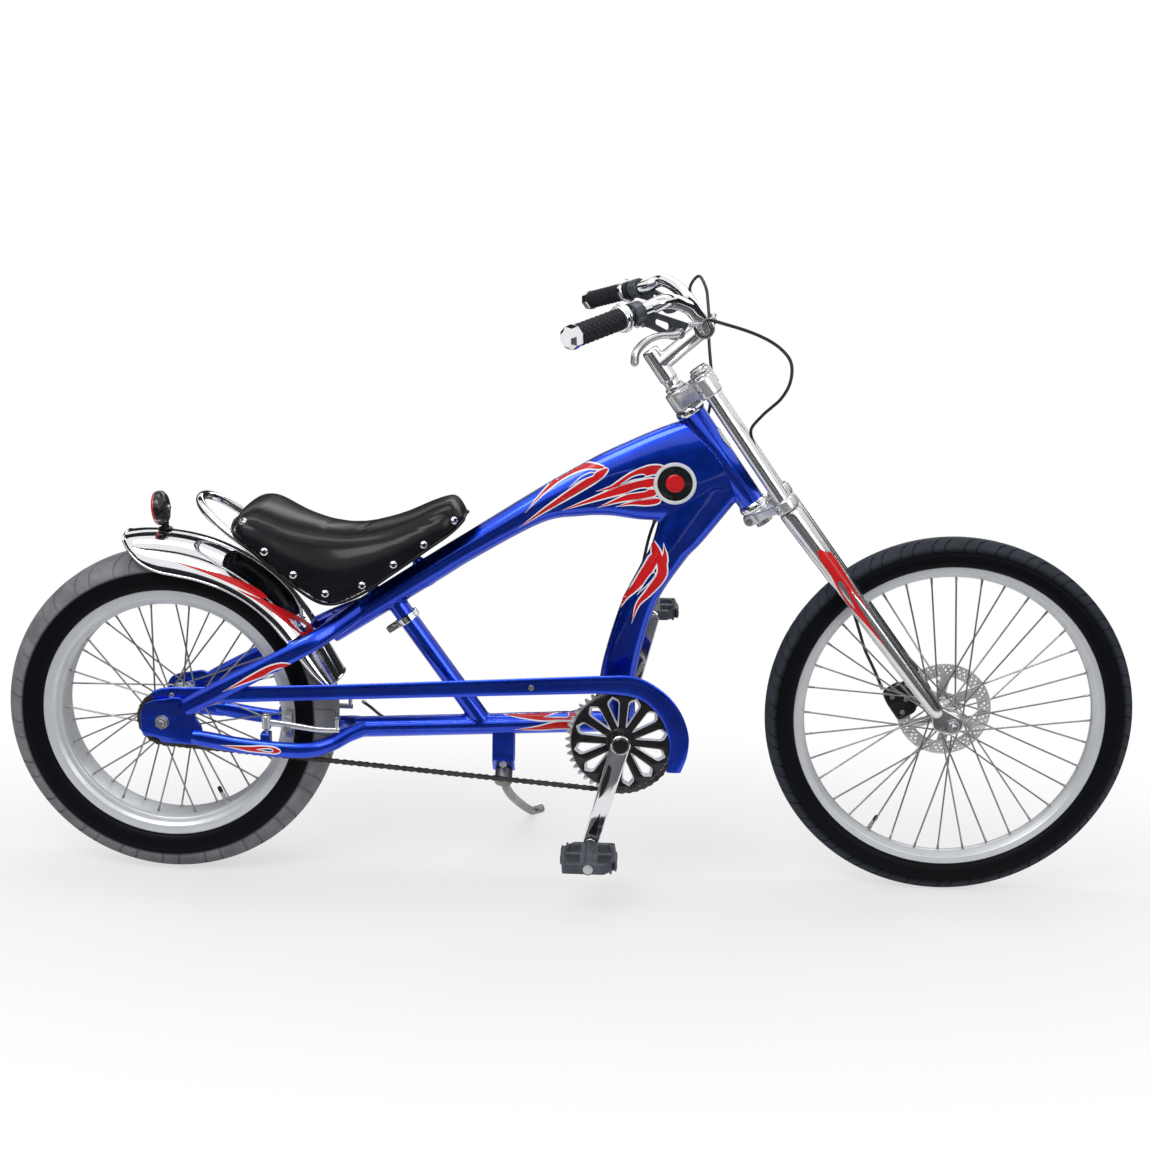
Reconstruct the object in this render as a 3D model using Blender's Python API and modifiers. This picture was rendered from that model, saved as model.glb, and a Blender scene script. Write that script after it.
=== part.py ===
# Chopper bike with a raked double-crown fork, a wide rear wheel and a single-speed chain drive.
# Metres, X forward, Y to the rider's left, Z up, origin on the ground under the middle of the bike.

import math

import bmesh
import bpy
from mathutils import Matrix, Vector

# Wheels and where they stand
WHEELBASE = 1.3144
FRONT_TYRE_RADIUS = 0.3067
FRONT_TYRE_WIDTH = 0.054
FRONT_TREAD_FLAT = 0.016
FRONT_TYRE_WALL = 0.0483
FRONT_RIM_WIDTH = 0.0348
FRONT_RIM_DEPTH = 0.0254
REAR_TYRE_RADIUS = 0.2808
REAR_TYRE_WIDTH = 0.105
REAR_TREAD_FLAT = 0.036
REAR_TYRE_WALL = 0.0670
REAR_RIM_WIDTH = 0.0865
REAR_RIM_DEPTH = 0.0263
WHEEL_FACETS = 36
SPOKES = 36
SPOKE_THICKNESS = 0.0021
SPOKE_LIFT = 0.00120
FLANGE_THICKNESS = 0.0052
FRONT_HUB_LENGTH = 0.099
REAR_HUB_LENGTH = 0.156
FRONT_FLANGE_RADIUS = 0.0240
REAR_FLANGE_RADIUS = 0.0280
FRONT_AXLE_RADIUS = 0.0050
REAR_AXLE_RADIUS = 0.0055
DISC_RADIUS = 0.080
DISC_THICKNESS = 0.0020
DISC_OFFSET = 0.0365

# Steering
HEAD_ANGLE = math.radians(54.6)
FORK_OFFSET = 0.0737
HEAD_HEIGHT = 0.579
HEAD_TUBE_LENGTH = 0.176
HEAD_TUBE_RADIUS = 0.0220
HEAD_TUBE_BORE = 0.0175
STEERER_RADIUS = 0.0143
STEERER_BORE = 0.0118
CUP_HEIGHT = 0.0130
CUP_RADIUS = 0.0250
LOWER_CROWN_THICKNESS = 0.020
UPPER_CROWN_THICKNESS = 0.033
LEG_SPACING = 0.120
LEG_SET_FORWARD = 0.046
DROPOUT_SET_FORWARD = 0.064
STANCHION_RADIUS = 0.0127
LEG_TOP_RADIUS = 0.0192
LEG_TIP_RADIUS = 0.0125
FORK_DROPOUT_GAP = 0.100
FORK_DROPOUT_THICKNESS = 0.0070

# Stem and handlebar
STEM_ARM_RISE = 0.0491
STEM_HEAD_RISE = 0.0290
STEM_REACH = 0.092
STEM_ARM_RADIUS = 0.0132
STEM_CLAMP_WIDTH = 0.040
BAR_RADIUS = 0.0111
GRIP_LENGTH = 0.1235
GRIP_RADIUS = 0.0160

# Drive
CHAINSTAY_LENGTH = 0.7656
BRACKET_HEIGHT = 0.2655
BRACKET_SHELL_RADIUS = 0.0235
BRACKET_SHELL_WIDTH = 0.100
SPINDLE_RADIUS = 0.0085
CRANK_LENGTH = 0.182
CRANK_ANGLE = math.radians(15.0)
CRANK_OFFSET = 0.0850
CRANK_THICKNESS = 0.0125
CHAIN_PITCH = 0.0127
CHAIN_LINE = -0.064
CHAINRING_TEETH = 44
SPROCKET_TEETH = 22
TOOTH_THICKNESS = 0.0024
TOOTH_HEIGHT = 0.0045
RING_INNER_RADIUS = 0.0770
PETAL_RADIUS = 0.0832
PETAL_THICKNESS = 0.0050
PETAL_WINDOWS = 12
PEDAL_LENGTH = 0.095
PEDAL_WIDTH = 0.100
PEDAL_THICKNESS = 0.020
PEDAL_OFFSET = 0.0650

# Frame
TOP_TUBE_RADIUS = 0.0212
BOTTOM_TUBE_RADIUS = 0.0180
STRUT_RADIUS = 0.0165
WEB_HALF_WIDTH = 0.0205
TOP_TUBE_AHEAD = 0.2871
TOP_TUBE_RISE = 0.1542
BOTTOM_TUBE_AHEAD = 0.3100
BOTTOM_TUBE_DROP = 0.0260
BOTTOM_TUBE_LIFT = 0.0142
STAY_SPACING = 0.169
SEAT_STAY_HEIGHT = 0.031
SEAT_STAY_WIDTH = 0.015
CHAIN_STAY_HEIGHT = 0.027
CHAIN_STAY_WIDTH = 0.015
REAR_DROPOUT_GAP = 0.157
REAR_DROPOUT_THICKNESS = 0.0070
GUARD_OUTER = -0.0766
GUARD_THICKNESS = 0.0052
FENDER_TYRE_GAP = 0.0267
FENDER_HALF_WIDTH = 0.0695
FENDER_SHEET = 0.0016
RAIL_RADIUS = 0.0073
SADDLE_PAD = 0.040
CABLE_RADIUS = 0.0026
KICKSTAND_BAR_RADIUS = 0.0075
BRAKE_PIVOT_RADIUS = 0.0045
BRAKE_PAD_GAP = 0.0020

# Clearances between pieces
SEAT_GAP = 0.0003
TURN_GAP = 0.0006

# Where the main points are
FRONT_RIM_RADIUS = FRONT_TYRE_RADIUS - FRONT_TYRE_WALL
REAR_RIM_RADIUS = REAR_TYRE_RADIUS - REAR_TYRE_WALL
FENDER_RADIUS = REAR_TYRE_RADIUS + FENDER_TYRE_GAP
REAR_AXLE = Vector(((REAR_TYRE_RADIUS - FRONT_TYRE_RADIUS - WHEELBASE) / 2, 0, REAR_TYRE_RADIUS))
FRONT_AXLE = Vector((REAR_AXLE.x + WHEELBASE, 0, FRONT_TYRE_RADIUS))
BRACKET = Vector((REAR_AXLE.x + CHAINSTAY_LENGTH, 0, BRACKET_HEIGHT))
STEER_UP = Vector((-math.cos(HEAD_ANGLE), 0, math.sin(HEAD_ANGLE)))
STEER_FORWARD = Vector((math.sin(HEAD_ANGLE), 0, math.cos(HEAD_ANGLE)))
STEER_BASE = FRONT_AXLE - STEER_FORWARD * FORK_OFFSET
HEAD_BOTTOM = HEAD_HEIGHT - HEAD_TUBE_LENGTH / 2
HEAD_TOP = HEAD_HEIGHT + HEAD_TUBE_LENGTH / 2
LOWER_CUP_BOTTOM = HEAD_BOTTOM - SEAT_GAP - CUP_HEIGHT
UPPER_CUP_TOP = HEAD_TOP + SEAT_GAP + CUP_HEIGHT
LOWER_CROWN_TOP = LOWER_CUP_BOTTOM - TURN_GAP
LOWER_CROWN_BOTTOM = LOWER_CROWN_TOP - LOWER_CROWN_THICKNESS
UPPER_CROWN_BOTTOM = UPPER_CUP_TOP + TURN_GAP
UPPER_CROWN_TOP = UPPER_CROWN_BOTTOM + UPPER_CROWN_THICKNESS
STEM_ARM_HEIGHT = UPPER_CROWN_TOP + STEM_ARM_RISE
STEM_TOP = STEM_ARM_HEIGHT + STEM_HEAD_RISE
RING_PITCH_RADIUS = CHAIN_PITCH / (2 * math.sin(math.pi / CHAINRING_TEETH))
SPROCKET_PITCH_RADIUS = CHAIN_PITCH / (2 * math.sin(math.pi / SPROCKET_TEETH))
SIDES = {"right": -1, "left": 1}
Y_AXIS = Vector((0, 1, 0))


def steering(forward, side, height):
    """World point given by its place ahead of the steering axis, beside it and up along it."""
    return STEER_BASE + STEER_FORWARD * forward + Y_AXIS * side + STEER_UP * height


def rear(x, y, z):
    """World point given from the rear axle."""
    return REAR_AXLE + Vector((x, y, z))


def crank_side(x, y, z):
    """World point given from the middle of the bottom bracket."""
    return BRACKET + Vector((x, y, z))


def between(start, end, share, rise):
    """Point at a share of the line from start to end, raised square to it in the XZ plane."""
    line = end - start
    square = Vector((-line.z, 0, line.x)).normalized()
    return start + line * share + square * rise


HEAD_MIDDLE = steering(0, 0, HEAD_HEIGHT)
TOP_TUBE_START = rear(TOP_TUBE_AHEAD, 0, TOP_TUBE_RISE)
BOTTOM_TUBE_START = rear(BOTTOM_TUBE_AHEAD, 0, -BOTTOM_TUBE_DROP)
BOTTOM_TUBE_END = crank_side(0, 0, BOTTOM_TUBE_LIFT)

COLORS = {
    "blue_paint": ((0.004, 0.018, 0.420), 0.22, 0.35),
    "chrome": ((0.80, 0.80, 0.80), 0.10, 1.0),
    "steel": ((0.62, 0.62, 0.62), 0.30, 1.0),
    "alloy": ((0.60, 0.62, 0.64), 0.28, 0.9),
    "rubber": ((0.020, 0.020, 0.022), 0.80, 0.0),
    "leather": ((0.012, 0.012, 0.014), 0.42, 0.0),
    "black_paint": ((0.010, 0.010, 0.012), 0.30, 0.0),
    "grey_plastic": ((0.055, 0.062, 0.085), 0.50, 0.0),
    "red_lens": ((0.60, 0.010, 0.010), 0.15, 0.0),
}

PARTS = bpy.data.collections.new("chopper_bike")
CUTTERS = bpy.data.collections.new("cutters")


def clear_scene():
    for obj in list(bpy.data.objects):
        bpy.data.objects.remove(obj, do_unlink=True)
    bpy.context.scene.collection.children.link(PARTS)
    bpy.context.scene.collection.children.link(CUTTERS)


def finish_of(name):
    """The Principled material of that name, made on first use."""
    found = bpy.data.materials.get(name)
    if found:
        return found
    color, roughness, metallic = COLORS[name]
    made = bpy.data.materials.new(name)
    made.use_nodes = True
    shader = made.node_tree.nodes["Principled BSDF"]
    shader.inputs["Base Color"].default_value = (*color, 1)
    shader.inputs["Roughness"].default_value = roughness
    shader.inputs["Metallic"].default_value = metallic
    return made


def add_object(name, data, finish):
    obj = bpy.data.objects.new(name, data)
    PARTS.objects.link(obj)
    data.materials.append(finish_of(finish))
    return obj


def from_bmesh(name, bm, finish):
    mesh = bpy.data.meshes.new(name)
    bmesh.ops.recalc_face_normals(bm, faces=bm.faces)
    bm.to_mesh(mesh)
    bm.free()
    return add_object(name, mesh, finish)


def settled(obj, origin=Vector((0, 0, 0)), merge=0.000001):
    """The object as a plain mesh in world axes, with its origin at the given point."""
    bpy.context.view_layer.update()
    graph = bpy.context.evaluated_depsgraph_get()
    mesh = bpy.data.meshes.new_from_object(obj.evaluated_get(graph))
    mesh.transform(obj.matrix_world)
    mesh.transform(Matrix.Translation(-origin))
    bm = bmesh.new()
    bm.from_mesh(mesh)
    bmesh.ops.remove_doubles(bm, verts=bm.verts, dist=merge)
    if bm.calc_volume(signed=True) < 0:
        bmesh.ops.reverse_faces(bm, faces=bm.faces)
    bm.to_mesh(mesh)
    bm.free()
    name = obj.name
    bpy.data.objects.remove(obj, do_unlink=True)
    made = bpy.data.objects.new(name, mesh)
    PARTS.objects.link(made)
    made.location = origin
    mesh.shade_smooth()
    mesh.set_sharp_from_angle(angle=math.radians(35))
    return made


def as_mesh(obj):
    """The object with its modifiers and curve made into plain mesh, at the same place."""
    bpy.context.view_layer.update()
    return settled(obj, obj.matrix_world.translation.copy())


def combined(obj, tools, operation):
    """The object joined with or cut by the tools, which move to the cutters."""
    for tool in tools:
        modifier = obj.modifiers.new(operation.title(), "BOOLEAN")
        modifier.operation = operation
        modifier.solver = "EXACT"
        modifier.object = tool
        PARTS.objects.unlink(tool)
        CUTTERS.objects.link(tool)
        tool.hide_render = True
        tool.display_type = "WIRE"
    return obj


def join(obj, *others):
    return combined(obj, others, "UNION")


def cut(obj, *tools):
    return combined(obj, tools, "DIFFERENCE")


def add_empty(name, place, turn=0.0):
    """A marker on a joint's axis that the moving pieces hang from, turned about Y."""
    empty = bpy.data.objects.new(name, None)
    empty.empty_display_size = 0.05
    empty.matrix_world = Matrix.Translation(place) @ Matrix.Rotation(turn, 4, "Y")
    PARTS.objects.link(empty)
    return empty


def hang(empty, *names):
    """Parents the named pieces to an empty without moving them."""
    bpy.context.view_layer.update()
    for name in names:
        child = bpy.data.objects[name]
        child.parent = empty
        child.matrix_parent_inverse = empty.matrix_world.inverted()


def rod(name, start, end, radius, finish, end_radius=None, sides=16, turn=0.0):
    """A cylinder or cone from one point to another, its flats at the given radius."""
    line = end - start
    swell = 1 / math.cos(math.pi / sides)
    bm = bmesh.new()
    bmesh.ops.create_cone(
        bm,
        cap_ends=True,
        segments=sides,
        radius1=radius * swell,
        radius2=(radius if end_radius is None else end_radius) * swell,
        depth=line.length,
    )
    facing = line.to_track_quat("Z", "Y").to_matrix().to_4x4()
    place = Matrix.Translation((start + end) / 2) @ facing @ Matrix.Rotation(turn, 4, "Z")
    bmesh.ops.transform(bm, matrix=place, verts=bm.verts)
    return from_bmesh(name, bm, finish)


def block(name, middle, size, finish, turn=0.0, bevel=0.0):
    """A box with its sizes along X, Y and Z, turned about Y, with bevelled edges."""
    bm = bmesh.new()
    bmesh.ops.create_cube(bm, size=1)
    bmesh.ops.scale(bm, vec=size, verts=bm.verts)
    if bevel:
        bmesh.ops.bevel(bm, geom=bm.edges[:], offset=bevel, segments=1, affect="EDGES")
    place = Matrix.Translation(middle) @ Matrix.Rotation(turn, 4, "Y")
    bmesh.ops.transform(bm, matrix=place, verts=bm.verts)
    return from_bmesh(name, bm, finish)


def turned(name, middle, profile, finish, steps, axis=Y_AXIS, half_step=True):
    """A profile of (radius, place along the axis) turned about the axis, closed or from axis to axis."""
    swell = 1 / math.cos(math.pi / steps)
    mesh = bpy.data.meshes.new(name)
    points = [(radius * swell, 0, along) for radius, along in profile]
    solid_core = profile[0][0] == 0
    edges = [(i, i + 1) for i in range(len(points) - 1)]
    if not solid_core:
        edges.append((len(points) - 1, 0))
    mesh.from_pydata(points, edges, [])
    obj = add_object(name, mesh, finish)
    screw = obj.modifiers.new("Turn", "SCREW")
    screw.steps = steps
    screw.render_steps = steps
    screw.use_merge_vertices = True
    screw.merge_threshold = 0.00001
    phase = math.pi / steps if half_step else 0.0
    if abs(axis.dot(Y_AXIS)) > 0.9999:
        facing = Matrix.Rotation(-math.pi / 2, 4, "X")
    else:
        facing = axis.to_track_quat("Z", "Y").to_matrix().to_4x4()
    obj.matrix_world = Matrix.Translation(middle) @ facing @ Matrix.Rotation(phase, 4, "Z")
    return settled(obj, middle, merge=0.00001)


def tube(name, points, radius, finish, resolution=2, radii=None):
    """A round wire or tube through the points, with filled ends."""
    curve = bpy.data.curves.new(name, "CURVE")
    curve.dimensions = "3D"
    curve.bevel_depth = radius
    curve.bevel_resolution = resolution
    curve.use_fill_caps = True
    spline = curve.splines.new("POLY")
    spline.points.add(len(points) - 1)
    for i, point in enumerate(points):
        spline.points[i].co = (*point, 1)
        spline.points[i].radius = 1 if radii is None else radii[i]
    return settled(add_object(name, curve, finish), merge=0.00001)


def plate(name, outline, middle, thickness, finish, holes=(), facing=None):
    """A flat outline in the XZ plane, or in the facing matrix's own plane, with holes."""
    curve = bpy.data.curves.new(name, "CURVE")
    curve.dimensions = "2D"
    curve.fill_mode = "BOTH"
    curve.extrude = thickness / 2
    for loop in (outline, *holes):
        spline = curve.splines.new("POLY")
        spline.points.add(len(loop) - 1)
        spline.use_cyclic_u = True
        for i, (x, y) in enumerate(loop):
            spline.points[i].co = (x, y, 0, 1)
    obj = add_object(name, curve, finish)
    turned_up = Matrix.Rotation(math.pi / 2, 4, "X") if facing is None else facing
    obj.matrix_world = Matrix.Translation(middle) @ turned_up
    return settled(obj, middle, merge=0.00001)


def circle(radius, count, middle=(0, 0), start=0.0):
    swell = 1 / math.cos(math.pi / count)
    angles = [start + 2 * math.pi * i / count for i in range(count)]
    return [
        (middle[0] + radius * swell * math.cos(a), middle[1] + radius * swell * math.sin(a))
        for a in angles
    ]


def rounded_hull(circles, count=24):
    """The outline of a belt round several circles of (x, y, radius)."""
    points = []
    for i in range(count):
        angle = 2 * math.pi * i / count
        way = Vector((math.cos(angle), math.sin(angle)))
        x, y, radius = max(circles, key=lambda c: way.dot(Vector(c[:2])) + c[2])
        points.append((x + radius * way.x, y + radius * way.y))
    return points


def ring(middle, up, side, squareness=2.0, count=14):
    """Points round a superellipse with half axes up and side."""
    points = []
    for i in range(count):
        angle = 2 * math.pi * (i + 0.5) / count
        c = math.cos(angle)
        s = math.sin(angle)
        a = math.copysign(abs(c) ** (2 / squareness), c)
        b = math.copysign(abs(s) ** (2 / squareness), s)
        points.append(middle + up * a + side * b)
    return points


def loft(name, rings, finish):
    """A closed skin through rings of equal counts, capped at both ends."""
    bm = bmesh.new()
    loops = [[bm.verts.new(point) for point in points] for points in rings]
    count = len(loops[0])
    for first, second in zip(loops, loops[1:]):
        for i in range(count):
            j = (i + 1) % count
            bm.faces.new((first[i], first[j], second[j], second[i]))
    bm.faces.new(loops[0])
    bm.faces.new(loops[-1])
    return settled(from_bmesh(name, bm, finish))


def swept(name, stations, finish, squareness=2.0, count=12, grow=0.0):
    """A tube of varying height and width; each station is (point, half height, half width)."""
    rings = []
    for i, (point, half_height, half_width) in enumerate(stations):
        before = stations[max(i - 1, 0)][0]
        after = stations[min(i + 1, len(stations) - 1)][0]
        along = (after - before).normalized()
        side = (Y_AXIS - along * Y_AXIS.dot(along)).normalized()
        up = along.cross(side).normalized()
        rings.append(
            ring(point, up * (half_height + grow), side * (half_width + grow), squareness, count)
        )
    return loft(name, rings, finish)


def smooth_path(points, step):
    """Points about a step apart on a Catmull-Rom curve through the given ones."""
    ends = [points[0] * 2 - points[1], *points, points[-1] * 2 - points[-2]]
    path = []
    for i in range(1, len(ends) - 2):
        a, b, c, d = ends[i - 1 : i + 3]
        pieces = max(1, round((c - b).length / step))
        for k in range(pieces):
            t = k / pieces
            path.append(
                (
                    b * 2
                    + (c - a) * t
                    + (a * 2 - b * 5 + c * 4 - d) * t**2
                    + (b * 3 - a - c * 3 + d) * t**3
                )
                / 2
            )
    path.append(points[-1])
    return path


# Wheels


def wheel_ring(name, middle, half_profile, finish):
    """A ring from the +Y half of its profile, listed from the tread side inward."""
    profile = half_profile + [(radius, -along) for radius, along in reversed(half_profile)]
    return turned(name, middle, profile, finish, WHEEL_FACETS)


def build_tyres():
    bead = FRONT_RIM_RADIUS + SEAT_GAP
    half = FRONT_TYRE_WIDTH / 2
    wall = FRONT_TYRE_RADIUS - FRONT_RIM_RADIUS
    wheel_ring(
        "front_tyre",
        FRONT_AXLE,
        [
            (FRONT_TYRE_RADIUS, FRONT_TREAD_FLAT / 2),
            (FRONT_TYRE_RADIUS - wall * 0.20, half * 0.80),
            (FRONT_TYRE_RADIUS - wall * 0.56, half),
            (bead, FRONT_RIM_WIDTH / 2 - 0.001),
        ],
        "rubber",
    )
    bead = REAR_RIM_RADIUS + SEAT_GAP
    half = REAR_TYRE_WIDTH / 2
    wall = REAR_TYRE_RADIUS - REAR_RIM_RADIUS
    wheel_ring(
        "rear_tyre",
        REAR_AXLE,
        [
            (REAR_TYRE_RADIUS, REAR_TREAD_FLAT / 2),
            (REAR_TYRE_RADIUS - wall * 0.17, half * 0.80),
            (REAR_TYRE_RADIUS - wall * 0.56, half),
            (bead, REAR_RIM_WIDTH / 2 - 0.002),
        ],
        "rubber",
    )


def build_rims():
    half = FRONT_RIM_WIDTH / 2
    inner = FRONT_RIM_RADIUS - FRONT_RIM_DEPTH
    wheel_ring(
        "front_rim",
        FRONT_AXLE,
        [
            (FRONT_RIM_RADIUS, half),
            (FRONT_RIM_RADIUS - 0.0150, half),
            (inner + 0.0015, half * 0.52),
            (inner, half * 0.30),
        ],
        "alloy",
    )
    half = REAR_RIM_WIDTH / 2
    inner = REAR_RIM_RADIUS - REAR_RIM_DEPTH
    wheel_ring(
        "rear_rim",
        REAR_AXLE,
        [
            (REAR_RIM_RADIUS, half),
            (REAR_RIM_RADIUS - 0.0150, half - 0.0010),
            (inner + 0.0040, half * 0.72),
            (inner, half * 0.62),
        ],
        "alloy",
    )


def spokes(name, middle, flange_radius, flanges, rim_radius, rim_offsets):
    """Wires crossed three times, leading and trailing ones in two planes at each flange."""
    bm = bmesh.new()
    per_flange = SPOKES // 2
    wrap = 2 * math.pi * 3 / per_flange * 0.96
    for k, flange in enumerate(flanges):
        for i in range(per_flange):
            leads = 1 if i % 2 else -1
            angle = 2 * math.pi * (i + k / 2) / per_flange
            hub_angle = angle + leads * wrap
            lift = leads * SPOKE_LIFT
            reach = flange_radius - 0.003
            start = Vector((reach * math.cos(hub_angle), flange + lift, reach * math.sin(hub_angle)))
            end = Vector((math.cos(angle), 0, math.sin(angle))) * rim_radius
            end.y = rim_offsets[k] + lift
            line = (end - start).normalized()
            side = (Y_AXIS - line * Y_AXIS.dot(line)).normalized()
            facing = Matrix((side, line.cross(side), line)).transposed().to_4x4()
            place = Matrix.Translation(middle + (start + end) / 2) @ facing
            bmesh.ops.create_cone(
                bm,
                cap_ends=True,
                segments=3,
                radius1=SPOKE_THICKNESS * 0.65,
                radius2=SPOKE_THICKNESS * 0.65,
                depth=(end - start).length,
                matrix=place,
            )
    return from_bmesh(name, bm, "steel")


def hub_profile(length, bore, barrel, flange_radius, flanges, step_radius, left_step, right_step):
    """Half section of a hub as (radius, y), from its right end to its left end, with its bore."""
    right, left = flanges
    half = length / 2
    thick = FLANGE_THICKNESS / 2
    return [
        (bore, -half),
        (step_radius, -half),
        (right_step[0], right_step[1]),
        (right_step[0], right - 0.0060),
        (flange_radius, right - thick),
        (flange_radius, right + thick),
        (barrel, right + 0.0060),
        (barrel, left - 0.0060),
        (flange_radius, left - thick),
        (flange_radius, left + thick),
        (left_step[0], left + 0.0040),
        (left_step[0], left_step[1]),
        (step_radius, left_step[1]),
        (step_radius, half),
        (bore, half),
    ]


FRONT_FLANGES = (-0.0330, 0.0290)
REAR_FLANGES = (-0.0440, 0.0560)


def build_hubs():
    profile = hub_profile(
        FRONT_HUB_LENGTH,
        FRONT_AXLE_RADIUS + TURN_GAP,
        0.0130,
        FRONT_FLANGE_RADIUS,
        FRONT_FLANGES,
        0.0095,
        (0.0170, DISC_OFFSET - DISC_THICKNESS / 2 - SEAT_GAP),
        (0.0110, -0.0460),
    )
    hub = turned("front_spokes", FRONT_AXLE, profile, "alloy", 12)
    laced = spokes(
        "lacing",
        FRONT_AXLE,
        FRONT_FLANGE_RADIUS,
        FRONT_FLANGES,
        FRONT_RIM_RADIUS - FRONT_RIM_DEPTH - SEAT_GAP * 3,
        (-0.0035, 0.0035),
    )
    join(hub, laced)
    profile = hub_profile(
        REAR_HUB_LENGTH,
        REAR_AXLE_RADIUS + TURN_GAP,
        0.0165,
        REAR_FLANGE_RADIUS,
        REAR_FLANGES,
        0.0095,
        (0.0180, 0.0700),
        (0.0150, -0.0745),
    )
    hub = turned("rear_spokes", REAR_AXLE, profile, "alloy", 12)
    laced = spokes(
        "lacing",
        REAR_AXLE,
        REAR_FLANGE_RADIUS,
        REAR_FLANGES,
        REAR_RIM_RADIUS - REAR_RIM_DEPTH - SEAT_GAP * 3,
        (-0.0140, 0.0140),
    )
    join(hub, laced)


def axle(name, middle, radius, inner_half, outer_half):
    """A through axle with a nut outside each dropout."""
    nut = radius * 1.85
    half = [
        (0.0, outer_half),
        (radius, outer_half - 0.0010),
        (radius, outer_half - 0.0060),
        (nut, outer_half - 0.0070),
        (nut, inner_half + SEAT_GAP),
        (radius, inner_half + SEAT_GAP),
    ]
    profile = half + [(r, -y) for r, y in reversed(half)]
    turned(name, middle, profile, "steel", 10)


def build_axles():
    axle(
        "front_axle",
        FRONT_AXLE,
        FRONT_AXLE_RADIUS,
        FORK_DROPOUT_GAP / 2 + FORK_DROPOUT_THICKNESS,
        0.0770,
    )
    axle(
        "rear_axle",
        REAR_AXLE,
        REAR_AXLE_RADIUS,
        REAR_DROPOUT_GAP / 2 + REAR_DROPOUT_THICKNESS,
        0.0980,
    )


def build_brake_disc():
    inner = 0.0110
    windows = 6
    holes = [circle(inner, 16)]
    for i in range(windows):
        middle = 2 * math.pi * i / windows
        hole = []
        for radius, spread, steps in ((0.058, 0.36, 4), (0.027, 0.26, 2)):
            angles = [middle - spread + 2 * spread * k / (steps - 1) for k in range(steps)]
            if radius < 0.04:
                angles.reverse()
            hole += [(radius * math.cos(a), radius * math.sin(a)) for a in angles]
        holes.append(hole)
    place = FRONT_AXLE + Y_AXIS * DISC_OFFSET
    disc = plate("brake_rotor", circle(DISC_RADIUS, WHEEL_FACETS), place, DISC_THICKNESS, "steel", holes)
    return disc


# Drive


def toothed_outline(teeth, pitch_radius):
    """Outline of a chain wheel: one point in each gap and two on each tooth."""
    points = []
    pitch = 2 * math.pi / teeth
    root = pitch_radius - CHAIN_PITCH * 0.26
    tip = pitch_radius + TOOTH_HEIGHT
    for i in range(teeth):
        middle = pitch * i
        for radius, share in ((root, -0.50), (tip, -0.13), (tip, 0.13)):
            angle = middle + pitch * share
            points.append((radius * math.cos(angle), radius * math.sin(angle)))
    return points


def build_chain_wheels():
    place = BRACKET + Y_AXIS * CHAIN_LINE
    outline = toothed_outline(CHAINRING_TEETH, RING_PITCH_RADIUS)
    plate("chainring", outline, place, TOOTH_THICKNESS, "chrome", [circle(RING_INNER_RADIUS, 24)])
    boss_radius = 0.0155 + TURN_GAP
    half = 0.0075
    hub = turned(
        "rear_sprocket",
        REAR_AXLE,
        [
            (boss_radius, CHAIN_LINE + half),
            (0.0270, CHAIN_LINE + half),
            (0.0270, CHAIN_LINE - half),
            (boss_radius, CHAIN_LINE - half),
        ],
        "steel",
        12,
    )
    place = REAR_AXLE + Y_AXIS * CHAIN_LINE
    outline = toothed_outline(SPROCKET_TEETH, SPROCKET_PITCH_RADIUS)
    teeth = plate("teeth", outline, place, TOOTH_THICKNESS, "steel", [circle(0.0245, 12)])
    join(hub, teeth)


def build_petal_disc():
    """The dished face of the chainring, cut by tapered kite-shaped windows."""
    hole = 0.0168 + SEAT_GAP
    back = CHAIN_LINE - TOOTH_THICKNESS / 2 - SEAT_GAP
    front = back - PETAL_THICKNESS
    disc = turned(
        "chainring_disc",
        BRACKET,
        [
            (hole, front - 0.0015),
            (0.0240, front - 0.0015),
            (0.0300, front),
            (PETAL_RADIUS - 0.0015, front),
            (PETAL_RADIUS, front + 0.0015),
            (PETAL_RADIUS, back),
            (hole, back),
        ],
        "black_paint",
        24,
    )
    half_kite = [(0.0420, 0.0052), (0.0630, 0.0096), (0.0710, 0.0084)]
    kite = [(0.0245, 0.0)] + half_kite + [(0.0785, 0.0)] + [(r, -side) for r, side in reversed(half_kite)]
    taper = 0.80
    bm = bmesh.new()
    for i in range(PETAL_WINDOWS):
        angle = math.radians(101.6) + 2 * math.pi * i / PETAL_WINDOWS
        loops = []
        for y, share in ((front - 0.004, 1.06), (back + 0.004, taper)):
            loop = []
            for radius, side in kite:
                r = 0.0560 + (radius - 0.0560) * share
                s = side * share
                x = r * math.cos(angle) - s * math.sin(angle)
                z = r * math.sin(angle) + s * math.cos(angle)
                loop.append(bm.verts.new(BRACKET + Vector((x, y, z))))
            loops.append(loop)
        for k in range(len(kite)):
            n = (k + 1) % len(kite)
            bm.faces.new((loops[0][k], loops[0][n], loops[1][n], loops[1][k]))
        bm.faces.new(loops[0])
        bm.faces.new(loops[1])
    cut(disc, from_bmesh("windows", bm, "black_paint"))


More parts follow.
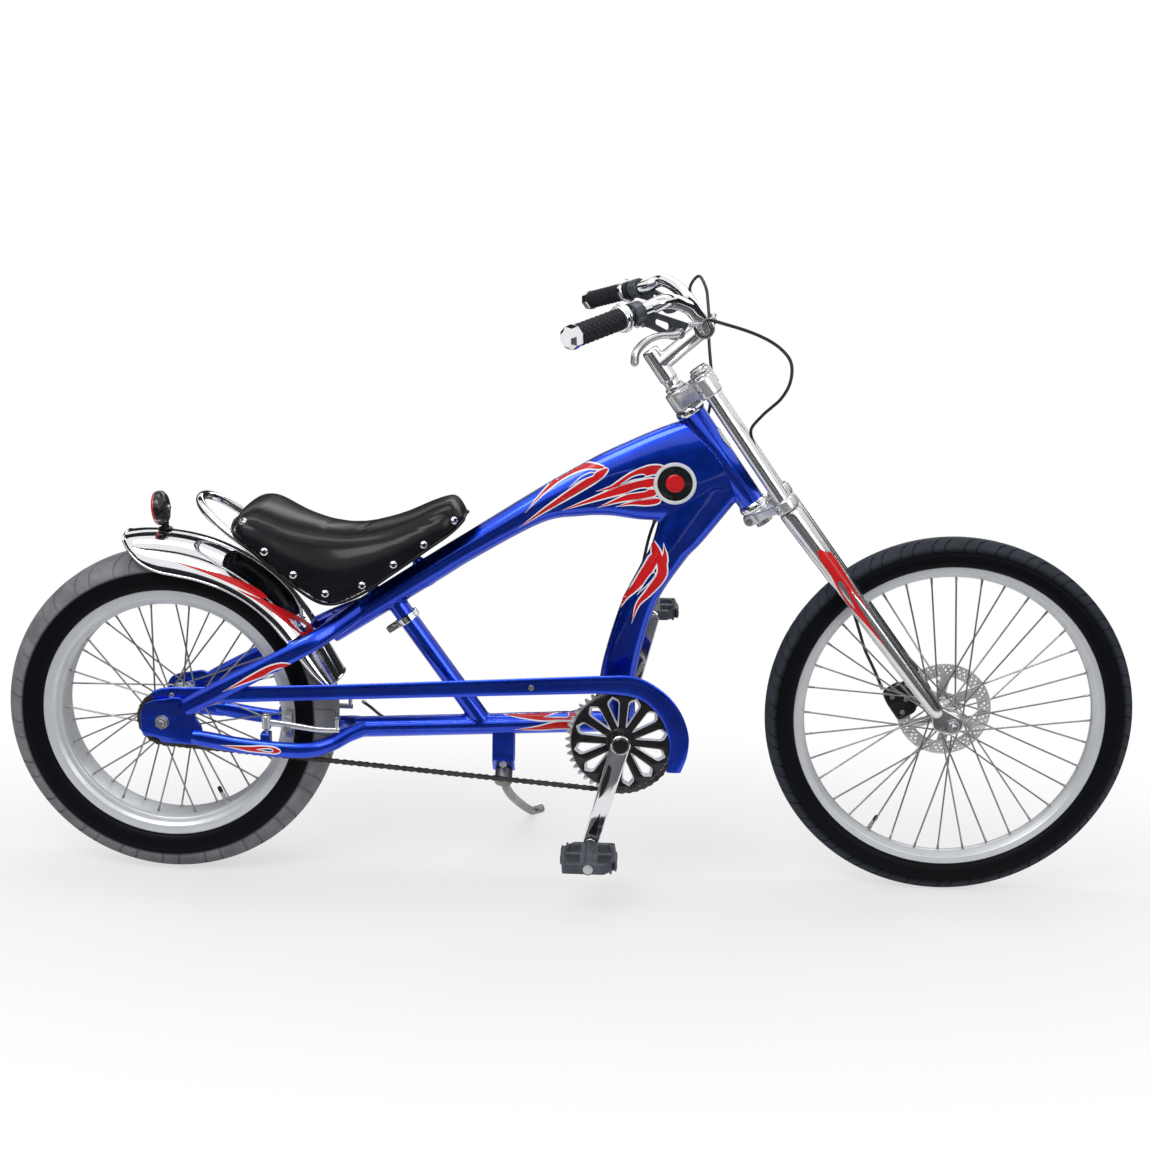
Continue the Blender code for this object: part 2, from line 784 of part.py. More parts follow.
def chain_course():
    """Straight runs and arcs of the chain's middle line, each as (length, point and outward)."""
    line = REAR_AXLE - BRACKET
    distance = math.hypot(line.x, line.z)
    base = math.atan2(-line.z, -line.x)
    lean = math.asin((RING_PITCH_RADIUS - SPROCKET_PITCH_RADIUS) / distance)
    run = math.sqrt(distance**2 - (RING_PITCH_RADIUS - SPROCKET_PITCH_RADIUS) ** 2)
    upper = base + math.pi / 2 + lean
    lower = base - math.pi / 2 - lean
    ring_arc = (upper - lower) * RING_PITCH_RADIUS
    sprocket_arc = (2 * math.pi - (upper - lower)) * SPROCKET_PITCH_RADIUS

    def at(distance_along):
        """Point and outward direction on the loop, from the top of the chainring rearward."""
        s = distance_along % (2 * run + ring_arc + sprocket_arc)
        if s < run:
            out = Vector((math.cos(upper), 0, math.sin(upper)))
            back = Vector((-math.sin(upper), 0, math.cos(upper)))
            return BRACKET + out * RING_PITCH_RADIUS + back * s, out
        s -= run
        if s < sprocket_arc:
            angle = upper + s / SPROCKET_PITCH_RADIUS
            out = Vector((math.cos(angle), 0, math.sin(angle)))
            return REAR_AXLE + out * SPROCKET_PITCH_RADIUS, out
        s -= sprocket_arc
        if s < run:
            out = Vector((math.cos(lower), 0, math.sin(lower)))
            ahead = Vector((-math.sin(lower), 0, math.cos(lower)))
            return REAR_AXLE + out * SPROCKET_PITCH_RADIUS + ahead * s, out
        s -= run
        angle = lower + s / RING_PITCH_RADIUS
        out = Vector((math.cos(angle), 0, math.sin(angle)))
        return BRACKET + out * RING_PITCH_RADIUS, out

    return at, run, ring_arc, sprocket_arc


CHAIN_HALF_HEIGHT = 0.0042
CHAIN_WAIST = 0.0030
CHAIN_OUTER = 0.0040
CHAIN_INNER = 0.0019


def chain_strip(name, at, start, end, middle, thickness, sections):
    """A run of link plates as one flat outline; each section is (share of the run, half height)."""
    outer = []
    inner = []
    for share, half in sections:
        point, out = at(start + (end - start) * share)
        outer.append((point.x + out.x * half, point.z + out.z * half))
        inner.append((point.x - out.x * half, point.z - out.z * half))
    place = Y_AXIS * (CHAIN_LINE + middle)
    return plate(name, outer + inner[::-1], place, thickness, "steel")


def waisted(length, slim_ends):
    """Sections of a run of links: high at the pins and slim between them."""
    count = 2 * math.ceil(length / CHAIN_PITCH)
    sections = [(i / count, CHAIN_WAIST if i % 2 else CHAIN_HALF_HEIGHT) for i in range(count + 1)]
    if slim_ends:
        for i in (0, 1, 2, count - 2, count - 1, count):
            sections[i] = (i / count, CHAIN_WAIST * 0.9)
    return sections


def even(length, spacing, slim=0.0):
    """Sections of constant height, slim for a share of the run at both ends."""
    count = math.ceil(length / spacing)
    sections = [(i / count, CHAIN_HALF_HEIGHT) for i in range(count + 1)]
    if slim:
        thin = CHAIN_WAIST * 0.9
        sections = [(0, thin), (slim, thin), (slim * 1.3, CHAIN_HALF_HEIGHT)]
        sections += [(1 - share, half) for share, half in reversed(sections)]
    return sections


def build_chain():
    """One loop: link plates either side of the teeth, and solid runs between the two wheels."""
    at, run, ring_arc, sprocket_arc = chain_course()
    ring_clear = 0.0430
    sprocket_clear = 0.0320
    overlap = CHAIN_PITCH
    lower_start = run + sprocket_arc
    ring_start = lower_start + run
    free = run - sprocket_clear - ring_clear
    bar = CHAIN_OUTER * 2 - 0.0010
    lower = chain_strip(
        "chain", at, lower_start + sprocket_clear, ring_start - ring_clear, 0, bar, waisted(free, True)
    )
    slim = 1.5 * overlap / free
    upper = chain_strip("upper_run", at, ring_clear, run - sprocket_clear, 0, bar, even(free, 1, slim))
    wraps = (
        ("ring_wrap", ring_start - ring_clear - overlap, ring_start + ring_arc + ring_clear + overlap),
        ("sprocket_wrap", run - sprocket_clear - overlap, lower_start + sprocket_clear + overlap),
    )
    thickness = CHAIN_OUTER - CHAIN_INNER
    plates = []
    for name, start, end in wraps:
        for side in (-1, 1):
            middle = side * (CHAIN_OUTER + CHAIN_INNER) / 2
            sections = even(end - start, CHAIN_PITCH * 1.5)
            plates.append(chain_strip(name, at, start, end, middle, thickness, sections))
    join(lower, *plates, upper)


def crank_turn(side):
    return CRANK_ANGLE if side < 0 else CRANK_ANGLE + math.pi


def pedal_centre(side):
    """Where the pedal's axle leaves the crank, in the crank's middle plane."""
    turn = crank_turn(side)
    out = Vector((-math.sin(turn), 0, -math.cos(turn)))
    return BRACKET + out * CRANK_LENGTH + Y_AXIS * side * CRANK_OFFSET


# Pockets in a crank's outer face as (across, share of the way to the pedal)
CRANK_POCKETS = (
    ((-0.0100, 0.20), (-0.0030, 0.23), (-0.0010, 0.36), (-0.0040, 0.50), (-0.0090, 0.55), (-0.0115, 0.40)),
    ((0.0010, 0.67), (0.0040, 0.80), (0.0065, 0.90), (-0.0085, 0.90), (-0.0050, 0.80)),
)
CRANK_POCKET_DEPTH = 0.0022


def build_cranks():
    inner = BRACKET_SHELL_WIDTH / 2 + 0.0103
    for name, side in SIDES.items():
        turn = crank_turn(side)
        outline = rounded_hull([(0, 0, 0.0165), (0, -CRANK_LENGTH, 0.0130)], 16)
        facing = Matrix.Rotation(turn, 4, "Y") @ Matrix.Rotation(math.pi / 2, 4, "X")
        middle = BRACKET + Y_AXIS * side * CRANK_OFFSET
        arm = plate(f"crank_{name}", outline, middle, CRANK_THICKNESS, "chrome", (), facing)
        face = CRANK_OFFSET + CRANK_THICKNESS / 2
        boss = rod(
            "boss",
            BRACKET + Y_AXIS * side * inner,
            BRACKET + Y_AXIS * side * (face + 0.0020),
            0.0163,
            "chrome",
            sides=14,
        )
        pedal_axle = pedal_centre(side)
        spindle = rod(
            "pedal_spindle",
            pedal_axle + Y_AXIS * side * (CRANK_THICKNESS / 2 - 0.0040),
            pedal_axle + Y_AXIS * side * (PEDAL_OFFSET + PEDAL_WIDTH / 2 - 0.006),
            0.0055,
            "steel",
            sides=8,
        )
        join(arm, boss, spindle)
        for pocket in CRANK_POCKETS:
            outline = [(x, -CRANK_LENGTH * share) for x, share in pocket]
            place = BRACKET + Y_AXIS * side * face
            cut(arm, plate("pocket", outline, place, CRANK_POCKET_DEPTH * 2, "black_paint", (), facing))
        if side > 0:
            through = rod(
                "spindle",
                BRACKET + Y_AXIS * (inner + 0.005),
                BRACKET - Y_AXIS * (inner - SEAT_GAP),
                SPINDLE_RADIUS,
                "steel",
                sides=12,
            )
            join(arm, through)
        build_pedal(name, side, pedal_axle)


def build_pedal(name, side, pedal_axle):
    """A platform pedal with four windows round a barrel that turns on the crank's spindle."""
    middle = pedal_axle + Y_AXIS * side * PEDAL_OFFSET
    half_length = PEDAL_LENGTH / 2
    half_width = PEDAL_WIDTH / 2
    outline = [
        (half_length * 0.88, half_width),
        (-half_length * 0.55, half_width),
        (-half_length, half_width * 0.45),
        (-half_length * 0.88, -half_width),
        (half_length * 0.55, -half_width),
        (half_length, -half_width * 0.45),
    ]
    holes = []
    for sx in (-1, 1):
        for sy in (-1, 1):
            near_x = 0.0150
            far_x = half_length - 0.0095
            near_y = 0.0050
            far_y = half_width - 0.0100
            corners = [(near_x, near_y), (far_x, near_y), (far_x * 0.86, far_y), (near_x, far_y)]
            holes.append([(sx * x, sy * y) for x, y in corners])
    flat = Matrix.Identity(4)
    body = plate(f"pedal_{name}", outline, middle, PEDAL_THICKNESS, "grey_plastic", holes, flat)
    barrel = rod(
        "barrel",
        middle - Y_AXIS * (half_width - 0.001),
        middle + Y_AXIS * (half_width - 0.001),
        0.0110,
        "grey_plastic",
        sides=12,
    )
    bore = rod(
        "bore",
        middle - Y_AXIS * side * (half_width + 0.004),
        middle + Y_AXIS * side * (half_width - 0.005),
        0.0055 + TURN_GAP,
        "steel",
        sides=12,
    )
    cut(join(body, barrel), bore)


# Frame

BACKBONE = (
    # share of the way to the head, rise of the top edge, share, rise of the under edge, half width
    (-0.030, 0.0188, -0.026, -0.0245, 1.0, 2.0),
    (0.000, 0.0217, 0.004, -0.0217, 1.0, 2.0),
    (0.250, 0.0464, 0.254, 0.0014, 1.0, 2.0),
    (0.385, 0.0587, 0.370, 0.0125, 1.02, 2.0),
    (0.580, 0.0765, 0.550, 0.0215, 1.08, 2.2),
    (0.686, 0.0835, 0.640, 0.0055, 1.10, 2.4),
    (0.751, 0.0872, 0.705, -0.0136, 1.11, 2.5),
    (0.864, 0.0874, 0.780, -0.0450, 1.11, 2.6),
    (0.930, 0.0850, 0.900, -0.0780, 1.10, 2.6),
    (0.978, 0.0800, 1.026, -0.0770, 1.02, 2.4),
)

DOWN_TUBE = (
    (0.930, -0.0560, 0.860, 0.0700, 1.02),
    (0.7165, -0.0190, 0.660, 0.0600, 1.04),
    (0.6321, -0.0017, 0.5654, 0.0658, 1.02),
    (0.4478, 0.0185, 0.4004, 0.0745, 1.00),
    (0.1975, 0.0082, 0.1565, 0.0657, 0.98),
    (0.0800, -0.0110, 0.0500, 0.0370, 0.98),
    (0.0140, -0.0214, -0.0140, 0.0214, 0.98),
)


def backbone_solid(name, grow=0.0):
    rings = []
    for over, top_rise, under, under_rise, width, squareness in BACKBONE:
        top = between(TOP_TUBE_START, HEAD_MIDDLE, over, top_rise)
        bottom = between(TOP_TUBE_START, HEAD_MIDDLE, under, under_rise)
        up = (top - bottom) / 2
        up += up.normalized() * grow
        side = Y_AXIS * (TOP_TUBE_RADIUS * width + grow)
        rings.append(ring((top + bottom) / 2, up, side, squareness, 16))
    return loft(name, rings, "blue_paint")


def down_tube_solid(name, grow=0.0):
    rings = []
    for ahead, front_rise, behind, rear_rise, width in DOWN_TUBE:
        front = between(BRACKET, HEAD_MIDDLE, ahead, front_rise)
        back = between(BRACKET, HEAD_MIDDLE, behind, rear_rise)
        up = (front - back) / 2
        up += up.normalized() * grow
        side = Y_AXIS * (TOP_TUBE_RADIUS * width + grow)
        rings.append(ring((front + back) / 2, up, side, 2.3, 16))
    return loft(name, rings, "blue_paint")


# Edge of the pressed web as (share of the way to the head, rise above that line)
WEB_EDGE = (
    (0.590, 0.0420),
    (0.680, 0.0525),
    (0.755, 0.0525),
    (0.842, 0.0380),
    (0.890, 0.0150),
    (0.893, -0.0140),
    (0.840, -0.0430),
    (0.785, -0.0720),
    (0.770, -0.1050),
    (0.640, -0.0600),
    (0.540, -0.0100),
    (0.560, 0.0250),
)


def web_cutter(name, side):
    outline = [between(TOP_TUBE_START, HEAD_MIDDLE, share, rise) for share, rise in WEB_EDGE]
    depth = TOP_TUBE_RADIUS
    middle = Y_AXIS * side * (WEB_HALF_WIDTH + depth / 2)
    return plate(name, [(p.x, p.z) for p in outline], middle, depth, "blue_paint")


def head_cutter(name):
    return rod(
        name,
        steering(0, 0, HEAD_BOTTOM - 0.03),
        steering(0, 0, HEAD_TOP + 0.03),
        HEAD_TUBE_RADIUS + SEAT_GAP,
        "blue_paint",
        sides=20,
    )


def bracket_cutter(name):
    reach = Y_AXIS * (BRACKET_SHELL_WIDTH / 2 + 0.02)
    return rod(
        name, BRACKET - reach, BRACKET + reach, BRACKET_SHELL_RADIUS + SEAT_GAP, "blue_paint", sides=20
    )


def bottom_tube_rod(name, grow=0.0):
    return rod(
        name, BOTTOM_TUBE_START, BOTTOM_TUBE_END, BOTTOM_TUBE_RADIUS + grow, "blue_paint", sides=16
    )


SADDLE_LUGS = ((0.108, 0.052), (0.238, 0.052))


def build_main_frame():
    frame = join(backbone_solid("main_frame"), down_tube_solid("down_tube"))
    for share, height in SADDLE_LUGS:
        foot = between(TOP_TUBE_START, HEAD_MIDDLE, share, 0.0)
        top = between(TOP_TUBE_START, HEAD_MIDDLE, share, height)
        join(frame, rod("lug", foot, top, 0.0090, "blue_paint", sides=10))
    cut(frame, head_cutter("head_bore"), bracket_cutter("bracket_bore"))
    for side in (-1, 1):
        cut(frame, web_cutter("web_recess", side))


def build_head_tube():
    half = HEAD_TUBE_LENGTH / 2
    collar = HEAD_TUBE_RADIUS + 0.0015
    turned(
        "head_tube",
        HEAD_MIDDLE,
        [
            (HEAD_TUBE_BORE, half),
            (HEAD_TUBE_RADIUS, half),
            (HEAD_TUBE_RADIUS, -half),
            (HEAD_TUBE_BORE, -half),
        ],
        "blue_paint",
        20,
        STEER_UP,
    )
    for name, low, high in (
        ("headset_lower_cup", LOWER_CUP_BOTTOM, HEAD_BOTTOM - SEAT_GAP),
        ("headset_upper_cup", HEAD_TOP + SEAT_GAP, UPPER_CUP_TOP),
    ):
        middle = steering(0, 0, (low + high) / 2)
        half = (high - low) / 2
        turned(
            name,
            middle,
            [
                (STEERER_RADIUS + TURN_GAP, half),
                (collar, half),
                (CUP_RADIUS, half * 0.4),
                (CUP_RADIUS, -half * 0.4),
                (collar, -half),
                (STEERER_RADIUS + TURN_GAP, -half),
            ],
            "chrome",
            14,
            STEER_UP,
        )


def build_bottom_bracket():
    half = BRACKET_SHELL_WIDTH / 2
    turned(
        "bottom_bracket_shell",
        BRACKET,
        [
            (SPINDLE_RADIUS + TURN_GAP, half),
            (BRACKET_SHELL_RADIUS, half),
            (BRACKET_SHELL_RADIUS, -half),
            (SPINDLE_RADIUS + TURN_GAP, -half),
        ],
        "blue_paint",
        20,
    )


def build_bottom_tube():
    tube_piece = bottom_tube_rod("bottom_tube")
    cut(tube_piece, down_tube_solid("down_tube_bore", SEAT_GAP), bracket_cutter("bracket_bore"))


STRUT_TOP_SHARE = 0.145
STRUT_BOTTOM_SHARE = 0.487
BAND_DISTANCE = 0.040


def strut_line():
    top = between(TOP_TUBE_START, HEAD_MIDDLE, STRUT_TOP_SHARE, 0.005)
    bottom = BOTTOM_TUBE_START.lerp(BOTTOM_TUBE_END, STRUT_BOTTOM_SHARE)
    return top, bottom


def build_seat_strut():
    top, bottom = strut_line()
    strut = rod("seat_strut", top, bottom, STRUT_RADIUS, "blue_paint", sides=16)
    cut(strut, backbone_solid("backbone_bore", SEAT_GAP), bottom_tube_rod("tube_bore", SEAT_GAP))
    down = (bottom - top).normalized()
    middle = top + down * BAND_DISTANCE
    half = 0.0045
    band = turned(
        "seat_clamp_band",
        middle,
        [
            (STRUT_RADIUS + SEAT_GAP * 3, half),
            (STRUT_RADIUS + 0.0040, half),
            (STRUT_RADIUS + 0.0040, -half),
            (STRUT_RADIUS + SEAT_GAP * 3, -half),
        ],
        "chrome",
        14,
        down,
    )
    back = Vector((-down.z, 0, down.x)) * -1
    turn = math.atan2(-back.z, back.x)
    ears = block(
        "ears", middle + back * (STRUT_RADIUS + 0.011), (0.018, 0.014, half * 1.8), "chrome", turn, 0.0015
    )
    bolt_middle = middle + back * (STRUT_RADIUS + 0.013)
    bolt = rod(
        "bolt", bolt_middle - Y_AXIS * 0.012, bolt_middle + Y_AXIS * 0.012, 0.0034, "chrome", sides=8
    )
    join(band, ears, bolt)


# Stations of a stay as (x, y share of the stay spacing, z) from the rear axle
SEAT_STAY_ROUTE = (
    (0.0380, 1.00, 0.0225),
    (0.0534, 1.00, 0.0329),
    (0.1607, 1.00, 0.0916),
    (0.2350, 0.97, 0.1330),
    (0.2750, 0.72, 0.1560),
    (0.3020, 0.40, 0.1720),
    (0.3230, 0.12, 0.1850),
)
CHAIN_STAY_ROUTE = (
    (0.0500, 1.00, -0.0240),
    (0.0686, 1.00, -0.0279),
    (0.1300, 1.00, -0.0373),
    (0.1966, 0.99, -0.0431),
    (0.2450, 0.90, -0.0445),
    (0.2780, 0.68, -0.0385),
    (0.3020, 0.40, -0.0300),
    (0.3300, 0.10, -0.0245),
)


def stay_stations(route, side, half_height, half_width):
    half = STAY_SPACING / 2
    points = [rear(x, side * share * half, z) for x, share, z in route]
    stations = []
    for i, point in enumerate(points):
        slim = 0.80 if i == 0 else 1.0
        stations.append((point, half_height * slim, half_width))
    return stations


def dropout_outline():
    """Rounded rear, stepped lower edge and two arms that take the stays."""
    return [
        (-0.0366, 0.0060),
        (-0.0350, 0.0200),
        (-0.0280, 0.0310),
        (-0.0140, 0.0365),
        (0.0281, 0.0435),
        (0.0480, 0.0330),
        (0.0548, 0.0088),
        (0.0660, -0.0080),
        (0.0660, -0.0400),
        (0.0309, -0.0376),
        (-0.0015, -0.0365),
        (-0.0100, -0.0280),
        (-0.0302, -0.0251),
        (-0.0363, -0.0185),
    ]


def dropout_plate(name, side, grow=0.0):
    middle = REAR_AXLE + Y_AXIS * side * (REAR_DROPOUT_GAP + REAR_DROPOUT_THICKNESS) / 2
    thickness = REAR_DROPOUT_THICKNESS + 2 * grow
    holes = [] if grow else [circle(REAR_AXLE_RADIUS + SEAT_GAP, 12)]
    return plate(name, dropout_outline(), middle, thickness, "blue_paint", holes)


def build_stays():
    for name, side in SIDES.items():
        dropout_plate(f"dropout_{name}", side)
        stations = stay_stations(SEAT_STAY_ROUTE, side, SEAT_STAY_HEIGHT / 2, SEAT_STAY_WIDTH / 2)
        stay = swept(f"seat_stay_{name}", stations, "blue_paint", 2.2, 8)
        cut(stay, dropout_plate("slot", side, SEAT_GAP), backbone_solid("backbone_bore", SEAT_GAP))
        stations = stay_stations(CHAIN_STAY_ROUTE, side, CHAIN_STAY_HEIGHT / 2, CHAIN_STAY_WIDTH / 2)
        stay = swept(f"chain_stay_{name}", stations, "blue_paint", 2.2, 10)
        cut(stay, dropout_plate("slot", side, SEAT_GAP), bottom_tube_rod("tube_bore", SEAT_GAP))


# Chain guard as (upper edge, lower edge), the straight part from the rear axle, the hook from the bracket
GUARD_REAR = (
    ((-0.0200, 0.0440), (-0.0200, 0.0405)),
    ((-0.0150, 0.0505), (-0.0130, 0.0340)),
    ((0.0085, 0.0570), (0.0085, 0.0300)),
    ((0.0680, 0.0590), (0.0680, 0.0310)),
    ((0.2965, 0.0705), (0.2960, 0.0440)),
)
GUARD_HOOK = (
    ((-0.0955, 0.1100), (-0.0955, 0.0800)),
    ((-0.0337, 0.1135), (-0.0337, 0.0825)),
    ((0.0224, 0.1135), (0.0100, 0.0800)),
    ((0.0670, 0.0905), (0.0400, 0.0690)),
    ((0.0960, 0.0580), (0.0660, 0.0410)),
    ((0.1120, 0.0170), (0.0800, 0.0060)),
    ((0.1110, -0.0200), (0.0810, -0.0210)),
    ((0.1010, -0.0500), (0.0770, -0.0500)),
)


def build_chain_guard():
    middle = GUARD_OUTER + GUARD_THICKNESS / 2
    rings = []
    for base, table in ((REAR_AXLE, GUARD_REAR), (BRACKET, GUARD_HOOK)):
        for upper, lower in table:
            top = base + Vector((upper[0], middle, upper[1]))
            bottom = base + Vector((lower[0], middle, lower[1]))
            side = Y_AXIS * GUARD_THICKNESS / 2
            rings.append(ring((top + bottom) / 2, (top - bottom) / 2, side, 2.8, 10))
    loft("chain_guard", rings, "blue_paint")


FENDER_MIDDLE = (-0.0247, 0.0031)
FENDER_STATIONS = (
    # angle, width share, drop of the skirts
    (98.7, 0.50, 0.012),
    (96.0, 0.80, 0.026),
    (92.0, 0.95, 0.044),
    (86.0, 1.00, 0.056),
    (78.0, 1.00, 0.058),
    (70.0, 1.00, 0.055),
    (60.0, 1.00, 0.050),
    (50.0, 1.00, 0.045),
    (40.0, 1.00, 0.041),
    (29.0, 0.98, 0.037),
)
FENDER_TONGUE = ((0.035, 0.93, 0.033), (0.070, 0.88, 0.028), (0.095, 0.82, 0.022))


def build_rear_fender():
    """An arched sheet over the tyre whose front runs straight down between the stays."""
    centre = rear(FENDER_MIDDLE[0], 0, FENDER_MIDDLE[1])
    stations = []
    for degrees, width, drop in FENDER_STATIONS:
        angle = math.radians(degrees)
        out = Vector((math.cos(angle), 0, math.sin(angle)))
        stations.append((centre + out * FENDER_RADIUS, out, width, drop))
    last, out = stations[-1][:2]
    down = Vector((out.z, 0, -out.x))
    for distance, width, drop in FENDER_TONGUE:
        stations.append((last + down * distance, out, width, drop))
    bm = bmesh.new()
    rows = []
    across = 8
    for crown, out, width, drop in stations:
        row = []
        for i in range(across + 1):
            angle = math.pi * (i / across - 0.5)
            offset = Y_AXIS * FENDER_HALF_WIDTH * width * math.sin(angle)
            row.append(bm.verts.new(crown + offset - out * drop * (1 - math.cos(angle))))
        rows.append(row)
    for first, second in zip(rows, rows[1:]):
        for i in range(across):
            bm.faces.new((first[i], second[i], second[i + 1], first[i + 1]))
    mesh = bpy.data.meshes.new("rear_fender")
    bm.to_mesh(mesh)
    bm.free()
    fender = add_object("rear_fender", mesh, "chrome")
    sheet = fender.modifiers.new("Sheet", "SOLIDIFY")
    sheet.thickness = FENDER_SHEET
    sheet.offset = 0
    fender.data.shade_smooth()


REFLECTOR_BASE_ANGLE = 88.5
REFLECTOR_RADIUS = 0.029


def build_reflector():
    """A round rear reflector in a tapered housing on a stalk."""
    centre = rear(FENDER_MIDDLE[0], 0, FENDER_MIDDLE[1])
    angle = math.radians(REFLECTOR_BASE_ANGLE)
    foot = centre + Vector((math.cos(angle), 0, math.sin(angle))) * (FENDER_RADIUS + FENDER_SHEET / 2)
    lens_back = foot + Vector((-0.0090, 0, REFLECTOR_RADIUS + 0.0065))
    ahead = Vector((1, 0, 0.10)).normalized()
    housing = turned(
        "tail_reflector_housing",
        lens_back,
        [
            (0.0, -0.0030),
            (REFLECTOR_RADIUS - 0.0030, -0.0030),
            (REFLECTOR_RADIUS - 0.0030, -0.0050),
            (REFLECTOR_RADIUS, -0.0050),
            (REFLECTOR_RADIUS, 0.0),
            (REFLECTOR_RADIUS - 0.0080, 0.0240),
            (REFLECTOR_RADIUS - 0.0130, 0.0290),
            (0.0, 0.0290),
        ],
        "black_paint",
        16,
        ahead,
    )
    stalk_top = lens_back + ahead * 0.0100
    stalk_foot = Vector((stalk_top.x, 0, foot.z + SEAT_GAP))
    stalk = rod("stalk", stalk_foot, stalk_top, 0.0080, "black_paint", sides=10)
    join(housing, stalk)
    turned(
        "tail_reflector_lens",
        lens_back - ahead * 0.0030,
        [
            (0.0, -0.0006),
            (REFLECTOR_RADIUS - 0.0036, -0.0006),
            (REFLECTOR_RADIUS - 0.0036, -0.0016),
            (REFLECTOR_RADIUS * 0.6, -0.0034),
            (0.0, -0.0040),
        ],
        "red_lens",
        16,
        ahead,
    )


# Saddle stations as (x, top height, rim height, half width) from the rear axle
SADDLE = (
    (0.1240, 0.3480, 0.3300, 0.0760),
    (0.1400, 0.3680, 0.3180, 0.1130),
    (0.1720, 0.3715, 0.2950, 0.1210),
    (0.2270, 0.3480, 0.2460, 0.1130),
    (0.2780, 0.3350, 0.2140, 0.1040),
    (0.3300, 0.3340, 0.2260, 0.0960),
    (0.3900, 0.3480, 0.2660, 0.0890),
    (0.4450, 0.3740, 0.3050, 0.0800),
    (0.4780, 0.3830, 0.3280, 0.0680),
    (0.4960, 0.3660, 0.3440, 0.0440),
)


def build_saddle():
    """A scooped cushion whose skirts hang lowest in the middle, hollow underneath."""
    rings = []
    for x, top, rim, width in SADDLE:
        under = max(rim + 0.001, top - SADDLE_PAD)
        wall = min(0.022, width * 0.4)
        half = [
            (0.0, top),
            (width * 0.62, top - (top - rim) * 0.07),
            (width * 1.00, top - (top - rim) * 0.38),
            (width, rim),
            (width - wall, rim),
            (width * 0.55, under),
            (0.0, under),
        ]
        points = half + [(-y, z) for y, z in reversed(half[1:-1])]
        rings.append([rear(x, y, z) for y, z in points])
    saddle = loft("saddle", rings, "leather")
    soften = saddle.modifiers.new("Soften", "SUBSURF")
    soften.levels = 1
    soften.render_levels = 1


RAIL_ROUTE = (
    (0.2850, 0.0180, 0.2010),
    (0.2740, 0.0450, 0.2080),
    (0.2560, 0.0680, 0.2220),
    (0.2341, 0.0770, 0.2370),
    (0.1695, 0.0790, 0.2860),
    (0.1211, 0.0770, 0.3200),
    (0.0840, 0.0620, 0.3480),
    (0.0630, 0.0350, 0.3640),
    (0.0565, 0.0000, 0.3690),
)


def build_saddle_rail():
    half = [rear(x, y, z) for x, y, z in RAIL_ROUTE]
    other = [Vector((p.x, -p.y, p.z)) for p in reversed(half[:-1])]
    path = smooth_path(half + other, 0.040)
    rail = as_mesh(tube("saddle_rail", path, RAIL_RADIUS, "chrome", 2))
    cut(rail, backbone_solid("backbone_bore", SEAT_GAP))


# Fork, stem and bar


def crown_outline(leg_round, steerer_round):
    half = LEG_SPACING / 2
    return rounded_hull(
        [(0, 0, steerer_round), (LEG_SET_FORWARD, half, leg_round), (LEG_SET_FORWARD, -half, leg_round)],
        24,
    )


def steering_facing():
    """Turns a flat outline into the plane square to the steering axis, its X ahead."""
    return Matrix(
        (
            (STEER_FORWARD.x, 0, STEER_UP.x, 0),
            (0, 1, 0, 0),
            (STEER_FORWARD.z, 0, STEER_UP.z, 0),
            (0, 0, 0, 1),
        )
    )


CABLE_HOLE = (0.0450, 0.0120)
CABLE_HOLE_RADIUS = 0.0050


def build_crowns():
    half = LEG_SPACING / 2
    holes = [
        circle(STEERER_RADIUS + SEAT_GAP, 14),
        circle(STANCHION_RADIUS + SEAT_GAP, 12, (LEG_SET_FORWARD, half)),
        circle(STANCHION_RADIUS + SEAT_GAP, 12, (LEG_SET_FORWARD, -half)),
    ]
    cable_hole = circle(CABLE_HOLE_RADIUS, 8, CABLE_HOLE)
    for name, bottom, thickness, leg_round, extra in (
        ("lower_crown", LOWER_CROWN_BOTTOM, LOWER_CROWN_THICKNESS, 0.0200, [cable_hole]),
        ("upper_crown", UPPER_CROWN_BOTTOM, UPPER_CROWN_THICKNESS, 0.0190, []),
    ):
        plate(
            name,
            crown_outline(leg_round, 0.0225),
            steering(0, 0, bottom + thickness / 2),
            thickness,
            "chrome",
            holes + extra,
            steering_facing(),
        )


STANCHION_CAP = 0.0050
STEERER_TAIL = 0.0080
QUILL_DEPTH = 0.070


def build_steerer():
    low = LOWER_CROWN_BOTTOM - STEERER_TAIL
    high = UPPER_CROWN_TOP + 0.0005
    middle = steering(0, 0, (low + high) / 2)
    half = (high - low) / 2
    turned(
        "steerer_tube",
        middle,
        [
            (STEERER_BORE, half),
            (STEERER_RADIUS, half),
            (STEERER_RADIUS, -half),
            (STEERER_BORE, -half),
        ],
        "steel",
        16,
        STEER_UP,
    )


def fork_leg(name, side, grow=0.0):
    """Stanchion through both crowns, tapered leg below, and a forged dropout."""
    y = side * LEG_SPACING / 2
    leg_top = LOWER_CROWN_BOTTOM - SEAT_GAP * 4
    top = steering(LEG_SET_FORWARD, y, leg_top)
    tip = steering(DROPOUT_SET_FORWARD, y, 0.0280)
    return rod(
        name, top, tip, LEG_TOP_RADIUS + grow, "chrome", end_radius=LEG_TIP_RADIUS + grow, sides=16
    )


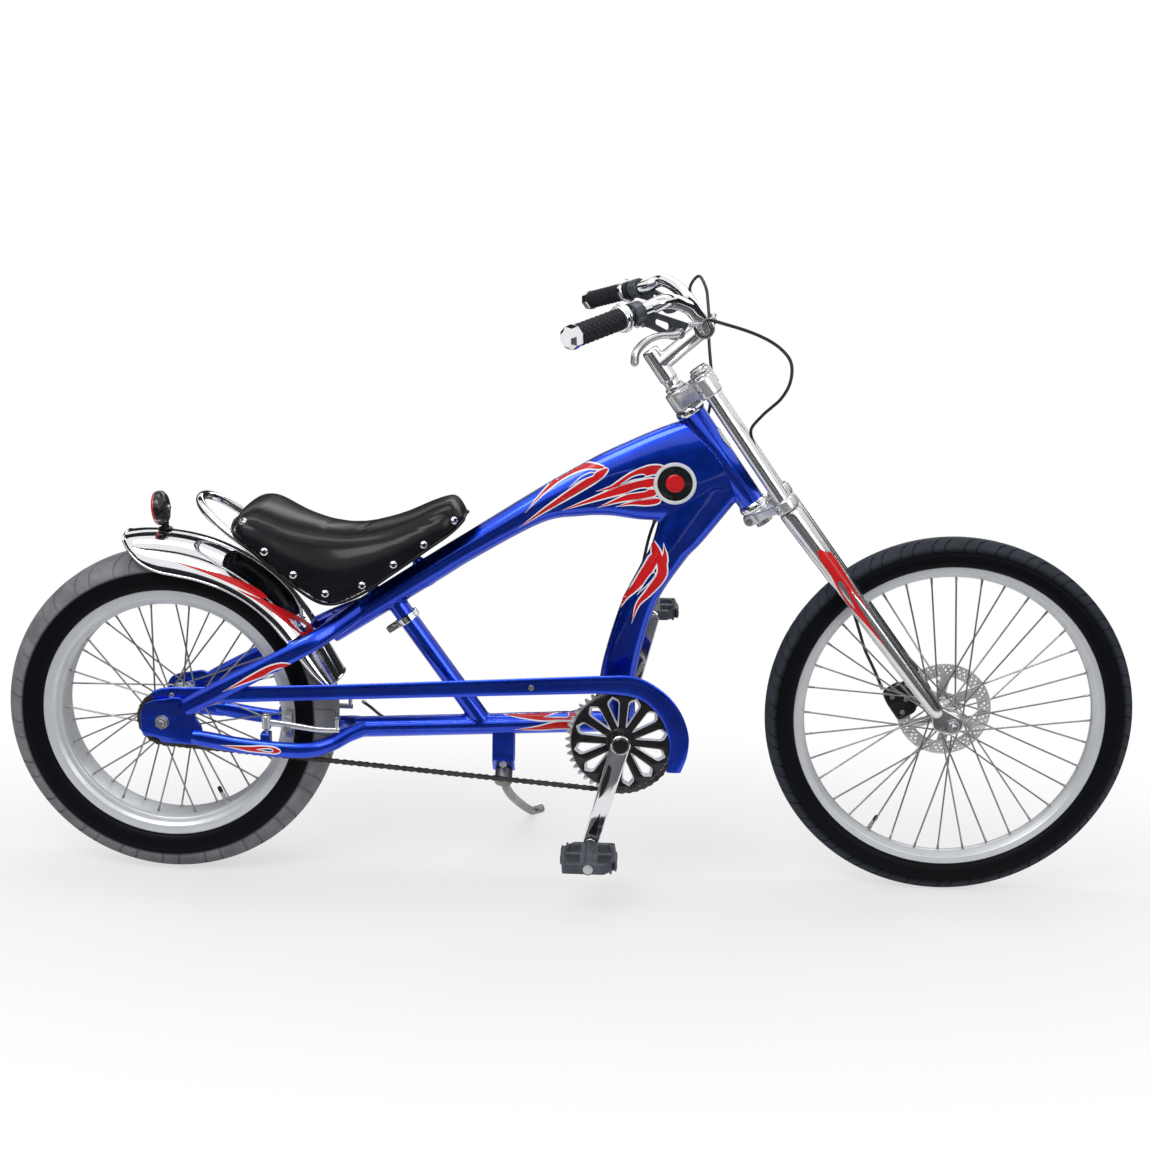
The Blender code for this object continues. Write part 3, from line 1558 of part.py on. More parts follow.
def build_fork_legs():
    for name, side in SIDES.items():
        y = side * LEG_SPACING / 2
        leg = fork_leg(f"fork_leg_{name}", side)
        stanchion = rod(
            "stanchion",
            steering(LEG_SET_FORWARD, y, LOWER_CROWN_BOTTOM - 0.02),
            steering(LEG_SET_FORWARD, y, UPPER_CROWN_TOP + SEAT_GAP + 0.001),
            STANCHION_RADIUS,
            "chrome",
            sides=12,
        )
        cap = rod(
            "cap",
            steering(LEG_SET_FORWARD, y, UPPER_CROWN_TOP + SEAT_GAP),
            steering(LEG_SET_FORWARD, y, UPPER_CROWN_TOP + STANCHION_CAP),
            0.0155,
            "chrome",
            sides=12,
        )
        inner = FORK_DROPOUT_GAP / 2
        outline = rounded_hull(
            [
                (0, 0, 0.0160),
                (DROPOUT_SET_FORWARD - FORK_OFFSET, 0.034, 0.0095),
                (DROPOUT_SET_FORWARD - FORK_OFFSET - 0.004, 0.012, 0.0150),
            ],
            20,
        )
        place = FRONT_AXLE + Y_AXIS * side * (inner + FORK_DROPOUT_THICKNESS / 2)
        facing = steering_facing() @ Matrix.Rotation(math.pi / 2, 4, "X")
        tip = plate(
            "dropout",
            outline,
            place,
            FORK_DROPOUT_THICKNESS,
            "chrome",
            [circle(FRONT_AXLE_RADIUS + SEAT_GAP, 12)],
            facing,
        )
        join(leg, stanchion, cap, tip)


BAR_ROUTE = (
    (0.2121, 0.022, 0.9464),
    (0.2070, 0.055, 0.9570),
    (0.1950, 0.100, 0.9750),
    (0.1780, 0.197, 0.9935),
    (0.1480, 0.290, 1.0060),
)
GRIP_START = (0.0904, 0.336, 0.986)
GRIP_WAY = (-0.6722, 0.7054, -0.2230)
BAR_MIDDLE = steering(STEM_REACH, 0, STEM_ARM_HEIGHT + 0.009)
BAR_SHIFT = BAR_MIDDLE - Vector((BAR_ROUTE[0][0], 0, BAR_ROUTE[0][2]))
BAR_IN_GRIP = GRIP_LENGTH - 0.014


def grip_frame(side):
    """Inner end of the grip and its direction on that side."""
    start = Vector(GRIP_START) + BAR_SHIFT
    way = Vector(GRIP_WAY).normalized()
    return Vector((start.x, start.y * side, start.z)), Vector((way.x, way.y * side, way.z))


def build_bar():
    start, way = grip_frame(1)
    half = [Vector(p) + BAR_SHIFT for p in BAR_ROUTE]
    left = smooth_path(half + [start - way * 0.046], 0.042) + [start + way * BAR_IN_GRIP]
    right = [Vector((p.x, -p.y, p.z)) for p in reversed(left)]
    tube("handlebar", right + left, BAR_RADIUS, "chrome", 2)


def build_grips():
    for name, side in SIDES.items():
        start, way = grip_frame(side)
        start = start + way * 0.006
        hole = BAR_RADIUS + SEAT_GAP
        end = GRIP_LENGTH - 0.006
        turned(
            f"grip_{name}",
            start,
            [
                (hole, 0.0),
                (GRIP_RADIUS + 0.0030, 0.0),
                (GRIP_RADIUS + 0.0045, 0.0030),
                (GRIP_RADIUS + 0.0030, 0.0080),
                (GRIP_RADIUS, 0.0085),
                (GRIP_RADIUS, end - 0.0160),
                (GRIP_RADIUS + 0.0008, end - 0.0155),
                (GRIP_RADIUS + 0.0008, end - 0.0030),
                (GRIP_RADIUS - 0.0040, end),
                (0.0, end),
                (0.0, BAR_IN_GRIP - 0.006 + SEAT_GAP * 2),
                (hole, BAR_IN_GRIP - 0.006 + SEAT_GAP * 2),
            ],
            "rubber",
            12,
            way,
        )


def build_stem():
    quill = turned(
        "stem",
        steering(0, 0, UPPER_CROWN_TOP),
        [
            (0.0, STEM_TOP - UPPER_CROWN_TOP),
            (0.0130, STEM_TOP - UPPER_CROWN_TOP),
            (0.0150, STEM_TOP - UPPER_CROWN_TOP - 0.003),
            (0.0150, STEM_TOP - UPPER_CROWN_TOP - 0.056),
            (0.0130, STEM_TOP - UPPER_CROWN_TOP - 0.060),
            (0.0125, 0.0090),
            (0.0165, 0.0075),
            (0.0165, 0.0010),
            (STEERER_BORE - SEAT_GAP, 0.0010),
            (STEERER_BORE - SEAT_GAP, -QUILL_DEPTH),
            (0.0, -QUILL_DEPTH),
        ],
        "chrome",
        14,
        STEER_UP,
    )
    arm_start = steering(0, 0, STEM_ARM_HEIGHT)
    arm = rod("arm", arm_start, BAR_MIDDLE, STEM_ARM_RADIUS, "chrome", sides=10)
    reach = Y_AXIS * STEM_CLAMP_WIDTH / 2
    clamp = rod("clamp", BAR_MIDDLE - reach, BAR_MIDDLE + reach, BAR_RADIUS + 0.0060, "chrome", sides=16)
    ahead = (BAR_MIDDLE - arm_start).normalized()
    lug_middle = BAR_MIDDLE + ahead * (BAR_RADIUS + 0.0080)
    lug = block("lug", lug_middle, (0.012, STEM_CLAMP_WIDTH * 0.7, 0.013), "chrome", 0.0, 0.0015)
    stem = join(quill, arm, clamp, lug)
    long_reach = Y_AXIS * STEM_CLAMP_WIDTH
    bore = rod(
        "bar_bore",
        BAR_MIDDLE - long_reach,
        BAR_MIDDLE + long_reach,
        BAR_RADIUS + SEAT_GAP,
        "chrome",
        sides=16,
    )
    cut(stem, bore)


# Brake levers. Places are (inboard from the perch's band, ahead, below) the line of the grip.
PERCH_BACK = 0.016
PERCH_THICKNESS = 0.0090
PERCH_AHEAD = 0.0060
PERCH_EDGE = (
    (-0.0080, -0.0040),
    (-0.0060, 0.0140),
    (0.0180, 0.0210),
    (0.0430, 0.0355),
    (0.0660, 0.0540),
    (0.0780, 0.0540),
    (0.1000, 0.0410),
    (0.0420, 0.0110),
    (0.0260, 0.0020),
    (0.0140, -0.0070),
)
PERCH_GAP = ((0.0340, 0.0195, 0.0028), (0.0560, 0.0325, 0.0042))
LEVER_PIVOT = (0.0660, 0.0100, 0.0465)
LEVER_PATH = (
    (0.0680, 0.0470),
    (0.0480, 0.0440),
    (0.0260, 0.0385),
    (0.0060, 0.0375),
    (-0.0120, 0.0410),
    (-0.0270, 0.0490),
    (-0.0320, 0.0620),
)
LEVER_AHEAD = 0.0190
LEVER_RADIUS = 0.0052
LEVER_PIN_RADIUS = 0.0024


def lever_axes(side):
    """The middle of the perch's band, with the outward, forward and downward directions there."""
    start, way = grip_frame(side)
    down = Vector((0, 0, -1))
    down = (down - way * down.dot(way)).normalized()
    ahead = down.cross(way) * side
    return start - way * PERCH_BACK, way, ahead, down


def near_grip(side, inboard, forward, below):
    origin, way, ahead, down = lever_axes(side)
    return origin - way * inboard + ahead * forward + down * below


def barrel_ends(side):
    return near_grip(side, 0.0880, PERCH_AHEAD, 0.0400), near_grip(side, 0.1180, PERCH_AHEAD, 0.0480)


def build_levers():
    for name, side in SIDES.items():
        origin, way, ahead, down = lever_axes(side)
        perch = turned(
            f"lever_perch_{name}",
            origin,
            [
                (BAR_RADIUS + SEAT_GAP * 3, 0.0095),
                (BAR_RADIUS + 0.0055, 0.0095),
                (BAR_RADIUS + 0.0055, -0.0095),
                (BAR_RADIUS + SEAT_GAP * 3, -0.0095),
            ],
            "grey_plastic",
            12,
            way,
        )
        facing = Matrix((-way, down, (-way).cross(down))).transposed().to_4x4()
        middle = origin + ahead * PERCH_AHEAD
        gap = rounded_hull(PERCH_GAP, 10)
        web = plate("web", PERCH_EDGE, middle, PERCH_THICKNESS, "grey_plastic", [gap], facing)
        reach = way * 0.05
        bar = rod("bar_bore", origin - reach, origin + reach, BAR_RADIUS + SEAT_GAP * 3, "chrome", sides=14)
        cut(web, bar)
        web = as_mesh(web)
        barrel = rod("barrel", *barrel_ends(side), 0.0038, "alloy", sides=8)
        pin_foot = near_grip(side, LEVER_PIVOT[0], PERCH_AHEAD, LEVER_PIVOT[2])
        pin_head = near_grip(side, LEVER_PIVOT[0], LEVER_AHEAD + 0.0058, LEVER_PIVOT[2])
        pin = rod("pin", pin_foot, pin_head, LEVER_PIN_RADIUS, "steel", sides=8)
        join(perch, web, barrel, pin)
        path = [near_grip(side, inboard, LEVER_AHEAD, below) for inboard, below in LEVER_PATH]
        lever = as_mesh(tube(f"brake_lever_{name}", path, LEVER_RADIUS, "alloy", 1))
        back = near_grip(side, LEVER_PIVOT[0], LEVER_AHEAD - LEVER_RADIUS * 0.8, LEVER_PIVOT[2])
        front = near_grip(side, LEVER_PIVOT[0], LEVER_AHEAD + LEVER_RADIUS * 0.9, LEVER_PIVOT[2])
        boss = rod("boss", back, front, 0.0078, "alloy", sides=10)
        reach = ahead * 0.004
        bore = rod("bore", back - reach, front + reach, LEVER_PIN_RADIUS + SEAT_GAP, "alloy", sides=8)
        cut(join(lever, boss), bore)


def build_caliper():
    """A disc caliper on the left leg, slotted for the rotor."""
    middle = steering(0.0216, 0.0420, 0.0515)
    facing_turn = -(math.pi / 2 - HEAD_ANGLE)
    body = block("brake_caliper", middle, (0.046, 0.022, 0.058), "black_paint", facing_turn, 0.004)
    bracket_middle = steering(0.0460, 0.0444, 0.0515)
    arm = block("bracket", bracket_middle, (0.030, 0.010, 0.050), "black_paint", facing_turn, 0.001)
    body = join(body, arm)
    slot_half = DISC_THICKNESS / 2 + 0.0009
    slot = rod(
        "slot",
        FRONT_AXLE + Y_AXIS * (DISC_OFFSET - slot_half),
        FRONT_AXLE + Y_AXIS * (DISC_OFFSET + slot_half),
        DISC_RADIUS + 0.002,
        "black_paint",
        sides=WHEEL_FACETS,
    )
    cut(body, slot, fork_leg("leg_bore", 1, SEAT_GAP))


# Kickstand
KICKSTAND_AXIS = Vector((0, 1, 1)).normalized()
KICKSTAND_PIVOT = BOTTOM_TUBE_START.lerp(BOTTOM_TUBE_END, 0.56) + Vector((0, 0.012, -0.0880))


# Points of the leg as (ahead of the pivot, to the left, above the ground)
KICKSTAND_ROUTE = (
    (0.002, 0.0400, 0.1400),
    (0.008, 0.1000, 0.1020),
    (0.021, 0.2000, 0.0480),
)
KICKSTAND_FOOT = ((0.033, 0.2680, 0.006), (0.038, 0.2860, 0.0), (0.054, 0.2960, 0.002))


def build_kickstand():
    """A plate under the bottom tube, and a leg that folds back about a slanting pin."""
    above = KICKSTAND_PIVOT + Vector((0, -0.012, 0.0350))
    bracket = block("kickstand_bracket", above, (0.038, 0.026, 0.100), "blue_paint", 0.0, 0.002)
    under = block("under", Vector((0, 0, -0.1)), (0.2, 0.2, 0.2), "blue_paint")
    facing = KICKSTAND_AXIS.to_track_quat("Z", "Y").to_matrix().to_4x4()
    under.matrix_world = Matrix.Translation(KICKSTAND_PIVOT + KICKSTAND_AXIS * TURN_GAP / 2) @ facing
    cut(bracket, bottom_tube_rod("tube_bore", SEAT_GAP), under)
    leg = rod(
        "kickstand_leg",
        KICKSTAND_PIVOT - KICKSTAND_AXIS * (TURN_GAP / 2),
        KICKSTAND_PIVOT - KICKSTAND_AXIS * 0.0250,
        0.0150,
        "chrome",
        sides=16,
    )
    start = KICKSTAND_PIVOT - KICKSTAND_AXIS * 0.0130
    ground = KICKSTAND_BAR_RADIUS - 0.0006
    route = [start]
    route += [Vector((start.x + x, y, z)) for x, y, z in KICKSTAND_ROUTE]
    route += [Vector((start.x + x, y, ground + z)) for x, y, z in KICKSTAND_FOOT]
    bar = as_mesh(tube("bar", smooth_path(route, 0.030), KICKSTAND_BAR_RADIUS, "chrome", 2))
    floor = block("floor", Vector((0, 0, -0.25)), (2.0, 2.0, 0.5), "chrome")
    cut(join(leg, bar), floor)


# Rear brake: a vertical pivot on each chain stay, arms running forward past the tyre
BRAKE_PIVOT = (0.1720, 0.0705, 0.0)
BRAKE_ARM_LENGTH = 0.122


def build_rear_brake():
    rim_face = REAR_RIM_WIDTH / 2 + BRAKE_PAD_GAP
    for name, side in SIDES.items():
        pivot = rear(BRAKE_PIVOT[0], side * BRAKE_PIVOT[1], BRAKE_PIVOT[2])
        arm = rod(
            f"brake_arm_{name}",
            pivot + Vector((0, 0, -0.0110)),
            pivot + Vector((0, 0, 0.0120)),
            BRAKE_PIVOT_RADIUS + 0.0030,
            "alloy",
            sides=12,
        )
        route = [
            pivot + Vector((0.002, 0, 0)),
            pivot + Vector((0.040, 0, -0.0040)),
            pivot + Vector((0.085, 0, -0.0100)),
            pivot + Vector((BRAKE_ARM_LENGTH, -side * 0.003, -0.0110)),
        ]
        stations = [(p, 0.0062 - 0.0006 * i, 0.0036) for i, p in enumerate(route)]
        blade = swept("blade", stations, "alloy", 2.4, 6)
        stub_foot = route[-1] + Vector((-0.004, 0, -0.002))
        stub = rod("stub", stub_foot, stub_foot + Vector((0, 0, 0.021)), 0.0034, "alloy", sides=8)
        radius = REAR_RIM_RADIUS - 0.0075
        pad_place = rear(radius, side * (rim_face + 0.0045), -0.0090)
        pad = block("pad", pad_place, (0.0100, 0.0090, 0.0440), "rubber")
        post_end = Vector((pad_place.x, side * (abs(pivot.y) + 0.0060), pad_place.z))
        post_start = Vector((pad_place.x, side * (rim_face + 0.0060), pad_place.z))
        post = rod("post", post_start, post_end, 0.0044, "alloy", sides=8)
        hole = rod(
            "bore",
            pivot + Vector((0, 0, -0.02)),
            pivot + Vector((0, 0, 0.02)),
            BRAKE_PIVOT_RADIUS + TURN_GAP,
            "alloy",
            sides=12,
        )
        cut(join(arm, blade, stub, post, pad), hole)


def add_brake_posts():
    """Pivot posts for the rear brake arms, part of the chain stays."""
    for name, side in SIDES.items():
        pivot = rear(BRAKE_PIVOT[0], side * BRAKE_PIVOT[1], BRAKE_PIVOT[2])
        stay = bpy.data.objects[f"chain_stay_{name}"]
        foot = Vector((pivot.x, pivot.y, REAR_AXLE.z - 0.0360))
        post = rod("post", foot, pivot + Vector((0, 0, 0.0120)), BRAKE_PIVOT_RADIUS, "steel", sides=12)
        shelf = block(
            "shelf",
            Vector((pivot.x, pivot.y + side * 0.005, REAR_AXLE.z - 0.0290)),
            (0.016, 0.022, 0.0340),
            "blue_paint",
            0.0,
            0.0010,
        )
        join(stay, shelf, post)


# Cables


# Cable routes, each stretch given from what it runs along
FRONT_CABLE_FROM_BAR = (
    (-0.0015, -0.2000, 0.0272),
    (0.0294, -0.1850, 0.0193),
    (0.0641, -0.1650, 0.0080),
    (0.0933, -0.1450, -0.0052),
    (0.1154, -0.1250, -0.0202),
    (0.1317, -0.1050, -0.0387),
    (0.1370, -0.0900, -0.0588),
    (0.1351, -0.0700, -0.0830),
    (0.1250, -0.0500, -0.1062),
    (0.0981, -0.0200, -0.1380),
)
# ahead of the steering axis, beside it, and above the underside of the lower crown
FRONT_CABLE_FROM_CROWN = (
    (0.0640, 0.0020, 0.1329),
    (0.0480, 0.0110, 0.0729),
    (*CABLE_HOLE, 0.0229),
    (*CABLE_HOLE, -0.0091),
    (0.0480, 0.0230, -0.0621),
    (0.0520, 0.0335, -0.1271),
    (0.0470, 0.0345, -0.1771),
)
# the same, above the front axle
FRONT_CABLE_FROM_AXLE = (
    (0.0354, 0.0345, 0.2207),
    (0.0186, 0.0345, 0.1625),
    (0.0127, 0.0370, 0.1235),
    (0.0060, 0.0395, 0.0860),
)
REAR_CABLE_FROM_BAR = (
    (-0.0190, 0.2050, 0.0534),
    (-0.0052, 0.1750, 0.0741),
    (0.0065, 0.1500, 0.0555),
    (0.0122, 0.1250, 0.0091),
    (0.0130, 0.1100, -0.0277),
)
REAR_CABLE_FROM_HEAD = (
    (-0.0198, 0.1000, 0.1440),
    (-0.0158, 0.0980, 0.1070),
    (-0.0208, 0.0840, 0.0640),
    (-0.0428, 0.0540, 0.0160),
    (-0.0638, 0.0300, -0.0210),
)
FRAME_CABLE_FROM_HEAD = (
    (-0.0788, 0.0285, -0.0460),
    (-0.1138, 0.0275, -0.1360),
    (-0.1338, 0.0265, -0.2360),
)
FRAME_CABLE_FROM_BRACKET = (
    (-0.0154, 0.0260, 0.1145),
    (-0.0554, 0.0250, 0.0345),
    (-0.1354, 0.0225, 0.0085),
    (-0.2254, 0.0218, 0.0025),
    (-0.3155, 0.0218, -0.0015),
)
FRAME_CABLE_FROM_AXLE = (
    (0.3602, 0.0235, -0.0168),
    (0.3301, 0.0360, -0.0008),
    (0.3142, 0.0560, 0.0022),
)


def moved(points, base):
    return [base + Vector(p) for p in points]


def lead_out(side):
    """First points of a cable, straight out of the adjuster on its lever."""
    inner_end, outer_end = barrel_ends(side)
    way = (outer_end - inner_end).normalized()
    return [outer_end + way * SEAT_GAP, outer_end + way * 0.010]


def build_cables():
    """Front cable to the disc caliper, and the rear one in two pieces that meet at the frame."""
    front = lead_out(-1) + moved(FRONT_CABLE_FROM_BAR, BAR_MIDDLE)
    front += [steering(x, y, LOWER_CROWN_BOTTOM + z) for x, y, z in FRONT_CABLE_FROM_CROWN]
    front += [steering(x, y, z) for x, y, z in FRONT_CABLE_FROM_AXLE]
    tube("front_brake_cable", smooth_path(front, 0.033), CABLE_RADIUS, "rubber", 1)
    fork = lead_out(1) + moved(REAR_CABLE_FROM_BAR, BAR_MIDDLE) + moved(REAR_CABLE_FROM_HEAD, HEAD_MIDDLE)
    tube("rear_brake_cable_front", smooth_path(fork, 0.033), CABLE_RADIUS, "rubber", 1)
    way = (fork[-1] - fork[-2]).normalized()
    frame = [fork[-1] + way * SEAT_GAP * 5] + moved(FRAME_CABLE_FROM_HEAD, HEAD_MIDDLE)
    frame += moved(FRAME_CABLE_FROM_BRACKET, BRACKET) + moved(FRAME_CABLE_FROM_AXLE, REAR_AXLE)
    tube("rear_brake_cable", smooth_path(frame, 0.045), CABLE_RADIUS, "rubber", 1)


def hang_pieces():
    """The moving pieces hang from markers on their joints' axes."""
    tilt = HEAD_ANGLE - math.pi / 2
    steering_axis = add_empty("steering_axis", HEAD_MIDDLE, tilt)
    hang(
        steering_axis,
        "upper_crown",
        "lower_crown",
        "steerer_tube",
        "fork_leg_right",
        "fork_leg_left",
        "stem",
        "handlebar",
        "grip_right",
        "grip_left",
        "lever_perch_right",
        "lever_perch_left",
        "brake_caliper",
        "front_axle",
        "front_brake_cable",
        "rear_brake_cable_front",
    )
    front_wheel = add_empty("front_wheel_axis", FRONT_AXLE)
    hang(front_wheel, "front_tyre", "front_rim", "front_spokes", "brake_rotor")
    rear_wheel = add_empty("rear_wheel_axis", REAR_AXLE)
    hang(rear_wheel, "rear_tyre", "rear_rim", "rear_spokes")
    freewheel = add_empty("freewheel_axis", REAR_AXLE + Y_AXIS * CHAIN_LINE)
    hang(freewheel, "rear_sprocket")
    crank_axis = add_empty("crank_axis", BRACKET)
    hang(crank_axis, "chainring", "chainring_disc", "crank_right", "crank_left")
    kickstand_axis = add_empty("kickstand_axis", KICKSTAND_PIVOT)
    hang(kickstand_axis, "kickstand_leg")
    for name, side in SIDES.items():
        pedal_axis = add_empty(f"pedal_axis_{name}", pedal_centre(side))
        hang(pedal_axis, f"pedal_{name}")
        lever_axis = add_empty(f"lever_axis_{name}", near_grip(side, *LEVER_PIVOT))
        hang(lever_axis, f"brake_lever_{name}")
        place = rear(BRAKE_PIVOT[0], side * BRAKE_PIVOT[1], BRAKE_PIVOT[2])
        arm_axis = add_empty(f"brake_arm_axis_{name}", place)
        hang(arm_axis, f"brake_arm_{name}")
        hang(crank_axis, f"pedal_axis_{name}")
        hang(steering_axis, f"lever_axis_{name}")
    hang(steering_axis, "front_wheel_axis")
    hang(rear_wheel, "freewheel_axis")


def build():
    clear_scene()
    build_tyres()
    build_rims()
    build_hubs()
    build_axles()
    build_brake_disc()
    build_main_frame()
    build_head_tube()
    build_bottom_bracket()
    build_bottom_tube()
    build_seat_strut()
    build_stays()
    build_chain_guard()
    build_rear_fender()
    build_reflector()
    build_saddle()
    build_saddle_rail()
    build_chain_wheels()
    build_petal_disc()
    build_chain()
    build_cranks()
    build_crowns()
    build_steerer()
    build_fork_legs()
    build_stem()
    build_bar()
    build_grips()
    build_levers()
    build_caliper()
    build_kickstand()
    build_rear_brake()
    add_brake_posts()
    build_cables()
    hang_pieces()


build()
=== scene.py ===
# Looks for the chopper bike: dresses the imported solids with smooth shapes, finishes, light and a camera.
from math import asin, atan2, ceil, copysign, cos, hypot, pi, radians, sin, sqrt

import bmesh
import bpy
import numpy as np
from mathutils import Matrix, Vector
from mathutils.bvhtree import BVHTree


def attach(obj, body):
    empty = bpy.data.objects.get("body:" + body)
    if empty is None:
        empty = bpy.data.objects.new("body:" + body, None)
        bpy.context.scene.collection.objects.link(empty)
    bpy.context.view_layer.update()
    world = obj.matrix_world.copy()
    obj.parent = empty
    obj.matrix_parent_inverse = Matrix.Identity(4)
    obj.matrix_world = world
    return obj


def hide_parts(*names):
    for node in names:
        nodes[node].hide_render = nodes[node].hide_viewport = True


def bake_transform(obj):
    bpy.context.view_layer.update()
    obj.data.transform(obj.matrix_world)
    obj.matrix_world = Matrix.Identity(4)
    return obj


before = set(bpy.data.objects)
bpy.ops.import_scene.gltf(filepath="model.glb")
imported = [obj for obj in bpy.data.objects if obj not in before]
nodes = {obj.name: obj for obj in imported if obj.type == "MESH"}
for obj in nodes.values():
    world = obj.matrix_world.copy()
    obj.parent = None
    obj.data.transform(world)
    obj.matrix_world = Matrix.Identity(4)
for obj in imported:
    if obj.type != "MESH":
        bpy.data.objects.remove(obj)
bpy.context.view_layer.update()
xAxis = Vector((1, 0, 0))
yAxis = Vector((0, 1, 0))
zAxis = Vector((0, 0, 1))
sides = {"right": -1, "left": 1}
print("frame loaded:", len(nodes), "nodes")


# Places, as in the part

places = {
    "frontTyreRadius": 0.3067,
    "rearTyreRadius": 0.2808,
    "wheelbase": 1.3144,
    "headAngle": radians(54.6),
    "forkOffset": 0.0737,
    "chainstay": 0.7656,
    "bracketHeight": 0.2655,
}
rearAxle = Vector((
    (places["rearTyreRadius"] - places["frontTyreRadius"] - places["wheelbase"]) / 2, 0,
    places["rearTyreRadius"],
))
frontAxle = Vector((rearAxle.x + places["wheelbase"], 0, places["frontTyreRadius"]))
bracket = Vector((rearAxle.x + places["chainstay"], 0, places["bracketHeight"]))
steerUp = Vector((-cos(places["headAngle"]), 0, sin(places["headAngle"])))
steerAhead = Vector((sin(places["headAngle"]), 0, cos(places["headAngle"])))
steerBase = frontAxle - steerAhead * places["forkOffset"]


def steering(ahead, side, up):
    return steerBase + steerAhead * ahead + yAxis * side + steerUp * up


def radial(angle):
    # a way in the upright plane, from ahead towards up
    return Vector((cos(angle), 0, sin(angle)))


def mirrored(point):
    return Vector((point.x, -point.y, point.z))


def polar(radius, angle):
    return radius * cos(angle), radius * sin(angle)


def fromRear(x, y, z):
    return rearAxle + Vector((x, y, z))


def between(start, end, share, rise):
    line = end - start
    return start + line * share + Vector((-line.z, 0, line.x)).normalized() * rise


headMiddle = steering(0, 0, 0.579)
topTubeStart = fromRear(0.2871, 0, 0.1542)
bottomTubeStart = fromRear(0.31, 0, -0.026)
bottomTubeEnd = bracket + Vector((0, 0, 0.0142))


# Shader wires

class Wire:
    def __init__(self, socket):
        self.socket = socket

    def maths(self, operation, *values):
        tree = self.socket.id_data
        node = tree.nodes.new("ShaderNodeMath")
        node.operation = operation
        for slot, value in zip(node.inputs, values):
            if isinstance(value, Wire):
                tree.links.new(value.socket, slot)
            else:
                slot.default_value = value
        return Wire(node.outputs[0])

    def __add__(self, other):
        return self.maths("ADD", self, other)

    def __radd__(self, other):
        return self.maths("ADD", other, self)

    def __sub__(self, other):
        return self.maths("SUBTRACT", self, other)

    def __rsub__(self, other):
        return self.maths("SUBTRACT", other, self)

    def __mul__(self, other):
        return self.maths("MULTIPLY", self, other)

    def __rmul__(self, other):
        return self.maths("MULTIPLY", other, self)


class Wiring:
    def __init__(self, tree):
        self.tree = tree

    def plug(self, node, slot, value):
        socket = node.inputs[slot]
        if isinstance(value, Wire):
            self.tree.links.new(value.socket, socket)
        elif hasattr(socket.default_value, "__len__") and len(socket.default_value) == 4:
            socket.default_value = (*value[:3], 1)
        else:
            socket.default_value = value

    def node(self, kind, settings=None, values=None, outlet=0):
        made = self.tree.nodes.new(kind)
        for key, value in (settings or {}).items():
            if key == "stops":
                ramp = made.color_ramp
                while len(ramp.elements) < len(value):
                    ramp.elements.new(0.5)
                for stop, (place, color) in zip(ramp.elements, value):
                    stop.position = place
                    stop.color = (*color, 1) if hasattr(color, "__len__") else (color, color, color, 1)
            else:
                setattr(made, key, value)
        for key, value in (values or {}).items():
            self.plug(made, key, value)
        return Wire(made.outputs[outlet])

    def place(self):
        return self.node("ShaderNodeTexCoord", outlet="Object")

    def noise(self, scale, detail, rough=0.5):
        values = {"Vector": self.place(), "Scale": scale, "Detail": detail, "Roughness": rough}
        return self.node("ShaderNodeTexNoise", None, values)

    def cells(self, scale, outlet):
        values = {"Vector": self.place(), "Scale": scale}
        return self.node("ShaderNodeTexVoronoi", {"feature": "F1"}, values, outlet)

    def vector(self, operation, *values):
        outlet = "Value" if operation == "LENGTH" else "Vector"
        settings = {"operation": operation}
        return self.node("ShaderNodeVectorMath", settings, dict(enumerate(values)), outlet)

    def ramp(self, value, stops):
        return self.node("ShaderNodeValToRGB", {"stops": stops}, {"Fac": value})

    def blend(self, share, first, second):
        return self.node("ShaderNodeMix", {"data_type": "RGBA"}, {0: share, 6: first, 7: second}, 2)

    def span(self, value, low, high, first, second):
        values = {"Value": value, "From Min": low, "From Max": high, "To Min": first, "To Max": second}
        return self.node("ShaderNodeMapRange", None, values)

    def bump(self, height, distance, strength, normal=None):
        values = {"Height": height, "Distance": distance, "Strength": strength}
        if normal:
            values["Normal"] = normal
        return self.node("ShaderNodeBump", None, values)

    def seen(self):
        # 1 for what the camera sees straight, in metal or through glass
        kinds = ("Camera", "Glossy", "Transmission")
        rays = [self.node("ShaderNodeLightPath", outlet="Is " + kind + " Ray") for kind in kinds]
        return rays[0].maths("MINIMUM", rays[0] + rays[1] + rays[2], 1.0)


class Finish(Wiring):
    def __init__(self, name, **constants):
        self.material = bpy.data.materials.new(name)
        self.material.use_nodes = True
        super().__init__(self.material.node_tree)
        self.shader = self.tree.nodes["Principled BSDF"]
        self.slot = None
        for key, value in constants.items():
            self.plug(self.shader, key.replace("_", " "), value)

    def put(self, slot, value):
        self.plug(self.shader, slot, value)


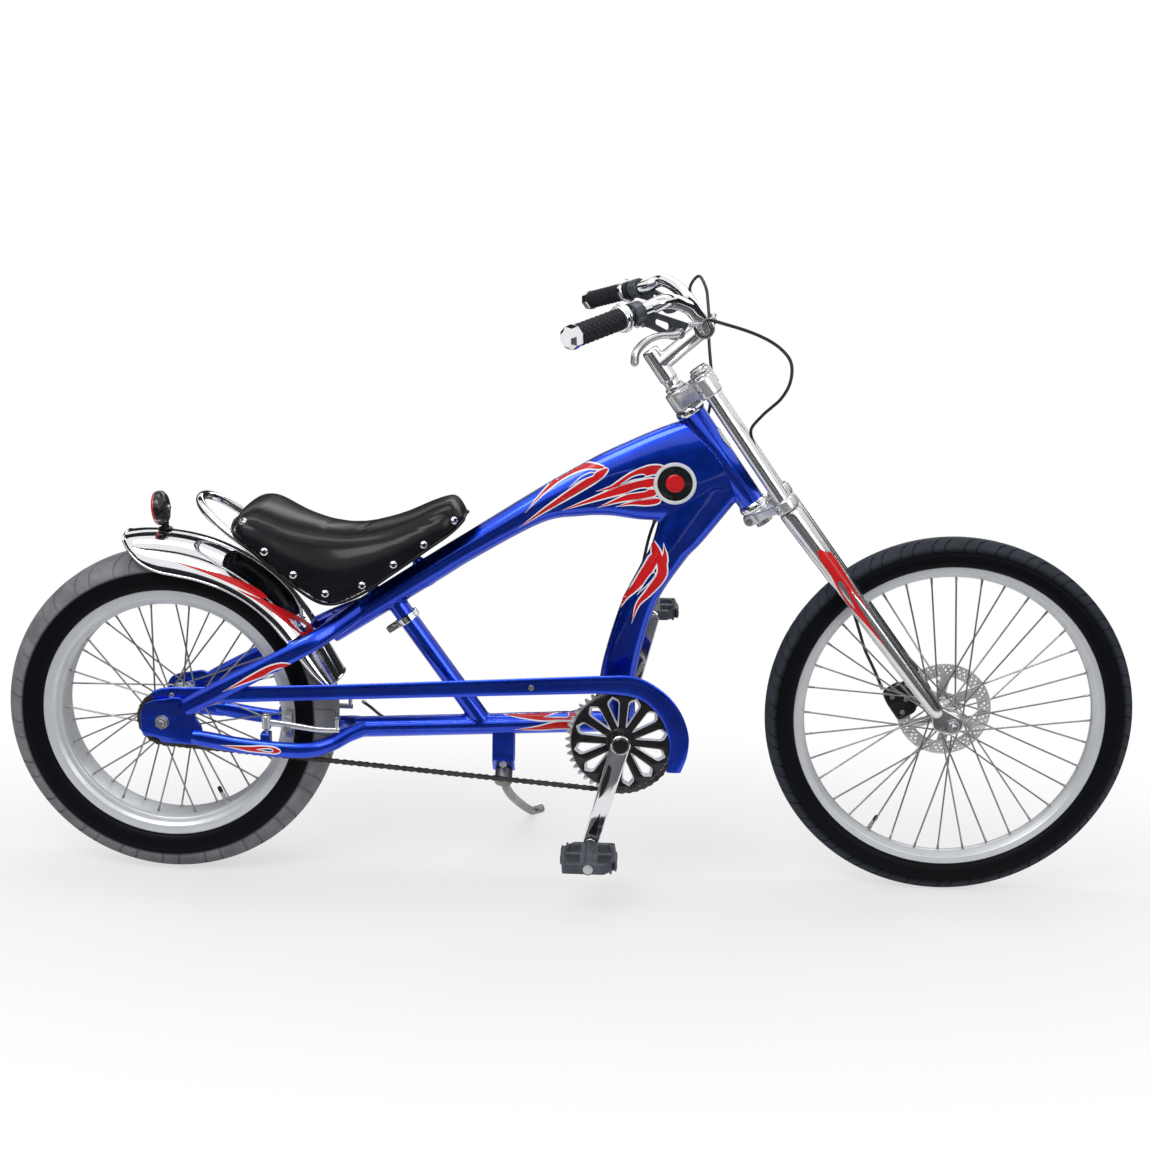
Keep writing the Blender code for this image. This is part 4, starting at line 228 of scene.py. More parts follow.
# name, tone, roughness and its spread, darkening by wear, metallic
metals = {
    "chrome": ("chrome", (0.83, 0.84, 0.86), 0.035, 0.07, 0.03, 1.0),
    "forkChrome": ("forkChrome", (0.78, 0.79, 0.8), 0.16, 0.08, 0.04, 1.0),
    "standSteel": ("standSteel", (0.26, 0.255, 0.24), 0.3, 0.2, 0.14, 1.0),
    "steel": ("steel", (0.6, 0.6, 0.6), 0.22, 0.2, 0.1, 1.0),
    "alloy": ("alloy", (0.72, 0.73, 0.75), 0.2, 0.16, 0.05, 0.75),
    "rim": ("rimAlloy", (0.68, 0.7, 0.73), 0.3, 0.14, 0.03, 0.35),
    "spoke": ("spokeSteel", (0.34, 0.34, 0.34), 0.3, 0.14, 0.08, 1.0),
    "chainSteel": ("chainSteel", (0.13, 0.118, 0.105), 0.34, 0.25, 0.2, 1.0),
    "rotorSteel": ("rotorSteel", (0.78, 0.78, 0.76), 0.28, 0.14, 0.08, 0.6),
    "bolt": ("boltSteel", (0.58, 0.58, 0.6), 0.24, 0.2, 0.1, 1.0),
}
# axle, radius where the paler tread is full and where it starts, tread tone: dusty worn rubber, made paler
# still as a painted sheen of sky light
rubbers = {
    "frontRubber": (frontAxle, 0.296, 0.288, (0.046, 0.053, 0.067)),
    "rearRubber": (rearAxle, 0.252, 0.247, (0.27, 0.276, 0.29)),
}
# name, (tone noise scale, detail, palest stop, dark and pale tone),
# (roughness noise scale, detail, low, high), (grain scale, depth, strength) and constants
plains = {
    "grip": (
        "gripRubber", (70, 4, 0.8, (0.007, 0.008, 0.01), (0.02, 0.022, 0.028)), (120, 4, 0.52, 0.72),
        (1500, 0.00008, 0.5), {"Specular_IOR_Level": 0.25},
    ),
    "sheath": (
        "cableSheath", (50, 3, 0.8, (0.008, 0.008, 0.009), (0.02, 0.02, 0.021)), (90, 3, 0.3, 0.45),
        None, {"Specular_IOR_Level": 0.5},
    ),
    "black": (
        "blackPaint", (40, 4, 0.8, (0.004, 0.004, 0.005), (0.012, 0.012, 0.013)), (80, 4, 0.25, 0.4),
        None, {"Specular_IOR_Level": 0.3, "Coat_Weight": 0.5, "Coat_Roughness": 0.06},
    ),
    "plastic": (
        "mouldedPlastic", (55, 5, 0.75, (0.036, 0.041, 0.052), (0.075, 0.083, 0.104)), (150, 4, 0.4, 0.6),
        (1200, 0.00006, 0.4), {"Specular_IOR_Level": 0.45},
    ),
    "perch": (
        "perchPaint", (45, 4, 0.75, (0.04, 0.044, 0.058), (0.085, 0.092, 0.115)), (150, 4, 0.3, 0.45),
        None, {"Metallic": 0.3},
    ),
}
# name, lacquer roughness, cell scale, tone in a cell's middle and at its edge, roughness at both
lenses = {
    "lens": ("redLens", 0.03, 330, (0.75, 0.02, 0.02), (0.32, 0.004, 0.006), 0.08, 0.22),
    "amber": ("amberLens", 0.04, 420, (0.95, 0.42, 0.1), (0.6, 0.16, 0.02), 0.1, 0.25),
}
# name and the two tones that it drifts between
enamels = {
    "red": ("redEnamel", (0.54, 0.006, 0.01), (0.66, 0.012, 0.016)),
    "white": ("whiteEnamel", (0.82, 0.84, 0.88), (0.9, 0.91, 0.93)),
    "badgeRim": ("badgeRim", (0.62, 0.64, 0.68), (0.72, 0.74, 0.77)),
    "badgeFace": ("badgeFace", (0.006, 0.006, 0.008), (0.014, 0.014, 0.016)),
}
slots = {
    "blue_paint": "blue",
    "chrome": "chrome forkChrome",
    "steel": "steel standSteel spoke chainSteel rotorSteel bolt",
    "alloy": "alloy rim",
    "tyre_rubber": "frontRubber rearRubber",
    "grip_rubber": "grip sheath",
    "leather": "leather",
    "black_paint": "black badgeFace",
    "grey_plastic": "plastic perch",
    "red_lens": "lens",
}


def bluePaint():
    # deep blue paint: fine metal flakes under clear lacquer
    deep, bright, flakeScale = (0.004, 0.022, 0.46), (0.012, 0.095, 0.9), 1500
    f = Finish("bluePaint", Metallic=1.0, Roughness=0.28, Coat_Weight=0.8, Coat_Roughness=0.05)
    sparkle = f.node("ShaderNodeSeparateColor", None, {"Color": f.cells(flakeScale, "Color")})
    tone = f.span(f.noise(9, 3), 0.3, 0.7, 0.25, 0.75) + (sparkle - 0.5) * 0.22
    f.put("Base Color", f.blend(tone, deep, bright))
    f.put("Roughness", f.span(f.noise(60, 4), 0.3, 0.8, 0.26, 0.36))
    return f


def metal(name, color, rough, spread, tint, metallic):
    f = Finish(name, Metallic=metallic)
    wear = f.noise(38, 5, 0.6)
    fine = f.noise(260, 3, 0.6)
    darker = tuple(c * (1 - tint * 3) for c in color)
    f.put("Base Color", f.blend(f.span(wear, 0.35, 0.75, 0.0, 1.0), color, darker))
    f.put("Roughness", f.span(wear * 0.6 + fine * 0.4, 0.3, 0.75, rough, rough + spread))
    f.put("Normal", f.bump(fine, 0.00002, 0.35))
    return f


def rubber(name, middle, dustSheenFullRadius, dustSheenStartRadius, treadDustSheenTone):
    # greyer and rougher on the tread that the road has worn; the grey is also a painted sheen, paler than the
    # wear alone, standing in for sky light on the tread
    f = Finish(name, Specular_IOR_Level=0.08)
    offset = f.vector("SUBTRACT", f.place(), tuple(middle))
    radius = f.vector("LENGTH", f.vector("MULTIPLY", offset, (1, 0, 1)))
    dustSheenReach = f.span(radius, dustSheenStartRadius, dustSheenFullRadius, 0.0, 1.0)
    patch = f.noise(26, 5, 0.62)
    grain = f.noise(900, 3, 0.6)
    # painted sheen: the tread's pale tone is dust and wear, lightened further to stand in for sky light on it
    dustAndSheen = dustSheenReach * f.span(patch, 0.2, 0.8, 0.45, 1.0)
    f.put("Base Color", f.blend(dustAndSheen, (0.0035, 0.004, 0.0055), treadDustSheenTone))
    f.put("Roughness", f.span(dustAndSheen + patch * 0.25, 0.0, 1.2, 0.4, 0.74))
    f.put("Normal", f.bump(grain, 0.00012, 0.5))
    return f


def leather():
    # pebbled grain with finer pores, paler and a little rougher where it is rubbed
    f = Finish("saddleLeather", Specular_IOR_Level=0.1, Coat_Weight=0.24, Coat_Roughness=0.17)
    pebble = f.node(
        "ShaderNodeTexVoronoi",
        {"feature": "SMOOTH_F1"},
        {"Vector": f.place(), "Scale": 520, "Smoothness": 0.6},
        outlet="Distance",
    )
    pores = f.noise(1600, 2)
    rubbed = f.noise(14, 4)
    dark, pale = (0.003, 0.0034, 0.0045), (0.007, 0.0078, 0.01)
    f.put("Base Color", f.blend(f.span(rubbed, 0.3, 0.7, 0.0, 1.0), dark, pale))
    f.put("Roughness", f.span(rubbed + pebble * 0.4, 0.3, 1.1, 0.26, 0.4))
    f.put("Normal", f.bump(pores, 0.00006, 0.4, f.bump(pebble, 0.00022, 0.45)))
    return f


def plain(name, tones, rough, grain, constants):
    f = Finish(name, **constants)
    scale, detail, palest, dark, pale = tones
    f.put("Base Color", f.ramp(f.noise(scale, detail), [(0.3, dark), (palest, pale)]))
    scale, detail, low, high = rough
    f.put("Roughness", f.span(f.noise(scale, detail), 0.3, 0.8, low, high))
    if grain:
        scale, depth, strength = grain
        f.put("Normal", f.bump(f.noise(scale, 2), depth, strength))
    return f


def lens(name, lacquer, scale, middle, edge, low, high):
    f = Finish(name, Coat_Weight=1.0, Coat_Roughness=lacquer)
    cells = f.cells(scale, "Distance")
    f.put("Base Color", f.ramp(cells, [(0.1, middle), (0.7, edge)]))
    f.put("Roughness", f.span(cells, 0.0, 0.8, low, high))
    return f


def enamel(name, first, second):
    f = Finish(name, Specular_IOR_Level=0.2, Coat_Weight=0.35, Coat_Roughness=0.05)
    f.put("Base Color", f.blend(f.span(f.noise(35, 4), 0.3, 0.7, 0.0, 1.0), first, second))
    f.put("Roughness", f.span(f.noise(90, 4), 0.3, 0.8, 0.22, 0.36))
    return f


finishes = {"blue": bluePaint()}
for key, values in metals.items():
    finishes[key] = metal(*values)
for key, values in rubbers.items():
    finishes[key] = rubber(key, *values)
finishes["leather"] = leather()
for make, table in ((plain, plains), (lens, lenses), (enamel, enamels)):
    for key, values in table.items():
        finishes[key] = make(*values)
for slot, names in slots.items():
    for key in names.split():
        finishes[key].slot = slot
print("finishes made:", len(finishes))


# Mesh tools

def placed(name, data):
    # an object of the data, in the scene
    made = bpy.data.objects.new(name, data)
    bpy.context.scene.collection.objects.link(made)
    return made


def evaluated(piece):
    return bpy.data.meshes.new_from_object(piece.evaluated_get(bpy.context.evaluated_depsgraph_get()))


def freed(name, bm):
    mesh = bpy.data.meshes.new(name)
    bm.to_mesh(mesh)
    bm.free()
    return mesh


def addPiece(name, mesh, look, body, stands=(), sharp=40):
    # mesh may be a list of meshes; look names the finishes of its slots, divided by blanks
    if isinstance(mesh, list):
        mesh = merged(name, mesh)
    looks = [finishes[key] for key in look.split()]
    piece = placed(name, mesh)
    for entry in looks:
        mesh.materials.append(entry.material)
    mesh.shade_smooth()
    if sharp:
        mesh.set_sharp_from_angle(angle=radians(sharp))
    if isinstance(body, str):
        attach(piece, body)
    else:
        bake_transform(piece)  # a piece that runs from one body to the next is left unattached
    if stands:
        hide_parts(*stands)
    return piece


def meshOf(name, bm):
    bmesh.ops.recalc_face_normals(bm, faces=bm.faces)
    return freed(name, bm)


def gridMesh(name, points, closeAround=True, closeAlong=False, caps=False):
    # rows of points skinned with quads; around is the second index
    rows = len(points)
    count = len(points[0])
    corners = np.array(points, float).reshape(-1, 3).tolist()
    faces = []
    for i in range(rows if closeAlong else rows - 1):
        n = (i + 1) % rows
        for k in range(count if closeAround else count - 1):
            m = (k + 1) % count
            faces.append((i * count + k, i * count + m, n * count + m, n * count + k))
    if caps:
        faces.append(tuple(reversed(range(count))))
        faces.append(tuple((rows - 1) * count + k for k in range(count)))
    bm = bmesh.new()
    mesh = bpy.data.meshes.new(name)
    mesh.from_pydata(corners, [], faces)
    bm.from_mesh(mesh)
    bpy.data.meshes.remove(mesh)
    if bm.calc_volume(signed=True) < 0:
        bmesh.ops.reverse_faces(bm, faces=bm.faces)
    return freed(name, bm)


def axisFrame(axis):
    # two directions square to the axis
    axis = Vector(axis).normalized()
    first = axis.cross(yAxis if abs(axis.y) < 0.9 else xAxis).normalized()
    return first, axis.cross(first)


def lathe(name, middle, profile, steps, axis=yAxis, closed=True):
    # profile of (radius, along); radius 0 at both ends makes a solid of revolution
    axis = Vector(axis).normalized()
    first, second = axisFrame(axis)
    core = profile[0][0] <= 1e-7 and profile[-1][0] <= 1e-7
    inner = profile[1:-1] if core else profile
    bm = bmesh.new()
    rings = []
    for radius, along in inner:
        ring = []
        for k in range(steps):
            a = 2 * pi * k / steps
            ring.append(bm.verts.new(middle + axis * along + (first * cos(a) + second * sin(a)) * radius))
        rings.append(ring)
    pairs = list(zip(rings, rings[1:]))
    if closed and not core:
        pairs.append((rings[-1], rings[0]))
    for one, other in pairs:
        for k in range(steps):
            m = (k + 1) % steps
            bm.faces.new((one[k], one[m], other[m], other[k]))
    if core:
        for ring, (radius, along) in ((rings[0], profile[0]), (rings[-1], profile[-1])):
            tip = bm.verts.new(middle + axis * along)
            for k in range(steps):
                bm.faces.new((ring[k], ring[(k + 1) % steps], tip))
    return meshOf(name, bm)


def rounded(points, radius, steps=3, closed=False):
    # the points with their corners rounded off; an open profile keeps its two ends
    result = []
    count = len(points)
    most = 0.48 if closed else 0.45
    for i, here in enumerate(points):
        here = Vector(here)
        if not closed and i in (0, count - 1):
            result.append(tuple(here))
            continue
        before = Vector(points[i - 1])
        after = Vector(points[(i + 1) % count])
        reach = min(radius, (before - here).length * most, (after - here).length * most)
        a = here + (before - here).normalized() * reach
        b = here + (after - here).normalized() * reach
        for k in range(steps + 1):
            t = k / steps
            result.append(tuple(a * (1 - t) ** 2 + here * 2 * t * (1 - t) + b * t * t))
    return result


def roundedLoop(points, radius, steps=3):
    return rounded(points, radius, steps, closed=True)


def bandProfile(inner, outer, half, across, along):
    # section of a band as (radius, along), the two outer corners cut by across and along
    side = [(inner, half), (outer - across, half), (outer, half - along)]
    return [(radius, -place) for radius, place in side] + side[::-1]


def finer(rows, pieces=0, step=0.0):
    # a table of numbers or points with Catmull-Rom rows added between its own
    rows = np.array(rows, float)
    ends = np.concatenate([[2 * rows[0] - rows[1]], rows, [2 * rows[-1] - rows[-2]]])
    result = []
    for a, b, c, d in zip(ends, ends[1:], ends[2:], ends[3:]):
        count = pieces or max(1, round(np.linalg.norm(c - b) / step))
        for t in np.arange(count) / count:
            result.append((
                b * 2 + (c - a) * t + (a * 2 - b * 5 + c * 4 - d) * t**2 + (b * 3 - a - c * 3 + d) * t**3
            ) / 2)
    return result + [rows[-1]]


def curveThrough(points, step):
    return [Vector(p) for p in finer(points, step=step)]


def ways(path):
    # the path's own way at each of its points
    last = len(path) - 1
    return [(path[min(i + 1, last)] - path[max(i - 1, 0)]).normalized() for i in range(last + 1)]


def tubeMesh(name, path, radius, count=20, radii=None, ends=True, soft=0.0):
    # a round tube along a path, its ends capped, with softened rims if asked
    path = [Vector(p) for p in path]
    widths = [radius] * len(path) if radii is None else list(radii)
    if soft:
        for at, toward in ((0, 1), (-1, -2)):
            way = (path[toward] - path[at]).normalized()
            base = path[at]
            extra = [
                (base, widths[at] - soft), (base + way * soft * 0.3, widths[at] - soft * 0.3),
                (base + way * soft, widths[at]),
            ]
            if at == 0:
                path[0:1] = [p for p, w in extra]
                widths[0:1] = [w for p, w in extra]
            else:
                path[-1:] = [p for p, w in reversed(extra)]
                widths[-1:] = [w for p, w in reversed(extra)]
    rows = []
    up = None
    for point, along, width in zip(path, ways(path), widths):
        if up is None:
            up = axisFrame(along)[0]
        up = (up - along * up.dot(along)).normalized()
        side = along.cross(up)
        rows.append([
            point + (up * cos(2 * pi * k / count) + side * sin(2 * pi * k / count)) * width
            for k in range(count)
        ])
    return gridMesh(name, rows, caps=ends)


def rodMesh(name, start, end, radius, count=24, endRadius=None, soft=0.0006):
    line = Vector(end) - Vector(start)
    last = radius if endRadius is None else endRadius
    length = line.length
    profile = [
        (0, 0), (radius - soft, 0), (radius, soft), (last, length - soft), (last - soft, length), (0, length)
    ]
    return lathe(name, Vector(start), profile, count, line)


def plateMesh(name, outline, facing, thickness, holes=(), bevel=0.0006, bevelSteps=2):
    # a flat outline in the facing matrix's plane, its rims bevelled
    curve = bpy.data.curves.new(name, "CURVE")
    curve.dimensions = "2D"
    curve.fill_mode = "BOTH"
    curve.extrude = thickness / 2 - bevel
    curve.bevel_depth = bevel
    curve.bevel_resolution = bevelSteps
    curve.offset = -bevel
    for loop in (outline, *holes):
        spline = curve.splines.new("POLY")
        spline.points.add(len(loop) - 1)
        spline.use_cyclic_u = True
        for i, (x, y) in enumerate(loop):
            spline.points[i].co = (x, y, 0, 1)
    holder = placed(name, curve)
    mesh = evaluated(holder)
    bpy.data.objects.remove(holder)
    bpy.data.curves.remove(curve)
    mesh.transform(facing)
    bm = bmesh.new()
    bm.from_mesh(mesh)
    bpy.data.meshes.remove(mesh)
    bmesh.ops.remove_doubles(bm, verts=bm.verts, dist=1e-6)
    return meshOf(name, bm)


def circleLoop(radius, count, middle=(0, 0), start=0.0):
    return [
        (
            middle[0] + radius * cos(start + 2 * pi * i / count),
            middle[1] + radius * sin(start + 2 * pi * i / count),
        )
        for i in range(count)
    ]


def hullLoop(circles, count=64):
    points = []
    for i in range(count):
        way = Vector((cos(2 * pi * i / count), sin(2 * pi * i / count)))
        x, y, radius = max(circles, key=lambda c: way.dot(Vector(c[:2])) + c[2])
        points.append((x + radius * way.x, y + radius * way.y))
    return points


def boxMesh(name, size, place, bevel=0.001, segments=2):
    bm = bmesh.new()
    bmesh.ops.create_cube(bm, size=1)
    bmesh.ops.scale(bm, vec=size, verts=bm.verts)
    if bevel:
        bmesh.ops.bevel(bm, geom=bm.edges[:], offset=bevel, segments=segments, affect="EDGES", profile=0.6)
    bmesh.ops.transform(bm, matrix=place, verts=bm.verts)
    return meshOf(name, bm)


def merged(name, meshes):
    # several meshes as one; a pair of mesh and number gives its finish slot, a mesh alone has the first
    bm = bmesh.new()
    for entry in meshes:
        mesh, slot = entry if isinstance(entry, tuple) else (entry, 0)
        first = len(bm.faces)
        bm.from_mesh(mesh)
        bm.faces.ensure_lookup_table()
        for face in bm.faces[first:]:
            face.material_index = slot
        bpy.data.meshes.remove(mesh)
    return freed(name, bm)


def boltMesh(name, place, way, radius, height, socket=True, count=6):
    # a hexagon head, or a round one with a hexagon socket
    way = Vector(way).normalized()
    profile = [(0, 0), (radius, 0), (radius, height * 0.75), (radius * 0.86, height), (0, height)]
    if socket:
        deep = height * 0.55
        inner = radius * 0.5
        profile = [
            (0, 0), (radius, 0), (radius, height * 0.8), (radius * 0.9, height), (inner, height),
            (inner, height - deep), (0, height - deep),
        ]
        return lathe(name, Vector(place), profile, 24, way)
    return lathe(name, Vector(place), profile, count, way)


def facingAlong(way, up=zAxis, middle=Vector((0, 0, 0))):
    # a plane that holds the way and the direction nearest to up
    way = Vector(way).normalized()
    up = Vector(up)
    up = (up - way * up.dot(way)).normalized()
    side = way.cross(up)
    matrix = Matrix((way, up, side)).transposed().to_4x4()
    matrix.translation = middle
    return matrix


uprightFacing = Matrix.Rotation(pi / 2, 4, "X")


def upright(middle):
    # the XZ plane, seen from the right side
    return Matrix.Translation(middle) @ uprightFacing


# Tyres with moulded tread

tyres = {
    "front": {
        "middle": frontAxle, "radius": 0.3067, "half": 0.027, "bead": 0.2587, "beadHalf": 0.0166,
        "crown": 0.0085,
        "edge": 0.2862, "sets": 35, "grooves": (0.0, 0.0212), "groove": 0.0028, "sweep": 0.03,
        "depth": 0.0022,
        "step": 0.0016, "mould": (0.42, 0.2),
    },
    "rear": {
        "middle": rearAxle, "radius": 0.2808, "half": 0.0525, "bead": 0.2141, "beadHalf": 0.0415,
        "crown": 0.019,
        "edge": 0.249, "sets": 22, "grooves": (0.0, 0.0305), "groove": 0.0034, "sweep": 0.036,
        "depth": 0.0022,
        "step": 0.0026, "mould": (0.36, 0.16),
    },
}


# slope of a groove's wall, widest column, narrowest split land, height of the moulded rings, dip at the edge
tread = {"slope": 0.0006, "column": 0.005, "narrow": 0.001, "ring": 0.0005, "edge": 0.0006}


def tyreSection(spec):
    # rows of (radius, y) from one bead over the crown to the other, and the way out of the rubber at each
    wall = spec["radius"] - spec["bead"]
    half = spec["half"]
    corners = [
        (spec["bead"], spec["beadHalf"]),
        (spec["bead"] + wall * 0.1, spec["beadHalf"] + (half - spec["beadHalf"]) * 0.62),
        (spec["radius"] - wall * 0.6, half), (spec["radius"] - wall * 0.34, half * 0.945),
        (spec["radius"] - wall * 0.13, half * 0.72), (spec["radius"] - wall * 0.025, half * 0.4),
        (spec["radius"], spec["crown"] * 0.35),
    ]
    path = np.array(finer(corners + [(r, -y) for r, y in reversed(corners)], step=spec["step"]))
    along = np.gradient(path, axis=0)
    out = np.stack([-along[:, 1], along[:, 0]], 1)
    out /= np.linalg.norm(out, axis=1)[:, None]
    if out[len(out) // 2, 0] < 0:
        out = -out
    return path, out


def buildTyre(which):
    spec = tyres[which]
    path, out = tyreSection(spec)
    top = spec["radius"]
    radius, across = path[:, 0], path[:, 1]
    travel = np.concatenate([[0], np.cumsum(np.linalg.norm(np.diff(path, axis=0), axis=1))])
    middleTravel = travel[-1] / 2
    treadRow = np.argmin(np.abs(radius[: len(radius) // 2] - spec["edge"]))
    reach = np.abs(travel - middleTravel) / (middleTravel - travel[treadRow])
    # columns follow the grooves, which start near the crown and run straight near the shoulder
    length = 2 * pi * top / spec["sets"]
    wall = spec["groove"] / 2 + tread["slope"]
    marks = []
    for groove in spec["grooves"]:
        middle = groove + wall
        marks += [
            (middle - wall, 0), (middle - spec["groove"] / 2, 1), (middle + spec["groove"] / 2, 1),
            (middle + wall, 0),
        ]
    marks.append((length, 0))
    columns = []
    for (here, deep), (after, _) in zip(marks, marks[1:]):
        wide = not deep and after - here > tread["narrow"]
        pieces = max(1, ceil((after - here) / tread["column"])) if wide else 1
        columns += [(here + (after - here) * k / pieces, deep if k == 0 else 0) for k in range(pieces)]
    place = np.concatenate([np.array([c[0] for c in columns]) + length * i for i in range(spec["sets"])])
    deep = np.tile([c[1] for c in columns], spec["sets"])
    inward = np.clip(1 - reach, 0, 1)
    slide = spec["sweep"] * inward**2 + np.clip((across / spec["half"]) * 3, -1, 1) * length / 4
    angle = (place[:, None] - slide[None]) / top
    fade = np.clip((reach - 0.1) / 0.05, 0, 1) * np.clip((1.0 - reach) / 0.04, 0, 1)
    cut = deep[:, None] * fade[None] * spec["depth"]
    # the tread's edge stands a little proud of the sidewall, which carries two low moulded rings
    share = (radius - spec["bead"]) / (top - spec["bead"])
    lift = np.zeros_like(share)
    for level in spec["mould"]:
        lift += tread["ring"] * np.clip(1 - np.abs(share - level) / 0.03, 0, 1)
    lift -= tread["edge"] * np.clip(1 - np.abs(reach - 1.05) / 0.05, 0, 1)
    depth = cut - lift[None]
    r = np.minimum(radius[None] - depth * out[:, 0][None], top)
    y = across[None] - depth * out[:, 1][None]
    middle = spec["middle"]
    points = np.stack([middle.x + r * np.cos(angle), middle.y + y, middle.z + r * np.sin(angle)], -1)
    mesh = gridMesh(which + "Tyre", points, closeAlong=True)
    addPiece(which + "TyreMoulded", mesh, which + "Rubber", which + "_wheel", [which + "_tyre"], sharp=55)


for which in tyres:
    buildTyre(which)
print("tyres moulded")


# Rims, spokes, hubs and the disc

rims = {
    "front": {
        "middle": frontAxle,
        "profile": [
            (0.2584, 0.0158), (0.26, 0.0166), (0.2598, 0.0174), (0.2572, 0.0174), (0.249, 0.0172),
            (0.2476, 0.016), (0.242, 0.0092), (0.2405, 0.0052),
        ],
    },
    "rear": {
        "middle": rearAxle,
        "profile": [
            (0.214, 0.0405), (0.2156, 0.0418), (0.215, 0.043), (0.212, 0.0432), (0.2014, 0.0424),
            (0.1996, 0.0408), (0.1958, 0.0382), (0.1915, 0.0312), (0.19, 0.03), (0.1882, 0.0268),
            (0.1875, 0.02),
        ],
    },
}


def buildRim(which):
    spec = rims[which]
    half = rounded(spec["profile"], 0.0012, 2)
    profile = half + [(radius, -along) for radius, along in reversed(half)]
    mesh = lathe(which + "Rim", spec["middle"], profile, 216)
    addPiece(which + "RimTurned", mesh, "rim", which + "_wheel", [which + "_rim"], sharp=35)


lacing = {
    "front": {
        "middle": frontAxle, "flange": 0.024, "flanges": (-0.033, 0.029), "rim": 0.2405,
        "offsets": (-0.0035, 0.0035),
        "wire": 0.0015,
    },
    "rear": {
        "middle": rearAxle, "flange": 0.028, "flanges": (-0.044, 0.056), "rim": 0.1875,
        "offsets": (-0.014, 0.014),
        "wire": 0.0015,
    },
}


def buildSpokes(which):
    spec = lacing[which]
    perFlange, crossings = 18, 3
    wrap = 2 * pi * crossings / perFlange * 0.96
    parts = []
    middle = spec["middle"]
    for k, flange in enumerate(spec["flanges"]):
        for i in range(perFlange):
            leads = 1 if i % 2 else -1
            angle = 2 * pi * (i + k / 2) / perFlange
            hubAngle = angle + leads * wrap
            reach = spec["flange"] - 0.003
            lift = leads * 0.0023
            start = Vector((reach * cos(hubAngle), flange + lift, reach * sin(hubAngle)))
            out = radial(angle)
            end = out * (spec["rim"] + 0.0004)
            end.y = spec["offsets"][k]
            line = (end - start).normalized()
            bends = [start - yAxis * lift * 1.9, start - yAxis * lift * 0.4]
            bends += [start + line * 0.0022, start + line * 0.012]
            path = [middle + p for p in bends]
            path += [middle + start + (end - start) * share for share in (0.35, 0.7, 0.955)]
            parts.append(tubeMesh("wire", path, spec["wire"], 8))
            head = [(0, -0.0007), (0.0018, -0.0004), (0.0018, 0.0004), (0, 0.0007)]
            parts.append(lathe("head", middle + start - yAxis * lift * 1.9, head, 10))
            nippleFoot = middle + start + (end - start) * 0.945
            parts.append(
                rodMesh("nipple", nippleFoot, middle + end + out * 0.001, 0.0017, 10, 0.0022, 0.0003)
            )
    addPiece(which + "SpokesLaced", parts, "spoke", which + "_wheel", [which + "_spokes"], sharp=45)


def buildHub(which):
    spec = lacing[which]
    right, left = spec["flanges"]
    flange = spec["flange"]
    if which == "front":
        profile = [
            (0.0056, -0.0495), (0.0092, -0.0495), (0.01, -0.048), (0.011, -0.046), (0.0125, right - 0.006),
            (0.016, right - 0.0032), (flange, right - 0.0022), (flange, right + 0.0022),
            (0.0165, right + 0.0032), (0.013, right + 0.0085), (0.0126, 0.0), (0.013, left - 0.0085),
            (0.0165, left - 0.0032), (flange, left - 0.0022), (flange, left + 0.0022),
            (0.0172, left + 0.0032), (0.017, 0.0352), (0.01, 0.0354), (0.0095, 0.0495), (0.0056, 0.0495),
        ]
    else:
        profile = [
            (0.0061, -0.078), (0.0095, -0.078), (0.0098, -0.0745), (0.015, -0.0742), (0.015, -0.052),
            (0.019, right - 0.003), (flange, right - 0.0024), (flange, right + 0.0024),
            (0.02, right + 0.0034), (0.0165, right + 0.01), (0.016, 0.006), (0.0165, left - 0.01),
            (0.02, left - 0.0034), (flange, left - 0.0024), (flange, left + 0.0024), (0.0185, left + 0.0034),
            (0.018, 0.0695), (0.0098, 0.07), (0.0095, 0.078), (0.0061, 0.078),
        ]
    mesh = lathe(which + "Hub", spec["middle"], rounded(profile, 0.0007, 2), 64)
    addPiece(which + "HubTurned", mesh, "alloy", which + "_wheel", sharp=35)


def buildAxle(which, radius, nutFace, end):
    middle = frontAxle if which == "front" else rearAxle
    parts = [lathe("axle", middle, [
        (0, -end), (radius * 0.8, -end), (radius, -end + 0.0012), (radius, end - 0.0012),
        (radius * 0.8, end), (0, end),
    ], 28)]
    for side in (-1, 1):
        way = yAxis * side
        face = middle + way * (nutFace + 0.0003)
        parts.append(lathe("washer", face, [
            (radius, 0), (radius * 2.15, 0), (radius * 2.15, 0.0013), (radius, 0.0013),
        ], 36, way))
        nut = [
            (radius, 0.0013), (radius * 1.95, 0.0013), (radius * 1.95, 0.0088), (radius * 1.75, 0.01),
            (radius, 0.01),
        ]
        parts.append(lathe("nut", face, nut, 6, way))
        for k in range(5):
            ridge = nutFace + 0.0112 + k * 0.0016
            if ridge < end - 0.0015:
                parts.append(lathe("thread", middle + way * ridge, [
                    (radius, -0.0004), (radius + 0.00035, 0), (radius, 0.0004)
                ], 24, way))
    body = "fork" if which == "front" else "frame"
    addPiece(which + "AxleNuts", parts, "bolt", body, [which + "_axle"], sharp=30)


rotor = {"radius": 0.08, "inner": 0.011, "thick": 0.002, "arms": 6, "offset": 0.0365}


